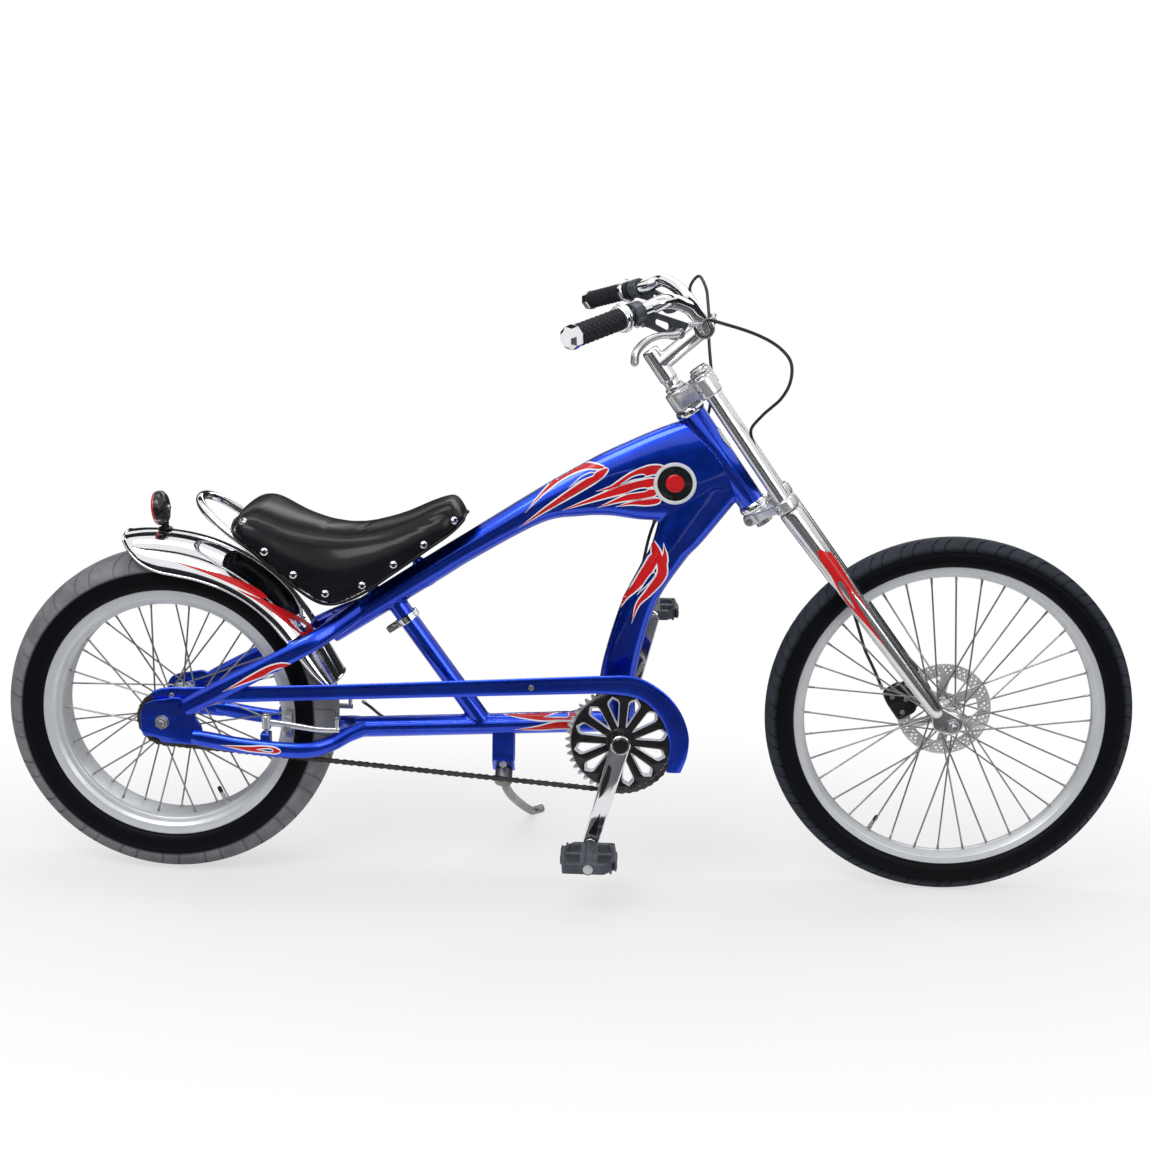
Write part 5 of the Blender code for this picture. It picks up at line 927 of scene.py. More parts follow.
def buildRotor():
    place = upright(frontAxle + yAxis * rotor["offset"])
    holes = [circleLoop(rotor["inner"], 32)]
    arms = rotor["arms"]
    for i in range(arms):
        middle = 2 * pi * i / arms
        outer = [(0.0575, middle - 0.38 + 0.76 * k / 9) for k in range(10)]
        low = [(0.03, middle + 0.24 + 0.2 - 0.48 * k / 5) for k in range(6)]
        loop = [polar(r, a) for r, a in outer + low]
        holes.append(roundedLoop(loop, 0.0035, 3))
        holes.append(circleLoop(0.0024, 12, polar(0.0205, middle)))
    for i in range(36):
        angle = 2 * pi * i / 36
        for k, radius in enumerate((0.064, 0.0695, 0.0748)):
            spin = angle + k * 0.055 - (0.045 if i % 2 else 0.0)
            holes.append(circleLoop(0.0019 if k == 1 else 0.0015, 8, polar(radius, spin)))
    mesh = plateMesh(
        "rotor", circleLoop(rotor["radius"], 144), place, rotor["thick"], holes, bevel=0.0002, bevelSteps=1
    )
    addPiece("brakeRotorDrilled", mesh, "rotorSteel", "front_wheel", ["brake_rotor"], sharp=30)
    bolts = []
    for i in range(6):
        a = 2 * pi * (i + 0.5) / 6
        spot = frontAxle + Vector((0.0168 * cos(a), rotor["offset"] + 0.001, 0.0168 * sin(a)))
        bolts.append(boltMesh("bolt", spot, yAxis, 0.003, 0.0022))
    addPiece("rotorBolts", bolts, "bolt", "front_wheel", sharp=30)


def buildValve(which, angle):
    spec = rims[which]
    inner = spec["profile"][-1][0]
    out = radial(angle)
    foot = spec["middle"] + out * (inner + 0.002)
    parts = [
        lathe("stem", foot, [(0, 0), (0.004, 0), (0.0036, 0.01), (0.003, 0.02), (0, 0.02)], 16, -out),
        (
            lathe("cap", foot - out * 0.02, [
                (0, 0), (0.0034, 0), (0.0036, 0.008), (0.0024, 0.011), (0, 0.011),
            ], 14, -out),
            1,
        ),
    ]
    addPiece(which + "Valve", parts, "bolt grip", which + "_wheel", sharp=35)


for which in rims:
    buildRim(which)
    buildSpokes(which)
    buildHub(which)
buildAxle("front", 0.005, 0.057, 0.077)
buildAxle("rear", 0.0055, 0.0855, 0.098)
buildRotor()
buildValve("front", radians(239.7))
buildValve("rear", radians(296.3))
print("wheels built")


# Frame

frameForm = {
    "tube": 0.0212, "bottomTube": 0.018, "strut": 0.0165, "lug": 0.009, "webFace": 0.0205, "voxel": 0.002,
    "softening": 7,
    "headBore": 0.0223, "bracketBore": 0.0238, "weld": 0.0002,
    # backbone: share and rise of the top edge, share and rise of the under edge, width share, squareness
    "backbone": [
        (-0.03, 0.0188, -0.026, -0.0245, 1.0, 2.0), (0.0, 0.0217, 0.004, -0.0217, 1.0, 2.0),
        (0.25, 0.0464, 0.254, 0.0014, 1.0, 2.0), (0.385, 0.0587, 0.37, 0.0125, 1.02, 2.0),
        (0.58, 0.0765, 0.55, 0.0215, 1.08, 2.2), (0.686, 0.0835, 0.64, 0.0055, 1.1, 2.4),
        (0.751, 0.0872, 0.705, -0.0136, 1.11, 2.5), (0.864, 0.0874, 0.78, -0.045, 1.11, 2.6),
        (0.93, 0.085, 0.9, -0.078, 1.1, 2.6), (0.978, 0.08, 1.026, -0.077, 1.02, 2.4),
    ],
    "downTube": [
        (0.93, -0.056, 0.86, 0.07, 1.02, 2.3), (0.7165, -0.019, 0.66, 0.06, 1.04, 2.3),
        (0.6321, -0.0017, 0.5654, 0.0658, 1.02, 2.3), (0.4478, 0.0185, 0.4004, 0.0745, 1.0, 2.3),
        (0.1975, 0.0082, 0.1565, 0.0657, 0.98, 2.3), (0.08, -0.011, 0.05, 0.037, 0.98, 2.3),
        (0.014, -0.0214, -0.014, 0.0214, 0.98, 2.3),
    ],
    "web": [
        (0.59, 0.042), (0.68, 0.0525), (0.755, 0.0525), (0.842, 0.038), (0.89, 0.015), (0.893, -0.014),
        (0.84, -0.043), (0.785, -0.072), (0.77, -0.105), (0.64, -0.06), (0.54, -0.01), (0.56, 0.025),
    ],
    "lugs": [(0.108, 0.052), (0.238, 0.052)],
}
strutTop = between(topTubeStart, headMiddle, 0.145, 0.005)
strutFoot = bottomTubeStart.lerp(bottomTubeEnd, 0.487)


def superRing(middle, up, side, squareness=2.0, count=48):
    points = []
    for i in range(count):
        angle = 2 * pi * (i + 0.5) / count
        c = cos(angle)
        s = sin(angle)
        a = copysign(abs(c) ** (2 / squareness), c)
        b = copysign(abs(s) ** (2 / squareness), s)
        points.append(middle + up * a + side * b)
    return points


def spineMesh(name, table, start, end, count=48, pieces=6):
    # a tube whose two edges are given along the line from start to end
    rings = []
    for over, overRise, under, underRise, width, squareness in finer(table, pieces):
        top = between(start, end, over, overRise)
        bottom = between(start, end, under, underRise)
        rings.append(superRing(
            (top + bottom) / 2, (top - bottom) / 2, yAxis * frameForm["tube"] * width, squareness, count
        ))
    return gridMesh(name, rings, caps=True)


def sweptMesh(name, stations, squareness=2.2, count=32, pieces=6):
    # stations of (point, half height, half width)
    rows = finer([(*p, h, w) for p, h, w in stations], pieces)
    rings = []
    for row, along in zip(rows, ways([Vector(row[:3]) for row in rows])):
        side = (yAxis - along * along.y).normalized()
        rings.append(superRing(Vector(row[:3]), along.cross(side) * row[3], side * row[4], squareness, count))
    return gridMesh(name, rings, caps=True)


def reshaped(mesh, steps, cutters=()):
    # the mesh after a list of (modifier, settings), then cut by the given meshes
    holder = placed("holder", mesh)
    tools = [placed("cutter", cutter) for cutter in cutters]
    cuts = [("BOOLEAN", {"operation": "DIFFERENCE", "solver": "EXACT", "object": tool}) for tool in tools]
    for kind, settings in [*steps, *cuts]:
        modifier = holder.modifiers.new(kind.title(), kind)
        for key, value in settings.items():
            setattr(modifier, key, value)
    bpy.context.view_layer.update()
    made = evaluated(holder)
    for used in (holder, *tools):
        bpy.data.objects.remove(used)
    return made


def insideDistance(loop, x, z):
    # how far each point lies inside a closed outline, less than nothing outside it
    near = np.full(len(x), 9.0)
    inside = np.zeros(len(x), bool)
    for (x0, z0), (x1, z1) in zip(loop, loop[1:] + loop[:1]):
        dx, dz = x1 - x0, z1 - z0
        t = np.clip(((x - x0) * dx + (z - z0) * dz) / (dx * dx + dz * dz), 0, 1)
        near = np.minimum(near, np.hypot(x - x0 - t * dx, z - z0 - t * dz))
        crosses = (z0 > z) != (z1 > z)
        inside ^= crosses & (x < x0 + dx * (z - z0) / (dz if dz else 1e-9))
    return np.where(inside, near, -near)


def pressWeb(mesh):
    corners = [between(topTubeStart, headMiddle, *p) for p in frameForm["web"]]
    loop = roundedLoop([(p.x, p.z) for p in corners], 0.02, 6)
    co = np.empty(len(mesh.vertices) * 3)
    mesh.vertices.foreach_get("co", co)
    co = co.reshape(-1, 3)
    share = np.clip((insideDistance(loop, co[:, 0], co[:, 2]) + 0.0022) / 0.005, 0, 1)
    share = share * share * (3 - 2 * share)
    limit = frameForm["webFace"] * share + 0.03 * (1 - share)
    limit = np.where(share > 0, np.minimum(limit, frameForm["webFace"] + (1 - share) * 0.0032), 1.0)
    co[:, 1] = np.sign(co[:, 1]) * np.minimum(np.abs(co[:, 1]), limit)
    mesh.vertices.foreach_set("co", co.ravel())
    mesh.update()


def buildMainFrame():
    parts = [
        spineMesh("backbone", frameForm["backbone"], topTubeStart, headMiddle),
        spineMesh("downTube", frameForm["downTube"], bracket, headMiddle),
        rodMesh("bottomTube", bottomTubeStart, bottomTubeEnd, frameForm["bottomTube"], 40, soft=0.002),
        rodMesh("strut", strutTop, strutFoot, frameForm["strut"], 40),
    ]
    for share, height in frameForm["lugs"]:
        foot = between(topTubeStart, headMiddle, share, 0.0)
        parts.append(
            rodMesh("lug", foot, between(topTubeStart, headMiddle, share, height), frameForm["lug"], 24)
        )
    steps = [
        ("REMESH", {"mode": "VOXEL", "voxel_size": frameForm["voxel"] * 1}),
        ("SMOOTH", {"factor": 0.5, "iterations": frameForm["softening"]}),
    ]
    mesh = reshaped(merged("welded", parts), steps)
    pressWeb(mesh)
    bores = [
        rodMesh("headBore", steering(0, 0, 0.46), steering(0, 0, 0.7), frameForm["headBore"], 48),
        rodMesh("bracketBore", bracket - yAxis * 0.07, bracket + yAxis * 0.07, frameForm["bracketBore"], 48),
    ]
    mesh = reshaped(mesh, [], bores)
    bm = bmesh.new()
    bm.from_mesh(mesh)
    bmesh.ops.remove_doubles(bm, verts=bm.verts, dist=frameForm["weld"])
    bmesh.ops.dissolve_degenerate(bm, edges=bm.edges, dist=frameForm["weld"])
    return addPiece(
        "mainFrameWelded", meshOf("mainFrame", bm), "blue", "frame",
        ["main_frame", "bottom_tube", "seat_strut"], sharp=None,
    )


def buildHeadParts():
    profile = bandProfile(0.0175, 0.022, 0.088, 0.0008, 0.001)
    addPiece(
        "headTubeTurned", lathe("headTube", headMiddle, profile, 72, steerUp), "blue", "frame", ["head_tube"]
    )
    for name, low, high in (("Lower", 0.4777, 0.4907), ("Upper", 0.6673, 0.6803)):
        middle = (high - low) / 2
        edge = [
            (0.015, -middle), (0.0228, -middle), (0.0236, -middle * 0.8), (0.025, -middle * 0.35),
            (0.025, middle * 0.35), (0.0236, middle * 0.8), (0.0228, middle), (0.015, middle),
        ]
        mesh = lathe("cup", steering(0, 0, (low + high) / 2), rounded(edge, 0.0006), 64, steerUp)
        addPiece("headset" + name, mesh, "chrome", "frame", ["headset_" + name.lower() + "_cup"])
    # bare curved name plate held by two rivets
    rows = []
    for i in range(9):
        up = 0.606 + 0.036 * (i / 8 - 0.5)
        narrow = 1.0 - 0.28 * abs(i / 8 - 0.5) ** 2 * 4
        outer = [steering(0.023 * cos(a), 0.023 * sin(a), up) for a in np.linspace(-0.62, 0.62, 17) * narrow]
        inner = [
            steering(0.0221 * cos(a), 0.0221 * sin(a), up) for a in np.linspace(0.62, -0.62, 17) * narrow
        ]
        rows.append(outer + inner)
    parts = [gridMesh("plate", rows, caps=True)]
    for up in (0.592, 0.62):
        parts.append(boltMesh("rivet", steering(0.0226, 0, up), steerAhead, 0.0018, 0.0011, False, 14))
    addPiece("headPlateBare", parts, "alloy", "frame")
    shell = lathe("shell", bracket, bandProfile(0.0091, 0.0235, 0.05, 0.001, 0.001), 64)
    addPiece("bracketShell", shell, "blue", "frame", ["bottom_bracket_shell"])
    cups = []
    for side in (-1, 1):
        ring = [
            (0.0091, 0.0), (0.0205, 0.0), (0.0205, 0.003), (0.019, 0.0045), (0.013, 0.0052), (0.0091, 0.0052)
        ]
        cups.append(lathe("cup", bracket + yAxis * side * 0.0502, ring, 48, yAxis * side))
    addPiece("bracketCups", cups, "steel", "frame")


seatStay = [
    (0.038, 1.0, 0.0225), (0.0534, 1.0, 0.0329), (0.1607, 1.0, 0.0916), (0.235, 0.97, 0.133),
    (0.275, 0.72, 0.156), (0.302, 0.4, 0.172), (0.323, 0.12, 0.185),
]
chainStay = [
    (0.05, 1.0, -0.024), (0.0686, 1.0, -0.0279), (0.13, 1.0, -0.0373), (0.1966, 0.99, -0.0431),
    (0.245, 0.9, -0.0445), (0.278, 0.68, -0.0385), (0.302, 0.4, -0.03), (0.33, 0.1, -0.0245),
]
dropout = [
    (-0.0366, 0.006), (-0.035, 0.02), (-0.028, 0.031), (-0.014, 0.0365), (0.0281, 0.0435), (0.048, 0.033),
    (0.0548, 0.0088), (0.066, -0.008), (0.066, -0.04), (0.0309, -0.0376), (-0.0015, -0.0365),
    (-0.01, -0.028), (-0.0302, -0.0251), (-0.0363, -0.0185),
]
staySpacing = 0.169


def stayStations(route, side, high, wide):
    stations = []
    for i, (x, share, z) in enumerate(route):
        stations.append(
            (fromRear(x, side * share * staySpacing / 2, z), high * (0.8 if i == 0 else 1.0), wide)
        )
    return stations


brakePost = {
    "ahead": 0.172, "out": 0.0705, "rimWidth": 0.0865, "gap": 0.002, "rimRadius": 0.2138, "below": 0.0075
}


def brakePivot(side):
    return fromRear(brakePost["ahead"], side * brakePost["out"], 0)


def buildStays():
    built = {}
    for name, side in sides.items():
        plate = plateMesh(
            "dropout", roundedLoop(dropout, 0.006, 4), upright(rearAxle + yAxis * side * 0.082), 0.007,
            [circleLoop(0.0058, 24)], bevel=0.0012,
        )
        addPiece("dropout" + name.title(), plate, "blue", "frame", ["dropout_" + name], sharp=35)
        mesh = sweptMesh("stay", stayStations(seatStay, side, 0.0155, 0.0078), 2.2, 36)
        built["seat" + name] = addPiece(
            "seatStay" + name.title(), mesh, "blue", "frame", ["seat_stay_" + name]
        )
        mesh = sweptMesh("stay", stayStations(chainStay, side, 0.0135, 0.0078), 2.2, 36)
        built["chain" + name] = addPiece(
            "chainStay" + name.title(), mesh, "blue", "frame", ["chain_stay_" + name]
        )
        pivot = brakePivot(side)
        boss = [
            (rodMesh("post", pivot - zAxis * 0.03, pivot + zAxis * 0.012, 0.0045, 24), 1),
            boxMesh(
                "shelf", (0.016, 0.022, 0.03), Matrix.Translation(pivot + Vector((0, side * 0.005, -0.031))),
                0.0022, 3,
            ),
            (boltMesh("bolt", pivot + zAxis * 0.0122, zAxis, 0.0062, 0.0034), 1),
        ]
        addPiece("brakePost" + name.title(), boss, "blue bolt", "frame")
    return built


guardRear = [
    ((-0.02, 0.044), (-0.02, 0.0405)), ((-0.015, 0.0505), (-0.013, 0.034)),
    ((0.0085, 0.057), (0.0085, 0.03)), ((0.068, 0.059), (0.068, 0.031)), ((0.2965, 0.0705), (0.296, 0.044)),
]
guardHook = [
    ((-0.0955, 0.11), (-0.0955, 0.08)), ((-0.0337, 0.1135), (-0.0337, 0.0825)),
    ((0.0224, 0.1135), (0.01, 0.08)), ((0.067, 0.0905), (0.04, 0.069)), ((0.096, 0.058), (0.066, 0.041)),
    ((0.112, 0.017), (0.08, 0.006)), ((0.111, -0.02), (0.081, -0.021)), ((0.101, -0.05), (0.077, -0.05)),
]


guard = {"side": -0.074, "half": 0.0027}


def buildGuard():
    table = []
    for base, rows in ((rearAxle, guardRear), (bracket, guardHook)):
        for (ux, uz), (lx, lz) in rows:
            table.append((base.x + ux, base.z + uz, base.x + lx, base.z + lz))
    rings = []
    for ux, uz, lx, lz in finer(table, 6):
        top, bottom = Vector((ux, guard["side"], uz)), Vector((lx, guard["side"], lz))
        rings.append(superRing((top + bottom) / 2, (top - bottom) / 2, yAxis * guard["half"], 2.0, 40))
    addPiece(
        "chainGuardPressed", gridMesh("guard", rings, caps=True), "blue", "frame", ["chain_guard"], sharp=60
    )
    # screws hold the guard to the stay and the tube
    parts = []
    for spot in (fromRear(0.015, 0, 0.0435), Vector((bracket.x - 0.15, 0, bracket.z + 0.0905))):
        face = Vector((spot.x, guard["side"] - guard["half"] - 0.0001, spot.z))
        parts.append(boltMesh("screw", face, -yAxis, 0.0046, 0.0022))
    addPiece("guardScrews", parts, "bolt", "frame", sharp=30)


def buildClampBand():
    down = (strutFoot - strutTop).normalized()
    middle = strutTop + down * 0.04
    edge = bandProfile(0.0172, 0.021, 0.0062, 0.0008, 0.0012)
    back = Vector((down.z, 0, -down.x))
    place = facingAlong(back, down, middle + back * 0.0265)
    parts = [
        lathe("band", middle, edge, 56, down),
        boxMesh("ear", (0.027, 0.0118, 0.005), place @ Matrix.Translation((0, 0, 0.0042)), 0.0014),
        boxMesh("ear", (0.027, 0.0118, 0.005), place @ Matrix.Translation((0, 0, -0.0042)), 0.0014),
        (
            rodMesh(
                "bolt", middle + back * 0.029 - yAxis * 0.0115, middle + back * 0.029 + yAxis * 0.0115,
                0.003, 20,
            ),
            1,
        ),
        (boltMesh("head", middle + back * 0.029 - yAxis * 0.0072, -yAxis, 0.0052, 0.0052), 1),
        (boltMesh("nut", middle + back * 0.029 + yAxis * 0.0072, yAxis, 0.0052, 0.0042, False), 1),
    ]
    addPiece("seatClampBand", parts, "chrome bolt", "frame", ["seat_clamp_band"], sharp=30)


mainFrame = buildMainFrame()
buildHeadParts()
stays = buildStays()
buildGuard()
buildClampBand()
print("frame built")


# Rear fender, reflector, saddle and its rail

fender = {
    "middle": (-0.0247, 0.0031), "radius": 0.3075, "half": 0.0695, "sheet": 0.0016, "roll": 0.0021,
    # angle, width share, drop of the skirts
    "arch": [
        (98.7, 0.5, 0.012), (96.0, 0.8, 0.026), (92.0, 0.95, 0.044), (86.0, 1.0, 0.056), (78.0, 1.0, 0.058),
        (70.0, 1.0, 0.055), (60.0, 1.0, 0.05), (50.0, 1.0, 0.045), (40.0, 1.0, 0.041), (29.0, 0.98, 0.037),
    ],
    "tongue": [(0.035, 0.93, 0.033), (0.07, 0.88, 0.028), (0.095, 0.82, 0.022)],
}


def buildFender():
    centre = fromRear(fender["middle"][0], 0, fender["middle"][1])
    table = []
    for degrees, width, drop in fender["arch"]:
        out = radial(radians(degrees))
        crown = centre + out * fender["radius"]
        table.append((crown.x, crown.z, out.x, out.z, width, drop))
    last, way = crown, out
    for distance, width, drop in fender["tongue"]:
        crown = last + Vector((way.z, 0, -way.x)) * distance
        table.append((crown.x, crown.z, way.x, way.z, width, drop))
    across = 40
    rows = []
    for x, z, ox, oz, width, drop in finer(table, 8):
        out = Vector((ox, 0, oz)).normalized()
        row = []
        for i in range(across + 1):
            a = pi * (i / across - 0.5)
            row.append(
                Vector((x, 0, z)) + yAxis * fender["half"] * width * sin(a) - out * drop * (1 - cos(a))
            )
        rows.append(row)
    sheet = gridMesh("fender", rows, closeAround=False)
    solid = reshaped(sheet, [("SOLIDIFY", {"thickness": fender["sheet"], "offset": 0})])
    edge = [row[0] for row in rows] + rows[-1][1:-1] + [row[-1] for row in reversed(rows)] + rows[0][-2:0:-1]
    edge.append(edge[0])
    parts = [solid, tubeMesh("roll", edge, fender["roll"], 12, ends=False)]
    return addPiece("rearFenderRolled", parts, "chrome", "frame", ["rear_fender"], sharp=50)


reflector = {"angle": 88.5, "radius": 0.029}


def buildReflector():
    centre = fromRear(fender["middle"][0], 0, fender["middle"][1])
    a = radians(reflector["angle"])
    foot = centre + radial(a) * (fender["radius"] + fender["sheet"] / 2)
    big = reflector["radius"]
    back = foot + Vector((0.003, 0, big + 0.0065))
    ahead = Vector((1, 0, 0.1)).normalized()
    profile = [
        (0, -0.003), (big - 0.003, -0.003), (big - 0.003, -0.005), (big, -0.005), (big, 0.004),
        (big - 0.006, 0.0096), (big - 0.016, 0.0122), (0, 0.0126),
    ]
    top = back + ahead * 0.006
    low = Vector((top.x, 0, foot.z + 0.0003))
    parts = [
        lathe("housing", back, rounded(profile, 0.0018), 56, ahead),
        rodMesh("stalk", low, top, 0.0062, 28),
        lathe("pad", low, [(0, 0), (0.0125, 0), (0.0125, 0.0016), (0.01, 0.0034), (0, 0.0034)], 36, zAxis),
        (boltMesh("screw", back + ahead * 0.0126, ahead, 0.0048, 0.003, False, 20), 1),
    ]
    addPiece("reflectorHousing", parts, "black bolt", "frame", ["tail_reflector_housing"])
    # the lens is a shallow dome; its finish draws the small prisms
    rings = [
        (0, 0.0006), (big - 0.0008, 0.0006), (big - 0.001, -0.0052), (big - 0.004, -0.0072),
        (big * 0.6, -0.0082), (0, -0.0086),
    ]
    addPiece(
        "reflectorLens", lathe("lens", back - ahead * 0.003, rounded(rings, 0.002), 56, ahead), "lens",
        "frame", ["tail_reflector_lens"],
    )


saddleForm = {
    # x, top height, rim height and half width, from the rear axle
    "stations": [
        (0.1205, 0.344, 0.337, 0.045), (0.124, 0.35, 0.33, 0.076), (0.14, 0.368, 0.318, 0.113),
        (0.172, 0.3715, 0.295, 0.121), (0.227, 0.348, 0.246, 0.113), (0.278, 0.335, 0.214, 0.104),
        (0.33, 0.334, 0.226, 0.096), (0.39, 0.348, 0.266, 0.089), (0.445, 0.374, 0.305, 0.08),
        (0.478, 0.383, 0.328, 0.068), (0.496, 0.366, 0.344, 0.044), (0.4985, 0.36, 0.35, 0.024),
    ],
    "pad": 0.04, "voxel": 0.0045, "pressure": 4.0, "stiffness": 30, "frames": 20, "cap": 0.006,
    "shrink": 0.004,
    "studs": [
        (-0.5216, 0.6296), (-0.4853, 0.5829), (-0.4404, 0.5444), (-0.3903, 0.5125), (-0.3314, 0.5258),
        (-0.2808, 0.5604), (-0.2321, 0.5931), (-0.1854, 0.6304),
    ],
    "stud": 0.0068,
}


def saddleRings():
    rings = []
    for x, top, rim, width in finer(saddleForm["stations"], 6):
        under = max(rim + 0.001, top - saddleForm["pad"])
        wall = min(0.022, width * 0.4)
        deep = top - rim
        half = [
            (0.0, top), (width * 0.2, top - deep * 0.004), (width * 0.4, top - deep * 0.022),
            (width * 0.58, top - deep * 0.062), (width * 0.74, top - deep * 0.13),
            (width * 0.87, top - deep * 0.235), (width * 0.955, top - deep * 0.37),
            (width * 0.992, top - deep * 0.53), (width, top - deep * 0.7),
            (width * 0.998, top - deep * 0.86), (width * 0.992, rim + deep * 0.03), (width - 0.0035, rim),
            (width - 0.0075, rim + deep * 0.02), (width - wall, rim + deep * 0.1), (width * 0.55, under),
            (0.0, under),
        ]
        points = half + [(-y, z) for y, z in reversed(half[1:-1])]
        rings.append([fromRear(x, y, z) for y, z in points])
    return rings


def puffed(mesh, spec):
    # cloth over a closed skin a little too small, blown up by pressure, its under side held
    steps = [
        ("REMESH", {"mode": "VOXEL", "voxel_size": spec["voxel"]}),
        ("SMOOTH", {"factor": 0.5, "iterations": 6}),
    ]
    mesh = reshaped(mesh, steps)
    before = np.array([v.co for v in mesh.vertices])
    normals = np.array([v.normal for v in mesh.vertices])
    rows = np.array(spec["stations"])
    rim = np.interp(before[:, 0] - rearAxle.x, rows[:, 0], rows[:, 2]) + rearAxle.z
    top = np.interp(before[:, 0] - rearAxle.x, rows[:, 0], rows[:, 1]) + rearAxle.z
    height = (before[:, 2] - rim) / (top - rim + 1e-6)
    free = np.clip(height * 2.2 - 0.5, 0, 1) * np.clip(normals[:, 2] * 3 + 1.6, 0, 1)
    start = before - normals * (free * spec["shrink"])[:, None]
    mesh.vertices.foreach_set("co", start.ravel())
    holder = placed("cushion", mesh)
    held = holder.vertex_groups.new(name="held")
    for i, share in enumerate(free):
        held.add([i], float(1 - share), "REPLACE")
    cloth = holder.modifiers.new("Cloth", "CLOTH")
    settings = cloth.settings
    settings.use_pressure = True
    settings.uniform_pressure_force = spec["pressure"]
    settings.effector_weights.gravity = 0
    settings.vertex_group_mass = "held"
    settings.tension_stiffness = spec["stiffness"]
    settings.compression_stiffness = spec["stiffness"]
    for step in range(1, spec["frames"] + 1):
        bpy.context.scene.frame_set(step)
    blown = evaluated(holder)
    after = np.array([v.co for v in blown.vertices])
    bpy.context.scene.frame_set(1)
    bpy.data.objects.remove(holder)
    bpy.data.meshes.remove(blown)
    move = after - start
    length = np.linalg.norm(move, axis=1)[:, None]
    start = start + move * np.minimum(1, spec["cap"] / np.maximum(length, 1e-9))
    mesh = bpy.data.meshes[mesh.name]
    mesh.vertices.foreach_set("co", start.ravel())
    mesh.update()
    return reshaped(mesh, [
        ("SMOOTH", {"factor": 0.5, "iterations": 4}), ("SUBSURF", {"levels": 1, "render_levels": 1})
    ])


def struck(tree, x, z, side):
    # the place and normal where a line from that side first meets the piece
    spot, normal, _, _ = tree.ray_cast(Vector((x, side * 0.4, z)), -yAxis * side)
    return spot, normal


def treeOf(piece):
    mesh = piece.data
    return BVHTree.FromPolygons([v.co for v in mesh.vertices], [p.vertices for p in mesh.polygons])


def buildSaddle():
    mesh = puffed(gridMesh("saddle", saddleRings(), caps=True), saddleForm)
    seat = addPiece("saddlePad", mesh, "leather", "frame", ["saddle"], sharp=None)
    tree = treeOf(seat)
    # binding sewn along the lower edge
    table = finer(saddleForm["stations"], 6)
    edge = [fromRear(x, width * 0.994 - 0.0012, rim + 0.0005) for x, _, rim, width in table]
    loop = edge + [mirrored(p) for p in reversed(edge)]
    loop = [Vector(p) for p in finer([*loop, loop[0]], step=0.006)]
    addPiece(
        "saddleBinding", tubeMesh("binding", loop, 0.0026, 12, ends=False), "leather", "frame", sharp=None
    )
    domes = []
    for x, z in saddleForm["studs"]:
        for side in (-1, 1):
            spot, normal = struck(tree, x, z, side)
            if spot is None:
                continue
            big = saddleForm["stud"]
            collar = [
                (0, -0.002), (big, -0.002), (big, 0.0008), (big * 0.86, 0.0022), (big * 0.55, 0.0034),
                (big * 0.5, 0.003), (0, 0.003),
            ]
            domes.append(lathe("stud", spot, collar, 28, normal))
            domes.append((
                lathe("socket", spot + normal * 0.003, [
                    (0, -0.001), (big * 0.4, -0.001), (big * 0.4, 0.0008), (0, 0.0008),
                ], 6, normal),
                1,
            ))
    addPiece("saddleStuds", domes, "chrome black", "frame", sharp=35)


rail = {
    "radius": 0.0073,
    "route": [
        (0.285, 0.018, 0.201), (0.274, 0.045, 0.208), (0.256, 0.068, 0.222), (0.2341, 0.077, 0.237),
        (0.1695, 0.079, 0.286), (0.1211, 0.077, 0.32), (0.084, 0.062, 0.348), (0.063, 0.035, 0.364),
        (0.0565, 0.0, 0.369),
    ],
}


def buildRail():
    half = [fromRear(*p) for p in rail["route"]]
    path = curveThrough(half + [mirrored(p) for p in reversed(half[:-1])], 0.006)
    addPiece("saddleRailBent", tubeMesh("rail", path, rail["radius"], 28), "chrome", "frame", ["saddle_rail"])


fenderPiece = buildFender()
buildReflector()
buildSaddle()
buildRail()
print("fender and saddle built")


# Chain drive

drive = {
    "pitch": 0.0127, "line": -0.064, "ringTeeth": 44, "sprocketTeeth": 22, "toothThick": 0.0024,
    "ringHole": 0.077, "petal": 0.0832, "windows": 12, "firstWindow": radians(101.6),
    "crank": 0.182, "crankTurn": radians(15.0), "crankSide": 0.085, "crankThick": 0.0125,
}
ringRadius = drive["pitch"] / (2 * sin(pi / drive["ringTeeth"]))
sprocketRadius = drive["pitch"] / (2 * sin(pi / drive["sprocketTeeth"]))


def toothedLoop(teeth, pitchRadius):
    loop = []
    pitch = 2 * pi / teeth
    for i in range(teeth):
        for radius, share in (
            (pitchRadius - 0.0036, -0.5), (pitchRadius - 0.003, -0.34), (pitchRadius + 0.0006, -0.24),
            (pitchRadius + 0.004, -0.09), (pitchRadius + 0.004, 0.09), (pitchRadius + 0.0006, 0.24),
            (pitchRadius - 0.003, 0.34),
        ):
            loop.append(polar(radius, pitch * (i + share)))
    return loop


def kite(share, angle):
    half = [(0.03, 0.0018), (0.066, 0.0102), (0.0712, 0.0092)]
    corners = [(0.025, 0.0)] + half + [(0.079, 0.0)] + [(r, -side) for r, side in reversed(half)]
    loop = []
    for radius, side in roundedLoop(corners, 0.0012, 3):
        r = 0.056 + (radius - 0.056) * share
        s = side * share
        loop.append((r * cos(angle) - s * sin(angle), r * sin(angle) + s * cos(angle)))
    return loop


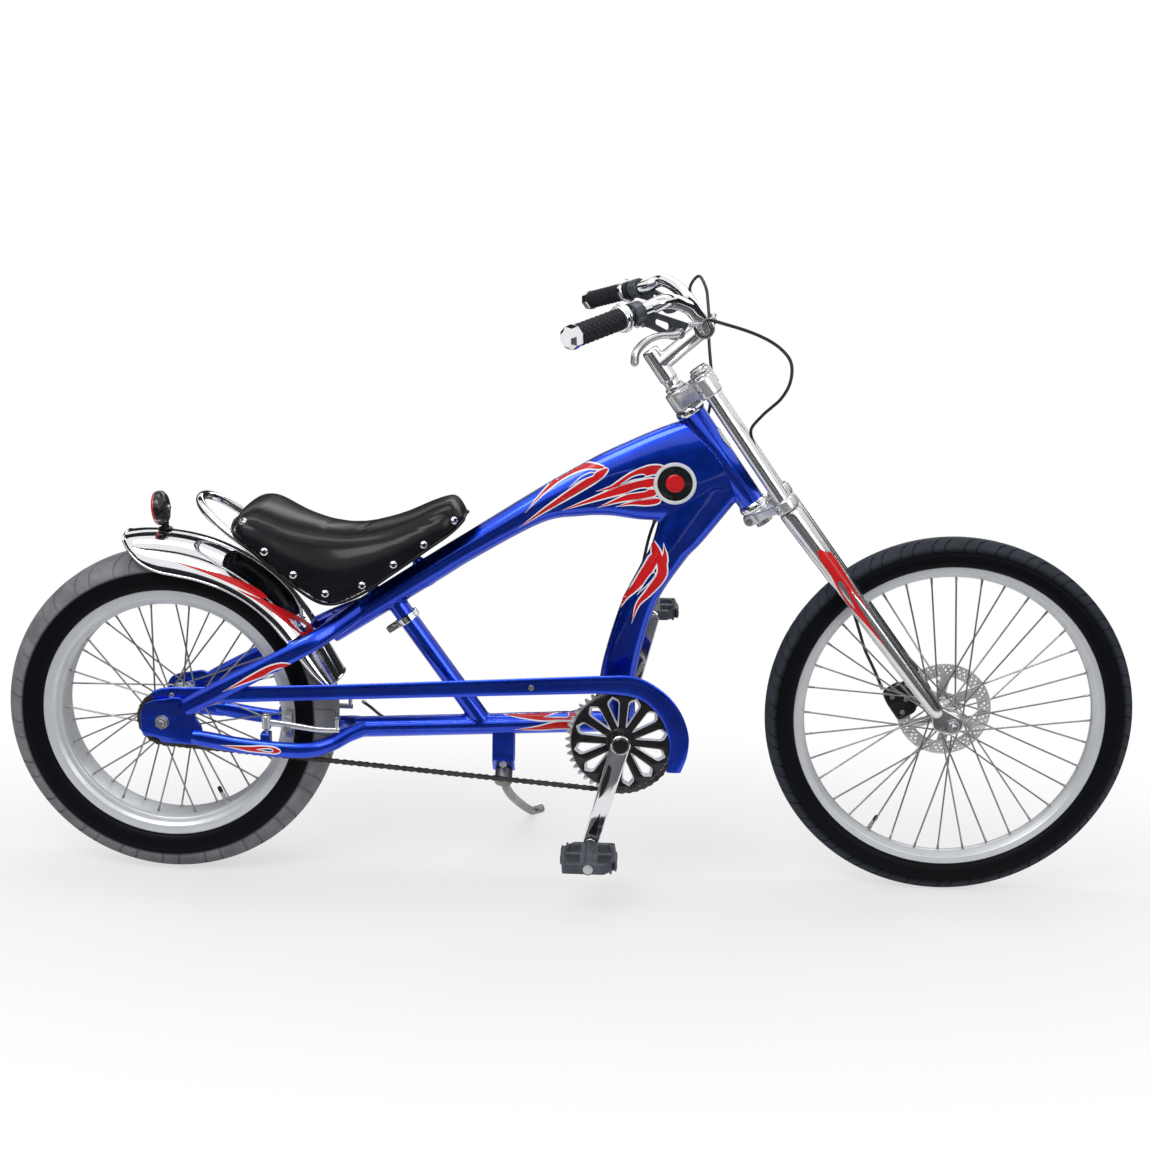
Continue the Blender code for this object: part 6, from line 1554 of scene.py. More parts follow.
def buildRings():
    place = bracket + yAxis * drive["line"]
    mesh = plateMesh(
        "ring", toothedLoop(drive["ringTeeth"], ringRadius), upright(place), drive["toothThick"],
        [circleLoop(drive["ringHole"], 96)], bevel=0.0005, bevelSteps=1,
    )
    addPiece("chainringToothed", mesh, "alloy", "crankset", ["chainring"], sharp=35)
    back = drive["line"] - drive["toothThick"] / 2 - 0.0003
    front = back - 0.005
    angles = [drive["firstWindow"] + 2 * pi * i / drive["windows"] for i in range(drive["windows"])]
    holes = [kite(1.0, a) for a in angles] + [circleLoop(0.0171, 48)]
    face = plateMesh(
        "petals", circleLoop(drive["petal"], 144), upright(bracket + yAxis * (front + back) / 2), 0.005,
        holes, bevel=0.0007,
    )
    collar = lathe("collar", bracket, [
        (0.0171, front + 0.001), (0.0232, front + 0.001), (0.0232, front - 0.0006), (0.0222, front - 0.0015),
        (0.0171, front - 0.0015),
    ], 48)
    parts = [face, collar]
    # each window has a bare bright lip and walls that slope in towards the back
    for a in angles:
        rows = []
        for share, y in (
            (1.02, front + 0.0003), (1.02, front - 0.0006), (0.93, front - 0.0006), (0.9, front + 0.0004),
            (0.76, back), (1.0, back),
        ):
            rows.append([Vector((bracket.x + x, y, bracket.z + z)) for x, z in kite(share, a)])
        parts.append((gridMesh("lip", rows, closeAlong=True), 1))
    addPiece("petalDisc", parts, "black rim", "crankset", ["chainring_disc"], sharp=32)
    # rear sprocket on its freewheel body
    boss = rounded(bandProfile(0.0161, 0.027, 0.0075, 0.0008, 0.001), 0.0005)
    line = drive["line"]
    parts = [
        lathe("boss", rearAxle + yAxis * line, boss, 56),
        plateMesh(
            "teeth", toothedLoop(drive["sprocketTeeth"], sprocketRadius), upright(rearAxle + yAxis * line),
            drive["toothThick"], [circleLoop(0.0245, 48)], bevel=0.0005, bevelSteps=1,
        ),
    ]
    addPiece("rearSprocketToothed", parts, "chainSteel", "freewheel", ["rear_sprocket"], sharp=35)


def chainCourse():
    # straight runs and arcs of the chain's middle line, as a point and the way out of the loop
    line = rearAxle - bracket
    distance = hypot(line.x, line.z)
    base = atan2(-line.z, -line.x)
    lean = asin((ringRadius - sprocketRadius) / distance)
    run = sqrt(distance**2 - (ringRadius - sprocketRadius) ** 2)
    upper = base + pi / 2 + lean
    lower = base - pi / 2 - lean
    ringArc = (upper - lower) * ringRadius
    sprocketArc = (2 * pi - (upper - lower)) * sprocketRadius

    def at(travel):
        s = travel % (2 * run + ringArc + sprocketArc)
        if s < run:
            out = radial(upper)
            return bracket + out * ringRadius + Vector((-out.z, 0, out.x)) * s, out
        s -= run
        if s < sprocketArc:
            angle = upper + s / sprocketRadius
            out = radial(angle)
            return rearAxle + out * sprocketRadius, out
        s -= sprocketArc
        if s < run:
            out = radial(lower)
            return rearAxle + out * sprocketRadius + Vector((-out.z, 0, out.x)) * s, out
        angle = lower + (s - run) / ringRadius
        out = radial(angle)
        return bracket + out * ringRadius, out

    return at, 2 * run + ringArc + sprocketArc


chainLink = {
    "end": 0.0041, "waist": 0.0028, "plate": 0.0009, "outer": 0.0036, "inner": 0.0024, "roller": 0.0038,
    "pin": 0.0021,
}


def linkLoop(length):
    loop = []
    for middle, sign in ((length / 2, 1), (-length / 2, -1)):
        for k in range(7):
            a = radians(-78 + 26 * k)
            loop.append((middle + sign * chainLink["end"] * cos(a), sign * chainLink["end"] * sin(a)))
        loop.append((0, sign * chainLink["waist"]))
    return loop


def buildChain():
    at, total = chainCourse()
    count = 2 * round(total / drive["pitch"] / 2)
    step = total / count
    spec = chainLink
    corners, faces = [], []

    def slab(loop, centre, along, square, low, high):
        base = len(corners)
        n = len(loop)
        for y in (low, high):
            corners.extend(centre + along * a + square * b + yAxis * y for a, b in loop)
        faces.append(tuple(range(base, base + n)))
        faces.append(tuple(range(base + n, base + 2 * n))[::-1])
        faces.extend((base + k, base + n + k, base + n + (k + 1) % n, base + (k + 1) % n) for k in range(n))

    roller = circleLoop(spec["roller"], 10)
    pin = circleLoop(spec["pin"], 10)
    for i in range(count):
        here, out = at(step * i)
        ahead, _ = at(step * (i + 1))
        here = here + yAxis * drive["line"]
        ahead = ahead + yAxis * drive["line"]
        along = (ahead - here).normalized()
        square = Vector((-along.z, 0, along.x))
        reach = spec["outer"] if i % 2 else spec["inner"]
        loop = linkLoop((ahead - here).length)
        for side in (-1, 1):
            edges = sorted((side * reach, side * (reach - spec["plate"])))
            slab(loop, (here + ahead) / 2, along, square, *edges)
        slab(roller, here, along, square, -spec["inner"] + spec["plate"], spec["inner"] - spec["plate"])
        slab(pin, here, along, square, -spec["outer"] - 0.0004, spec["outer"] + 0.0004)
    mesh = bpy.data.meshes.new("chain")
    mesh.from_pydata([tuple(c) for c in corners], [], faces)
    addPiece("chainLinked", mesh, "chainSteel", "frame", ["chain"], sharp=25)


def pedalCentre(side):
    turn = drive["crankTurn"] + (pi if side > 0 else 0)
    return bracket + Vector((-sin(turn), 0, -cos(turn))) * drive["crank"] + yAxis * side * drive["crankSide"]


crankPockets = [
    [(-0.01, 0.2), (-0.003, 0.23), (-0.001, 0.36), (-0.004, 0.5), (-0.009, 0.55), (-0.0115, 0.4)],
    [(0.001, 0.67), (0.004, 0.8), (0.0065, 0.9), (-0.0085, 0.9), (-0.005, 0.8)],
]


def buildCrank(name, side):
    turn = drive["crankTurn"] + (pi if side > 0 else 0)
    facing = Matrix.Rotation(turn, 4, "Y") @ uprightFacing
    middle = bracket + yAxis * side * drive["crankSide"]
    thick = drive["crankThick"]
    outline = hullLoop([(0, 0, 0.0165), (0, -drive["crank"], 0.013)], 72)
    arm = plateMesh("arm", outline, Matrix.Translation(middle) @ facing, thick, bevel=0.0026, bevelSteps=4)
    face = drive["crankSide"] + thick / 2
    loops = []
    for pocket in crankPockets:
        loops.append(roundedLoop([(x, -drive["crank"] * share) for x, share in pocket], 0.0026))
    place = Matrix.Translation(bracket + yAxis * side * face) @ facing
    arm = reshaped(
        arm, [], [plateMesh("pocket", loop, place, 0.0044, bevel=0.0001, bevelSteps=0) for loop in loops]
    )
    sunk = Matrix.Translation(bracket + yAxis * side * (face - 0.002)) @ facing
    inner = 0.0603
    boss = [(0, inner), (0.0163, inner), (0.0163, face + 0.001), (0.015, face + 0.002), (0, face + 0.002)]
    cap = [
        (0, 0), (0.0135, 0), (0.0135, 0.001), (0.0115, 0.0026), (0.0045, 0.003), (0.004, 0.0022), (0, 0.0022)
    ]
    pedal = pedalCentre(side)
    way = yAxis * side
    parts = [
        arm, lathe("boss", bracket, boss, 48, way),
        (lathe("cap", bracket + way * (face + 0.0018), cap, 40, way), 1),
    ]
    parts += [(plateMesh("floor", loop, sunk, 0.0006, bevel=0.0001, bevelSteps=0), 1) for loop in loops]
    parts.append((rodMesh("spindle", pedal + way * (thick / 2 - 0.004), pedal + way * 0.109, 0.0054, 24), 2))
    parts.append(lathe("eye", pedal + way * thick / 2, [
        (0, 0), (0.0105, 0), (0.0105, 0.0012), (0.0085, 0.0022), (0, 0.0022),
    ], 32, way))
    if side > 0:
        parts.append((
            rodMesh(
                "through", bracket + yAxis * (inner + 0.005), bracket - yAxis * (inner - 0.0003), 0.0085, 32
            ),
            2,
        ))
    addPiece("crank" + name.title(), parts, "chrome black bolt", "crankset", ["crank_" + name], sharp=35)
    buildPedal(name, side, pedal)


pedalForm = {"long": 0.095, "wide": 0.1, "thick": 0.02, "out": 0.065, "pins": 9}


def buildPedal(name, side, axle):
    middle = axle + yAxis * side * pedalForm["out"]
    hl = pedalForm["long"] / 2
    hw = pedalForm["wide"] / 2
    flat = Matrix.Translation(middle)
    outline = [
        (hl * 0.88, hw), (-hl * 0.55, hw), (-hl, hw * 0.45), (-hl * 0.88, -hw), (hl * 0.55, -hw),
        (hl, -hw * 0.45),
    ]
    holes = []
    for sx in (-1, 1):
        for sy in (-1, 1):
            near, far, low, high = 0.015, hl - 0.0095, 0.005, hw - 0.01
            corners = [(near, low), (far, low), (far * 0.86, high), (near, high)]
            holes.append(roundedLoop([(sx * x, sy * y) for x, y in corners], 0.003, 3))
    parts = [plateMesh(
        "body", roundedLoop(outline, 0.004, 3), flat, pedalForm["thick"] - 0.003, holes, bevel=0.0012
    )]
    barrel = rounded(bandProfile(0.0061, 0.011, hw - 0.001, 0.001, 0.002), 0.0006)
    parts.append(lathe("barrel", middle, barrel, 36))
    parts.append((
        lathe("cap", middle + yAxis * side * (hw - 0.001), [
            (0, 0), (0.0085, 0), (0.008, 0.0016), (0, 0.002),
        ], 28, yAxis * side),
        2,
    ))
    # grip teeth along both slanted edges, above and below
    for up in (-1, 1):
        for k in range(pedalForm["pins"]):
            y = (k / (pedalForm["pins"] - 1) - 0.5) * (pedalForm["wide"] - 0.02)
            for x in (-hl * 0.9, hl * 0.9):
                lean = x * 0.93 + (-1 if x > 0 else 1) * 0.0035 * abs(y) / hw
                spot = middle + Vector((lean, y, up * 0.0075))
                parts.append(lathe("tooth", spot, [
                    (0, 0), (0.0024, 0), (0.0016, 0.0025), (0, 0.0025),
                ], 4, zAxis * up))
    # amber reflectors sunk into the front and the back edge
    for sx in (-1, 1):
        shell = boxMesh(
            "frame", (0.004, 0.05, 0.015),
            Matrix.Translation(middle + Vector((sx * (hl - 0.003), -sx * hw * 0.22, 0))), 0.0014,
        )
        glass = boxMesh(
            "glass", (0.003, 0.042, 0.0095),
            Matrix.Translation(middle + Vector((sx * (hl - 0.0016), -sx * hw * 0.22, 0))), 0.0008,
        )
        parts += [shell, (glass, 1)]
    addPiece(
        "pedal" + name.title(), parts, "plastic amber bolt", name + "_pedal", ["pedal_" + name], sharp=30
    )


buildRings()
buildChain()
for name, side in sides.items():
    buildCrank(name, side)
print("drive built")


# Fork, stem and bar

forkForm = {
    "spacing": 0.12, "ahead": 0.046, "tipAhead": 0.064, "topUp": 0.4559, "tipUp": 0.028,
    "stanchionFoot": 0.44,
    "stanchionTop": 0.7145, "legTop": 0.0192, "legTip": 0.0125, "stanchion": 0.0127,
}


def steeringFacing(middle):
    return Matrix((
        (steerAhead.x, 0, steerUp.x, middle.x), (0, 1, 0, middle.y), (steerAhead.z, 0, steerUp.z, middle.z),
        (0, 0, 0, 1),
    ))


def legEnds(y):
    top = steering(forkForm["ahead"], y, forkForm["topUp"])
    return top, steering(forkForm["tipAhead"], y, forkForm["tipUp"])


def buildFork():
    legs = {}
    for name, side in sides.items():
        y = side * forkForm["spacing"] / 2
        ahead = forkForm["ahead"]
        top, tip = legEnds(y)
        line = tip - top
        long = line.length
        big, small = forkForm["legTop"], forkForm["legTip"]
        profile = [
            (0, 0), (big - 0.0035, 0), (big - 0.001, 0.0012), (big, 0.004), (big, 0.012), (big * 0.985, 0.05)
        ]
        profile += [(big + (small - big) * t**1.15, long * t) for t in (0.25, 0.4, 0.55, 0.7, 0.85, 0.96)]
        profile += [(small * 0.92, long * 0.985), (small * 0.6, long), (0, long)]
        parts = [lathe("leg", top, profile, 56, line)]
        foot, head = steering(
            ahead, y, forkForm["stanchionFoot"]
        ), steering(ahead, y, forkForm["stanchionTop"])
        parts.append(rodMesh("stanchion", foot, head, forkForm["stanchion"], 48))
        parts.append(lathe("cap", steering(ahead, y, forkForm["stanchionTop"] - 0.0003), [
            (0, 0), (0.015, 0), (0.0155, 0.0008), (0.0155, 0.0032), (0.014, 0.0047), (0.006, 0.0047),
            (0.006, 0.0032), (0, 0.0032),
        ], 48, steerUp))
        drop = forkForm["tipAhead"] - places["forkOffset"]
        hull = hullLoop([(0, 0, 0.016), (drop, 0.034, 0.0095), (drop - 0.004, 0.012, 0.015)], 56)
        place = steeringFacing(frontAxle + yAxis * side * 0.0535) @ uprightFacing
        parts.append(
            plateMesh("dropout", hull, place, 0.007, [circleLoop(0.0053, 24)], bevel=0.0014, bevelSteps=3)
        )
        legs[name] = addPiece(
            "forkLeg" + name.title(), parts, "forkChrome", "fork", ["fork_leg_" + name], sharp=40
        )
    return legs


def buildCrowns():
    half = forkForm["spacing"] / 2
    ahead = forkForm["ahead"]
    for name, low, thick, clampRadius, extra in (
        ("lower", 0.4571, 0.02, 0.02, [circleLoop(0.005, 16, (0.045, 0.012))]),
        ("upper", 0.6809, 0.033, 0.019, []),
    ):
        bore = 0.013
        hull = hullLoop([
            (0, 0, 0.018), (ahead, half, clampRadius * 0.78), (ahead, -half, clampRadius * 0.78)
        ], 96)
        holes = [
            circleLoop(0.0146, 40), circleLoop(bore, 40, (ahead, half)), circleLoop(bore, 40, (ahead, -half))
        ]
        middle = steering(0, 0, low + thick / 2)
        parts = [plateMesh(
            "plate", hull, steeringFacing(middle), thick * 0.72, holes + extra, bevel=0.0022, bevelSteps=4
        )]
        for out, across, size, hole in (
            (0, 0, 0.0225, 0.0146), (ahead, half, clampRadius, bore), (ahead, -half, clampRadius, bore)
        ):
            edge = bandProfile(hole, size, thick / 2, 0.0016, 0.0022)
            parts.append(
                lathe("collar", steering(out, across, low + thick / 2), rounded(edge, 0.0009), 56, steerUp)
            )
        for side in (-1, 1):
            # pinch bolt behind each leg clamp
            spot = steering(ahead - clampRadius * 0.62, side * (half + clampRadius * 0.62), low + thick / 2)
            parts.append((boltMesh("bolt", spot, (-steerAhead * 0.7 + yAxis * side * 0.7), 0.005, 0.0052), 1))
        if name == "lower":
            lug = steering(-0.02, 0, low + thick / 2)
            parts.append(lathe("boss", lug + yAxis * 0.013, [
                (0, -0.026), (0.0082, -0.026), (0.009, -0.025), (0.009, -0.001), (0.0082, 0), (0, 0),
            ], 36, yAxis))
            parts.append((boltMesh("bolt", lug - yAxis * 0.013, -yAxis, 0.0055, 0.004), 1))
        addPiece(name + "CrownPlate", parts, "alloy bolt", "fork", [name + "_crown"], sharp=35)


stemForm = {"foot": 0.7139, "top": 0.792, "arm": 0.763, "barAhead": 0.092, "barLift": 0.009, "bolt": 0.788}
barMiddle = steering(stemForm["barAhead"], 0, stemForm["arm"] + stemForm["barLift"])
stemArm = steering(0, 0, stemForm["arm"])
gripStart = Vector((0.090263, 0.336, 0.986181))
gripWay = Vector((-0.6722, 0.7054, -0.223)).normalized()
barRoute = [
    (0.2121, 0.022, 0.9464), (0.207, 0.055, 0.957), (0.195, 0.1, 0.975), (0.178, 0.197, 0.9935),
    (0.148, 0.29, 1.006),
]
barRadius = 0.0111


def gripFrame(side):
    start = gripStart
    return Vector((start.x, start.y * side, start.z)), Vector((gripWay.x, gripWay.y * side, gripWay.z))


def leverAxes(side):
    start, way = gripFrame(side)
    down = Vector((0, 0, -1))
    down = (down - way * down.dot(way)).normalized()
    return start - way * 0.016, way, down.cross(way) * side, down


def nearGrip(side, inboard, forward, below):
    origin, way, ahead, down = leverAxes(side)
    return origin - way * inboard + ahead * forward + down * below


def buildStemAndBar():
    rise = stemForm["top"] - stemForm["foot"]
    quill = [
        (0, -0.07), (0.0115, -0.07), (0.0115, 0.001), (0.0165, 0.001), (0.0165, 0.0075), (0.0127, 0.009),
        (0.013, rise - 0.06), (0.015, rise - 0.056), (0.015, rise - 0.003), (0.013, rise), (0.006, rise),
        (0.006, rise - 0.004), (0, rise - 0.004),
    ]
    ahead = (barMiddle - stemArm).normalized()
    clamp = rounded(bandProfile(0.0115, 0.0172, 0.02, 0.0012, 0.0012), 0.001)
    lug = barMiddle + ahead * 0.019
    parts = [
        lathe("quill", steering(0, 0, stemForm["foot"]), rounded(quill, 0.001), 56, steerUp),
        rodMesh("arm", stemArm, barMiddle - ahead * 0.012, 0.015, 48, 0.0142),
        lathe("clamp", barMiddle, clamp, 56, yAxis),
        boxMesh(
            "lug", (0.012, 0.028, 0.013), facingAlong(ahead, zAxis, lug) @ Matrix.Rotation(pi / 2, 4, "X"),
            0.0016, 3,
        ),
        (boltMesh("bolt", lug + Vector((0.0, 0, 0.0062)), zAxis, 0.005, 0.0048), 1),
        (boltMesh("bolt", steering(0, 0, stemForm["bolt"]), steerUp, 0.0056, 0.0046), 1),
    ]
    addPiece("stemPolished", parts, "forkChrome bolt", "fork", ["stem"], sharp=35)
    shift = barMiddle - Vector((barRoute[0][0], 0, barRoute[0][2]))
    half = [Vector(p) + shift for p in barRoute]
    left = curveThrough(half + [gripStart - gripWay * 0.046], 0.006)
    left += [gripStart + gripWay * s for s in (-0.02, 0.0, 0.05, 0.1095)]
    path = [mirrored(p) for p in reversed(left)] + left
    addPiece("handlebarBent", tubeMesh("bar", path, barRadius, 36), "chrome", "fork", ["handlebar"])


gripForm = {
    "radius": 0.016, "length": 0.1175, "around": 120, "rows": 112, "knurl": 0.0015, "turns": 10, "bands": 9
}


def buildGrip(name, side):
    start, way = gripFrame(side)
    start = start + way * 0.006
    first, second = axisFrame(way)
    spec = gripForm
    end = spec["length"]
    rows = []
    low, high = 0.0128, end - 0.019
    for i in range(spec["rows"] + 1):
        s = i / spec["rows"]
        along = low + (high - low) * s
        row = []
        for k in range(spec["around"]):
            a = 2 * pi * k / spec["around"]
            u = spec["turns"] * a / (2 * pi)
            v = s * spec["bands"]
            # raised diamonds between two crossing sets of grooves
            d = min(abs((u + v) % 1 - 0.5), abs((u - v) % 1 - 0.5)) * 2
            fade = min(1, s / 0.03, (1 - s) / 0.03)
            cut = spec["knurl"] * max(0, 1 - d / 0.32) * fade
            row.append(start + way * along + (first * cos(a) + second * sin(a)) * (spec["radius"] - cut))
        rows.append(row)
    foot, head = start + way * low, start + way * high
    inside = [[base + (p - base) * 0.72 for p in row] for base, row in ((foot, rows[0]), (head, rows[-1]))]
    sleeve = gridMesh("sleeve", [inside[0], *rows, inside[1]], closeAlong=True)
    ring = rounded([
        (0.0114, 0.0), (0.019, 0.0), (0.0214, 0.0022), (0.0214, 0.005), (0.019, 0.0066), (0.019, 0.011),
        (0.0176, 0.0126), (0.0114, 0.0126),
    ], 0.0008)
    spacer = [(0.0114, -0.006), (0.015, -0.006), (0.0158, -0.005), (0.0158, -0.0004), (0.0114, -0.0004)]
    parts = [sleeve, (lathe("ring", start, ring, 64, way), 1), lathe("spacer", start, spacer, 48, way)]
    # faceted end cap
    cap = [
        (0.0114, high + 0.0002), (0.0172, high + 0.0002), (0.0176, high + 0.003), (0.017, end - 0.006),
        (0.0112, end), (0, end),
    ]
    corners = [first * cos(2 * pi * k / 8) + second * sin(2 * pi * k / 8) for k in range(8)]
    facets = [[start + way * along + corner * radius for corner in corners] for radius, along in cap[:-1]]
    parts.append((gridMesh("cap", facets, caps=True), 1))
    addPiece("grip" + name.title(), parts, "grip chrome", "fork", ["grip_" + name], sharp=28)


perchForm = {
    "edge": [
        (-0.008, -0.004), (-0.006, 0.016), (0.018, 0.025), (0.043, 0.0405), (0.064, 0.057), (0.079, 0.057),
        (0.1, 0.041), (0.042, 0.011), (0.026, 0.002), (0.014, -0.007),
    ],
    "gap": [(0.034, 0.0205, 0.0042), (0.057, 0.0345, 0.0058)],
    "barrel": [(0.088, 0.006, 0.04), (0.118, 0.006, 0.048)],
    "pivot": (0.066, 0.0465), "ahead": 0.006, "thick": 0.009, "leverAhead": 0.019,
    "lever": [
        (0.068, 0.047), (0.048, 0.044), (0.026, 0.0385), (0.006, 0.0375), (-0.012, 0.041), (-0.027, 0.049),
        (-0.032, 0.062),
    ],
}


def buildLever(name, side):
    origin, way, ahead, down = leverAxes(side)
    spec = perchForm
    facing = Matrix((-way, down, (-way).cross(down))).transposed().to_4x4()
    middle = origin + ahead * spec["ahead"]
    web = plateMesh(
        "web", roundedLoop(spec["edge"], 0.005, 4), Matrix.Translation(middle) @ facing, spec["thick"],
        [hullLoop(spec["gap"], 28)], bevel=0.0014, bevelSteps=3,
    )
    web = reshaped(web, [], [rodMesh("bore", origin - way * 0.05, origin + way * 0.05, 0.0116, 40)])
    band = rounded(bandProfile(0.012, 0.0168, 0.0095, 0.001, 0.001), 0.0006)
    px, pz = spec["pivot"]
    foot = nearGrip(side, px, spec["ahead"], pz)
    head = nearGrip(side, px, spec["leverAhead"] + 0.0058, pz)
    inner, outer = (nearGrip(side, *spot) for spot in spec["barrel"])
    run = (outer - inner).normalized()
    long = (outer - inner).length
    knurled = [(0, 0), (0.003, 0), (0.003, long - 0.015)]
    for k in range(5):
        at = long - 0.0145 + k * 0.0021
        knurled += [(0.0038, at), (0.0038, at + 0.0013), (0.0034, at + 0.0015), (0.0034, at + 0.0019)]
    knurled += [(0.0038, long - 0.003), (0.0032, long), (0, long)]
    parts = [
        web, lathe("band", origin, band, 48, way), (lathe("barrel", inner, knurled, 28, run), 1),
        (rodMesh("pin", foot, head, 0.0024, 20), 2),
        (boltMesh("head", head - ahead * 0.0006, ahead, 0.0044, 0.002), 2),
        (boltMesh("clamp", origin + down * 0.016 + ahead * 0.0112, ahead, 0.0036, 0.0034), 2),
    ]
    addPiece(
        "leverPerch" + name.title(), parts, "perch alloy bolt", "fork", ["lever_perch_" + name], sharp=35
    )
    # hooked blade, wide and thin, with a groove along its face and a ball at its tip
    path = curveThrough(
        [nearGrip(side, inboard, spec["leverAhead"], below) for inboard, below in spec["lever"]], 0.003
    )
    rows = []
    for i, (point, along) in enumerate(zip(path, ways(path))):
        across = (ahead - along * ahead.dot(along)).normalized()
        up = along.cross(across)
        share = i / (len(path) - 1)
        wide = 0.0056 - 0.0008 * sin(pi * share)
        deep = 0.0064 - 0.0012 * sin(pi * min(1, share * 1.3))
        row = []
        for k in range(32):
            a = 2 * pi * k / 32
            c, s = cos(a), sin(a)
            groove = 0.0009 * max(0, 1 - (c / 0.45) ** 2) * min(1, share / 0.12, (1 - share) / 0.1)
            row.append(point + across * c * wide + up * (s * deep - copysign(groove, s)))
        rows.append(row)
    back = nearGrip(side, px, spec["leverAhead"] - 0.0042, pz)
    front = nearGrip(side, px, spec["leverAhead"] + 0.0047, pz)
    tip = path[-1]
    ball = [(0.0058 * sin(t), -0.0058 * cos(t)) for t in np.linspace(0, pi, 13)]
    ball[0], ball[-1] = (0, -0.0058), (0, 0.0058)
    eye = [
        (0.0028, 0), (0.007, 0), (0.0078, 0.0008), (0.0078, (front - back).length - 0.0008),
        (0.007, (front - back).length), (0.0028, (front - back).length),
    ]
    parts = [
        gridMesh("blade", rows, caps=True), lathe("eye", back, eye, 36, ahead),
        lathe("ball", tip, ball, 24, along),
    ]
    addPiece("brakeLever" + name.title(), parts, "alloy", "lever_" + name, ["brake_lever_" + name], sharp=40)


forkLegs = buildFork()
buildCrowns()
buildStemAndBar()
for name, side in sides.items():
    buildGrip(name, side)
    buildLever(name, side)
print("fork and bar built")


# Disc caliper, kickstand, rear brake and cables

def buildCaliper():
    middle = steering(0.0216, 0.042, 0.0515)
    tilt = steeringFacing(Vector((0, 0, 0)))
    outline = roundedLoop([
        (-0.023, -0.026), (0.01, -0.029), (0.023, -0.016), (0.023, 0.018), (0.012, 0.029), (-0.018, 0.029),
        (-0.023, 0.015),
    ], 0.007, 4)
    body = plateMesh(
        "body", outline, Matrix.Translation(middle) @ tilt @ uprightFacing, 0.022, bevel=0.0024, bevelSteps=3
    )
    arm = boxMesh(
        "arm", (0.03, 0.01, 0.05), Matrix.Translation(steering(0.046, 0.0444, 0.0515)) @ tilt, 0.0015
    )
    top, tip = legEnds(forkForm["spacing"] / 2)
    parts = []
    for solid in (body, arm):
        slot = rodMesh("slot", frontAxle + yAxis * 0.0346, frontAxle + yAxis * 0.0384, 0.082, 96)
        leg = rodMesh("leg", top, tip, 0.0195, 48, 0.0128)
        parts.append(reshaped(solid, [], [slot, leg]))
    for ahead, up in ((0.013, 0.036), (0.013, 0.068), (0.03, 0.052)):
        parts.append((boltMesh("bolt", steering(ahead, 0.031, up), -yAxis, 0.0042, 0.0026), 1))
        parts.append((boltMesh("bolt", steering(ahead, 0.053, up), yAxis, 0.0042, 0.0026), 1))
    parts.append((
        lathe("piston", steering(0.014, 0.053, 0.052), [
            (0, 0), (0.011, 0), (0.0105, 0.003), (0.007, 0.0036), (0, 0.0036),
        ], 36, yAxis),
        1,
    ))
    addPiece("brakeCaliper", parts, "black bolt", "fork", ["brake_caliper"], sharp=35)


kick = {
    "bar": 0.0075, "pin": (bottomTubeStart.lerp(bottomTubeEnd, 0.56) + Vector((0, 0.012, -0.088))),
    "axis": Vector((0, 1, 1)).normalized(),
    "route": [(0.002, 0.04, 0.14), (0.008, 0.1, 0.102), (0.021, 0.2, 0.048)],
    "foot": [(0.033, 0.268, 0.006), (0.038, 0.286, 0.0), (0.054, 0.296, 0.002)],
}


def buildKickstand():
    pin, axis = kick["pin"], kick["axis"]
    lean = axis.to_track_quat("Z", "Y").to_matrix().to_4x4()
    below = Matrix.Translation(pin + axis * 0.0003) @ lean @ Matrix.Translation((0, 0, -0.1))
    under = boxMesh("under", (0.2, 0.2, 0.2), below, 0)
    block = boxMesh(
        "block", (0.038, 0.026, 0.1), Matrix.Translation(pin + Vector((0, -0.012, 0.035))), 0.0035, 3
    )
    block = reshaped(block, [], [under])
    parts = [block, (boltMesh("bolt", pin + Vector((0.0, -0.025, 0.02)), -yAxis, 0.0065, 0.0045, False), 1)]
    addPiece("kickstandBracket", parts, "blue bolt", "frame", ["kickstand_bracket"], sharp=30)
    start = pin - axis * 0.013
    ground = kick["bar"] - 0.0006
    route = [start] + [Vector((start.x + x, y, z)) for x, y, z in kick["route"]]
    route += [Vector((start.x + x, y, ground + z)) for x, y, z in kick["foot"]]
    path = curveThrough(route, 0.005)
    legMesh = tubeMesh("leg", path, kick["bar"], 28, soft=0.002)
    for vertex in legMesh.vertices:
        vertex.co.z = max(vertex.co.z, 0.0)
    drum = [
        (0, 0.0003), (0.0138, 0.0003), (0.015, 0.0015), (0.015, 0.023), (0.0138, 0.0245), (0.006, 0.025),
        (0, 0.025),
    ]
    parts = [legMesh, lathe("drum", pin, drum, 44, -axis)]
    addPiece("kickstandLeg", parts, "standSteel", "kickstand", ["kickstand_leg"], sharp=35)


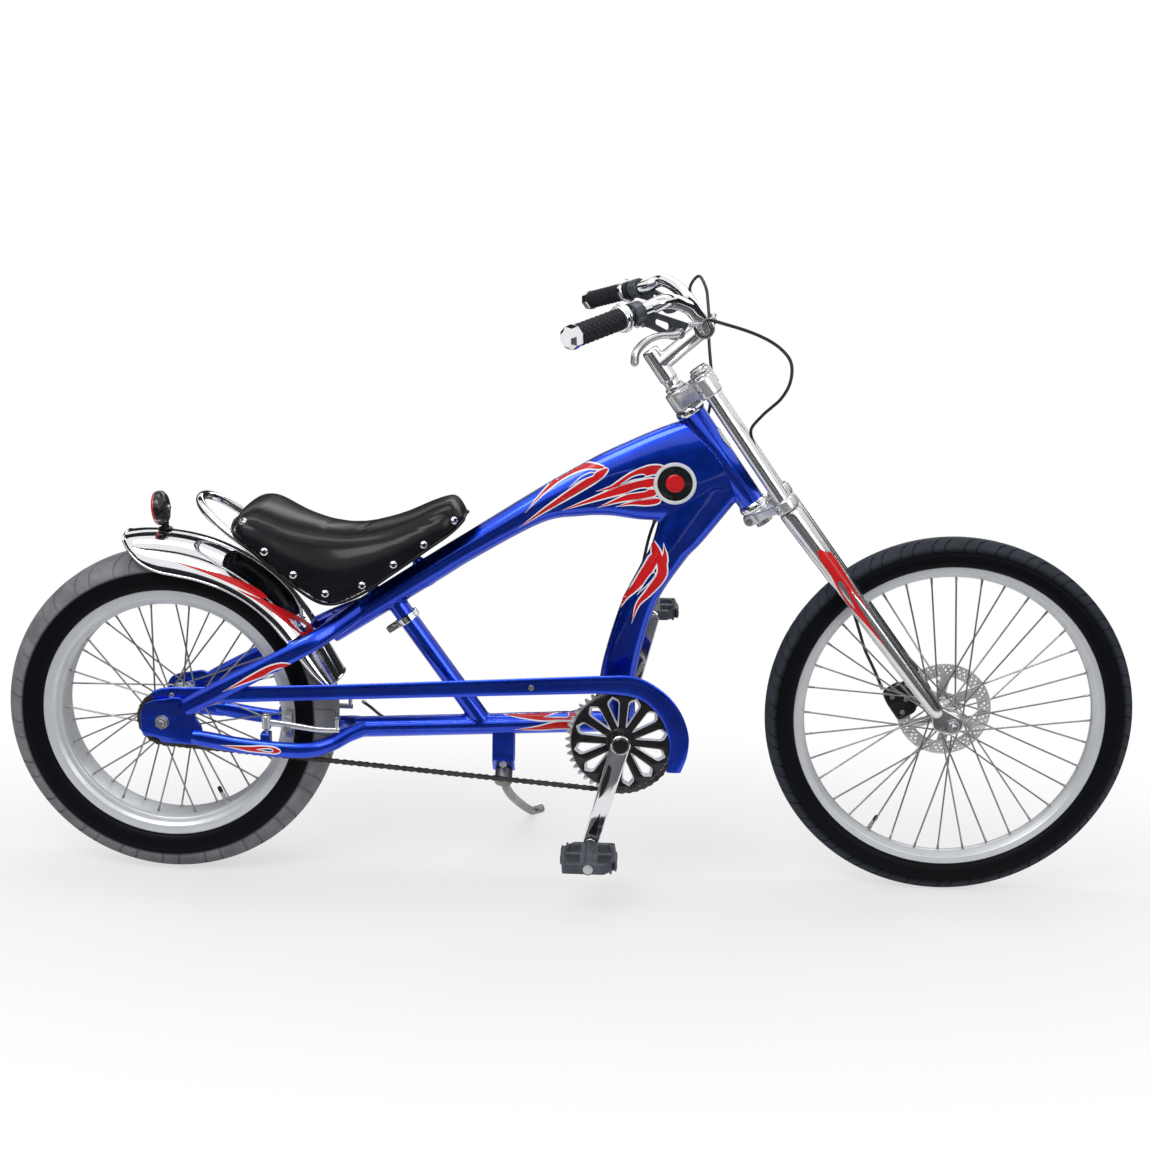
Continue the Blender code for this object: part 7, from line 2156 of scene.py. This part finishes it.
def buildRearBrake(name, side):
    pivot = brakePivot(side)
    route = [pivot + Vector(p) for p in (
        (0.002, 0, 0), (0.04, 0, -0.004), (0.085, 0, -0.01), (0.122, -side * 0.003, -0.011),
    )]
    blade = sweptMesh("blade", [(p, 0.0062 - 0.0006 * i, 0.0036) for i, p in enumerate(route)], 2.4, 28)
    foot = route[-1] + Vector((-0.004, 0, -0.002))
    face = brakePost["rimWidth"] / 2 + brakePost["gap"]
    radius = brakePost["rimRadius"] - brakePost["below"]
    pad = fromRear(radius, side * (face + 0.0045), -0.009)
    postEnd = Vector((pad.x, side * (abs(pivot.y) + 0.006), pad.z))
    collar = [
        (0.0051, -0.011), (0.007, -0.011), (0.0078, -0.01), (0.0078, 0.011), (0.007, 0.012), (0.0051, 0.012),
    ]
    parts = [
        lathe("boss", pivot, collar, 40, zAxis), blade,
        rodMesh("stub", foot, foot + zAxis * 0.021, 0.0034, 24),
        (boltMesh("clamp", foot + zAxis * 0.0205, zAxis, 0.0048, 0.004, False), 2),
        (rodMesh("post", Vector((pad.x, side * (face + 0.006), pad.z)), postEnd, 0.004, 24), 2),
        (boltMesh("nut", postEnd - yAxis * side * 0.002, yAxis * side, 0.0062, 0.004, False), 2),
        boxMesh("shoe", (0.0115, 0.0035, 0.047), Matrix.Translation(pad + yAxis * side * 0.003), 0.0012),
        (boxMesh("pad", (0.01, 0.007, 0.044), Matrix.Translation(pad - yAxis * side * 0.001), 0.001), 1),
    ]
    addPiece(
        "brakeArm" + name.title(), parts, "alloy grip bolt", "rear_brake_" + name, ["brake_arm_" + name],
        sharp=35,
    )


cable = {
    "radius": 0.0026,
    "frontFromBar": [
        (-0.0015, -0.2, 0.0272), (0.0294, -0.185, 0.0193), (0.0641, -0.165, 0.008),
        (0.0933, -0.145, -0.0052), (0.1154, -0.125, -0.0202), (0.1317, -0.105, -0.0387),
        (0.137, -0.09, -0.0588), (0.1351, -0.07, -0.083), (0.125, -0.05, -0.1062), (0.0981, -0.02, -0.138),
    ],
    "frontSteering": [
        (0.064, 0.002, 0.59), (0.048, 0.011, 0.53), (0.045, 0.012, 0.48), (0.045, 0.012, 0.448),
        (0.048, 0.023, 0.395), (0.052, 0.0335, 0.33), (0.047, 0.0345, 0.28), (0.0354, 0.0345, 0.2207),
        (0.0186, 0.0345, 0.1625), (0.0127, 0.037, 0.1235), (0.006, 0.0395, 0.086),
    ],
    "rearFromBar": [
        (-0.019, 0.205, 0.0534), (-0.0052, 0.175, 0.0741), (0.0065, 0.15, 0.0555), (0.0122, 0.125, 0.0091),
        (0.013, 0.11, -0.0277),
    ],
    "rearFromHead": [
        (-0.0198, 0.1, 0.144), (-0.0158, 0.098, 0.107), (-0.0208, 0.084, 0.064), (-0.0428, 0.054, 0.016),
        (-0.0638, 0.03, -0.021),
    ],
    "frameFromHead": [(-0.0788, 0.0285, -0.046), (-0.1138, 0.0275, -0.136), (-0.1338, 0.0265, -0.236)],
    "frameFromBracket": [
        (-0.0154, 0.026, 0.1145), (-0.0554, 0.025, 0.0345), (-0.1354, 0.0225, 0.0085),
        (-0.2254, 0.0218, 0.0025), (-0.3155, 0.0218, -0.0015),
    ],
    "frameFromAxle": [(0.3602, 0.0235, -0.0168), (0.3301, 0.036, -0.0008), (0.3142, 0.056, 0.0022)],
}


def buildCables():
    def moved(key, base):
        return [base + Vector(p) for p in cable[key]]

    def leadOut(side):
        inner, outer = (nearGrip(side, *spot) for spot in perchForm["barrel"])
        way = (outer - inner).normalized()
        return [outer + way * 0.0003, outer + way * 0.01]

    front = leadOut(-1) + moved("frontFromBar", barMiddle) + [steering(*p) for p in cable["frontSteering"]]
    fork = leadOut(1) + moved("rearFromBar", barMiddle) + moved("rearFromHead", headMiddle)
    way = (fork[-1] - fork[-2]).normalized()
    frameRun = [fork[-1] + way * 0.0015] + moved("frameFromHead", headMiddle)
    frameRun += moved("frameFromBracket", bracket) + moved("frameFromAxle", rearAxle)
    for title, route, coarse, body, stands in (
        ("frontCable", front, 0.033, "fork", "front_brake_cable"),
        ("rearCableFork", fork, 0.033, ("fork", "frame", fork[-5], fork[-1]), "rear_brake_cable_front"),
        ("rearCableFrame", frameRun, 0.045, "frame", "rear_brake_cable"),
    ):
        path = curveThrough(curveThrough(route, coarse), 0.006)
        parts = [tubeMesh("sheath", path, cable["radius"], 16)]
        for tip, near in ((path[0], path[2]), (path[-1], path[-3])):
            run = (near - tip).normalized()
            parts.append((
                lathe("ferrule", tip, [
                    (0, 0), (0.0031, 0), (0.0034, 0.0012), (0.0034, 0.01), (0.003, 0.0112), (0, 0.0112),
                ], 20, run),
                1,
            ))
        addPiece(title, parts, "sheath bolt", body, [stands], sharp=45)
    # clips hold the rear cable to the frame
    clips = []
    for share in (0.12, 0.34, 0.62, 0.8):
        spot = path[int(len(path) * share)]
        ahead = (path[int(len(path) * share) + 1] - spot).normalized()
        clips.append(lathe("clip", spot, [
            (0.0027, -0.0035), (0.0038, -0.0035), (0.0038, 0.0035), (0.0027, 0.0035),
        ], 20, ahead))
    addPiece("cableClips", clips, "bolt", "frame", sharp=35)


buildCaliper()
buildKickstand()
for name, side in sides.items():
    buildRearBrake(name, side)
buildCables()
for slot in nodes["steerer_tube"].material_slots:
    slot.material = finishes["steel"].material
print("brakes, stand and cables built")


# Flames: every lick is a tapering blade laid on the paint

flameForm = {"cell": 0.003, "lift": 0.00026, "border": 0.0024}


def lickLoop(spine, width, grow=0.0):
    # outline round a bent spine that is widest near its root and runs out to a point
    path = finer(spine, step=0.004)
    left, right = [], []
    last = len(path) - 1
    for i, p in enumerate(path):
        along = path[min(i + 1, last)] - path[max(i - 1, 0)]
        along = along / np.linalg.norm(along)
        square = np.array([-along[1], along[0]])
        t = i / last
        swell = min(1.0, 0.1 + t / 0.1) ** 0.5
        half = width / 2 * swell * (1 - t) ** 0.75 * (
            0.8 + 0.45 * sin(pi * min(1, t * 1.25))
        ) + grow * (1 - t**6)
        left.append(p + square * half)
        right.append(p - square * half)
    tip = path[-1] + (path[-1] - path[-2]) / np.linalg.norm(path[-1] - path[-2]) * grow * 2.2
    root = path[0] - (path[1] - path[0]) / np.linalg.norm(path[1] - path[0]) * grow * 0.8
    return [tuple(root)] + [tuple(p) for p in left[:-1]] + [tuple(tip)] + [
        tuple(p) for p in reversed(right[:-1])
    ]


def laidOn(tree, loop, lift, side):
    # the filled outline cut into small cells and pressed onto the surface seen along y
    mesh = plateMesh("fill", loop, Matrix.Identity(4), 0.0, bevel=0.0, bevelSteps=0)
    bm = bmesh.new()
    bm.from_mesh(mesh)
    bpy.data.meshes.remove(mesh)
    flat = np.array(loop)
    for axis in (0, 1):
        normal = (1, 0, 0) if axis == 0 else (0, 1, 0)
        for place in np.arange(
            flat[:, axis].min() + flameForm["cell"], flat[:, axis].max(), flameForm["cell"]
        ):
            spot = (place, 0, 0) if axis == 0 else (0, place, 0)
            bmesh.ops.bisect_plane(
                bm, geom=bm.verts[:] + bm.edges[:] + bm.faces[:], plane_co=spot, plane_no=normal
            )
    bmesh.ops.triangulate(bm, faces=bm.faces[:])
    lost = []
    for vertex in bm.verts:
        hit, normal = struck(tree, vertex.co.x, vertex.co.y, side)
        if hit is None or normal.y * side < 0.08:
            lost.append(vertex)
        else:
            vertex.co = hit + normal * lift
    bmesh.ops.delete(bm, geom=lost, context="VERTS")
    for face in bm.faces:
        face.normal_update()
        if face.normal.y * side < 0:
            face.normal_flip()
    return freed("laid", bm)


def addFlames(name, piece, body, licks, holes, look, sideList):
    tree = treeOf(piece)
    lift = flameForm["lift"]
    parts = []
    for side in sideList:
        for spine, width in licks:
            parts.append(laidOn(tree, lickLoop(spine, width, flameForm["border"]), lift, side))
            parts.append((laidOn(tree, lickLoop(spine, width), lift * 2, side), 1))
        for spine, width in holes:
            parts.append(laidOn(tree, lickLoop(spine, width, flameForm["border"] * 0.8), lift * 3, side))
            parts.append((laidOn(tree, lickLoop(spine, width), lift * 4, side), 2))
    addPiece(name, parts, look, body, sharp=None)


# spines and widths of the licks and of the holes in them, root first, as (x, z) on the paint
flames = {
    "backbone": (
        [
            ([(0.062, 0.716), (0.04, 0.699), (0.004, 0.675), (-0.04, 0.645), (-0.08, 0.615)], 0.013),
            ([(0.056, 0.718), (0.024, 0.718), (-0.012, 0.7), (-0.044, 0.672), (-0.07, 0.642)], 0.0085),
        ],
        [([(0.04, 0.708), (0.022, 0.7), (0.002, 0.686)], 0.005)],
    ),
    "web": (
        [
            ([(0.16, 0.716), (0.134, 0.716), (0.102, 0.704), (0.07, 0.686), (0.047, 0.679)], 0.016),
            ([(0.148, 0.698), (0.122, 0.692), (0.084, 0.681), (0.038, 0.664), (-0.008, 0.646)], 0.015),
            ([(0.146, 0.68), (0.118, 0.674), (0.086, 0.666), (0.05, 0.652)], 0.013),
            ([(0.15, 0.666), (0.128, 0.662), (0.104, 0.66), (0.08, 0.654)], 0.01),
        ],
        [
            ([(0.124, 0.706), (0.106, 0.702), (0.086, 0.692)], 0.005),
            ([(0.128, 0.684), (0.108, 0.68), (0.09, 0.674)], 0.0044),
        ],
    ),
    "downTube": (
        [
            ([(0.15, 0.56), (0.143, 0.586), (0.134, 0.602)], 0.017),
            ([(0.156, 0.552), (0.16, 0.574), (0.158, 0.59)], 0.012),
            ([(0.146, 0.576), (0.132, 0.548), (0.114, 0.52), (0.098, 0.5), (0.086, 0.476)], 0.017),
            ([(0.152, 0.574), (0.156, 0.542), (0.136, 0.512), (0.118, 0.49), (0.109, 0.46)], 0.016),
        ],
        [([(0.144, 0.544), (0.131, 0.526), (0.118, 0.508)], 0.006)],
    ),
    "bottomTube": (
        [
            ([(0.026, 0.29), (-0.008, 0.29), (-0.046, 0.286), (-0.102, 0.286)], 0.015),
            ([(0.024, 0.274), (-0.01, 0.274), (-0.044, 0.268), (-0.082, 0.264)], 0.012),
        ],
        [([(0.006, 0.29), (-0.014, 0.289), (-0.034, 0.286)], 0.0044)],
    ),
    "seatStay": (
        [
            ([(-0.452, 0.386), (-0.48, 0.38), (-0.515, 0.364), (-0.562, 0.34)], 0.013),
            ([(-0.456, 0.378), (-0.476, 0.368), (-0.504, 0.354)], 0.008),
        ],
        [([(-0.464, 0.38), (-0.48, 0.3745), (-0.496, 0.367)], 0.004)],
    ),
    "chainStay": ([
        ([(-0.472, 0.237), (-0.496, 0.24), (-0.526, 0.2405), (-0.568, 0.245)], 0.0105)
    ], [([(-0.484, 0.2385), (-0.496, 0.2395), (-0.508, 0.24)], 0.0034)]),
    "leg": (
        [
            ([(0.406, 0.601), (0.433, 0.57), (0.464, 0.516), (0.522, 0.444)], 0.021),
            ([(0.422, 0.598), (0.442, 0.568), (0.47, 0.53), (0.494, 0.5)], 0.01),
        ],
        [([(0.442, 0.55), (0.454, 0.53), (0.468, 0.508)], 0.0042)],
    ),
    "fender": (
        [
            ([(-0.426, 0.424), (-0.454, 0.452), (-0.496, 0.483), (-0.544, 0.508)], 0.0155),
            ([(-0.496, 0.492), (-0.534, 0.513), (-0.58, 0.531), (-0.644, 0.55)], 0.0112),
        ],
        [([(-0.436, 0.434), (-0.449, 0.447), (-0.46, 0.456)], 0.005)],
    ),
}
badge = {
    "middle": (0.173, 0.6945), "around": 72,
    # radius and height over the paint: bare rim, dark face, plain red dome
    "rim": [(0.0352, -0.0012), (0.035, 0.0008), (0.0343, 0.0015), (0.0298, 0.0015), (0.029, 0.0008)],
    "face": [(0.0292, 0.0007), (0.0272, 0.0008), (0.02, 0.0009), (0.015, 0.0009)],
    "dome": [(0.0152, 0.0008), (0.0146, 0.0018), (0.011, 0.0026), (0.006, 0.003), (0.0004, 0.0031)],
}


def buildFlames():
    areas = [(
        area, mainFrame, "frame", "white red blue", (-1, 1)
    ) for area in ("backbone", "web", "downTube", "bottomTube")]
    areas.append(("fender", fenderPiece, "frame", "chrome red chrome", (-1, 1)))
    for name, side in sides.items():
        areas.append(("seatStay", stays["seat" + name], "frame", "white red blue", (side,)))
        areas.append(("chainStay", stays["chain" + name], "frame", "white red blue", (side,)))
        areas.append(("leg", forkLegs[name], "fork", "forkChrome red forkChrome", (side,)))
    for area, piece, body, look, sideList in areas:
        title = "flames" + area[0].upper() + area[1:] + piece.name
        addFlames(title, piece, body, *flames[area], look, sideList)


def buildBadges():
    # round bare badges pressed onto both faces of the web
    tree = treeOf(mainFrame)
    parts = []
    for side in (-1, 1):
        x, z = badge["middle"]
        normals = [struck(tree, x + a, z + b, side)[1] for a, b in circleLoop(0.03, 12)]
        out = sum(normals, Vector()).normalized()
        for slot, key in enumerate(("rim", "face", "dome")):
            rows = []
            for radius, height in badge[key]:
                ring = circleLoop(radius, badge["around"])
                rows.append([struck(tree, x + a, z + b, side)[0] + out * height for a, b in ring])
            parts.append((gridMesh(key, rows, caps=key == "dome"), slot))
    addPiece("badgeBare", parts, "badgeRim badgeFace red", "frame", sharp=50)


buildFlames()
buildBadges()
print("flames laid")


# Camera, light and floor

def lookFrom(place, yaw, pitch, roll):
    ahead = Vector((-sin(yaw) * cos(pitch), cos(yaw) * cos(pitch), -sin(pitch)))
    right = Vector((cos(yaw), sin(yaw), 0))
    up = right.cross(ahead)
    across = right * cos(roll) + up * sin(roll)
    over = -right * sin(roll) + up * cos(roll)
    matrix = Matrix((across, over, -ahead)).transposed().to_4x4()
    matrix.translation = place
    return matrix


view = {"lens": 53.83, "place": (0.1112, -2.8037, 1.1621), "yaw": 0.0356, "pitch": 0.221, "roll": 0.0194}


def buildCamera():
    camera = bpy.data.cameras.new("camera")
    camera.lens = view["lens"]
    camera.sensor_width = 36
    camera.clip_end = 200
    eye = placed("camera", camera)
    eye.matrix_world = lookFrom(Vector(view["place"]), view["yaw"], view["pitch"], view["roll"])
    bpy.context.scene.camera = eye


lamps = {  # place, width, height, power, aim
    "key": ((-1.2, -2.2, 3.2), 2.4, 1.2, 58, (0.0, 0.0, 0.5)),
    "fill": ((2.4, -2.8, 1.7), 1.8, 1.8, 26, (0.2, 0.0, 0.5)),
    "top": ((0.0, 0.5, 3.6), 3.4, 0.7, 34, (0.0, 0.0, 0.4)),
    "back": ((0.6, 3.2, 1.8), 3.0, 1.6, 26, (0.0, 0.0, 0.5)),
}
worldFill = 0.42
# grey cloths that only polished surfaces mirror: place, width, depth, tilt about x and y, darkest and palest
groundTones = ((0.06, 0.062, 0.066), (0.2, 0.2, 0.205))
wallTones = ((0.012, 0.013, 0.016), (0.05, 0.052, 0.058))
cloths = {
    "groundAhead": ((0.0, -1.75, 0.015), 7.0, 2.4, 0, 0, groundTones),
    "groundBehind": ((0.0, 1.75, 0.015), 7.0, 2.4, 0, 0, groundTones),
    "wallAhead": ((0.0, -3.3, 0.62), 9.0, 1.2, 90, 0, wallTones),
    "wallBehind": ((0.0, 3.3, 0.96), 9.0, 1.88, 90, 0, wallTones),
    "wallRear": ((-3.6, 0.0, 0.96), 1.88, 7.0, 0, 90, wallTones),
    "wallFront": ((3.6, 0.0, 0.96), 1.88, 7.0, 0, 90, wallTones),
    "overBehind": ((0.0, 2.5, 3.2), 8.0, 1.3, -50, 0, wallTones),
    "overAhead": ((0.3, -1.5, 4.2), 6.0, 0.45, 20, 0, wallTones),
}


def buildLight():
    for name, (place, width, height, power, aim) in lamps.items():
        light = bpy.data.lights.new(name, "AREA")
        light.shape = "RECTANGLE"
        light.size = width
        light.size_y = height
        light.energy = power
        lamp = placed(name, light)
        lamp.matrix_world = Matrix.Translation(place) @ (
            Vector(aim) - Vector(place)
        ).to_track_quat("-Z", "Y").to_matrix().to_4x4()
    sky = bpy.data.worlds.new("studio")
    bpy.context.scene.world = sky
    sky.use_nodes = True
    wiring = Wiring(sky.node_tree)
    surface = sky.node_tree.nodes["Background"]
    wiring.plug(surface, "Color", (1, 1, 1))
    wiring.plug(surface, "Strength", wiring.seen() * (1 - worldFill) + worldFill)


def stagePlane(name, width, depth, place, look):
    bm = bmesh.new()
    bmesh.ops.create_grid(bm, x_segments=1, y_segments=1, size=0.5)
    bmesh.ops.scale(bm, vec=(width, depth, 1), verts=bm.verts)
    plane = placed(name, meshOf(name, bm))
    plane.matrix_world = place
    plane.data.materials.append(look.material)
    return plane


def buildCloths():
    for name, (place, width, depth, tiltX, tiltY, tones) in cloths.items():
        cloth = Finish(name, Roughness=1.0, Specular_IOR_Level=0.0)
        cloth.put("Base Color", cloth.ramp(cloth.noise(1.5, 3), [(0.35, tones[0]), (0.65, tones[1])]))
        turn = Matrix.Rotation(radians(tiltX), 4, "X") @ Matrix.Rotation(radians(tiltY), 4, "Y")
        plane = stagePlane(name, width, depth, Matrix.Translation(place) @ turn, cloth)
        for ray in ("camera", "diffuse", "shadow", "transmission", "volume_scatter"):
            setattr(plane, "visible_" + ray, False)


def buildFloor():
    look = Finish("paleFloor", Roughness=0.9, Specular_IOR_Level=0.1)
    look.put("Base Color", look.ramp(look.noise(3, 2), [(0.3, (0.66, 0.66, 0.66)), (0.7, (0.7, 0.7, 0.7))]))
    # the floor turns into the white backdrop away from the bike
    far = look.vector("LENGTH", look.vector("MULTIPLY", look.place(), (0.55, 1.2, 0)))
    share = look.node(
        "ShaderNodeMapRange", {"interpolation_type": "SMOOTHSTEP"},
        {"Value": far, "From Min": 0.25, "From Max": 1.05, "To Min": 0.62, "To Max": 1.0},
    )
    glow = look.node("ShaderNodeEmission", None, {"Strength": 1.0})
    paint = Wire(look.shader.outputs[0])
    mixed = look.node("ShaderNodeMixShader", None, {0: look.seen() * share, 1: paint, 2: glow})
    look.plug(look.tree.nodes["Material Output"], "Surface", mixed)
    stagePlane("floor", 80, 80, Matrix.Identity(4), look)


buildCamera()
buildLight()
buildFloor()
buildCloths()
bpy.context.scene.view_settings.view_transform = "Standard"
print("camera, lights and floor placed")
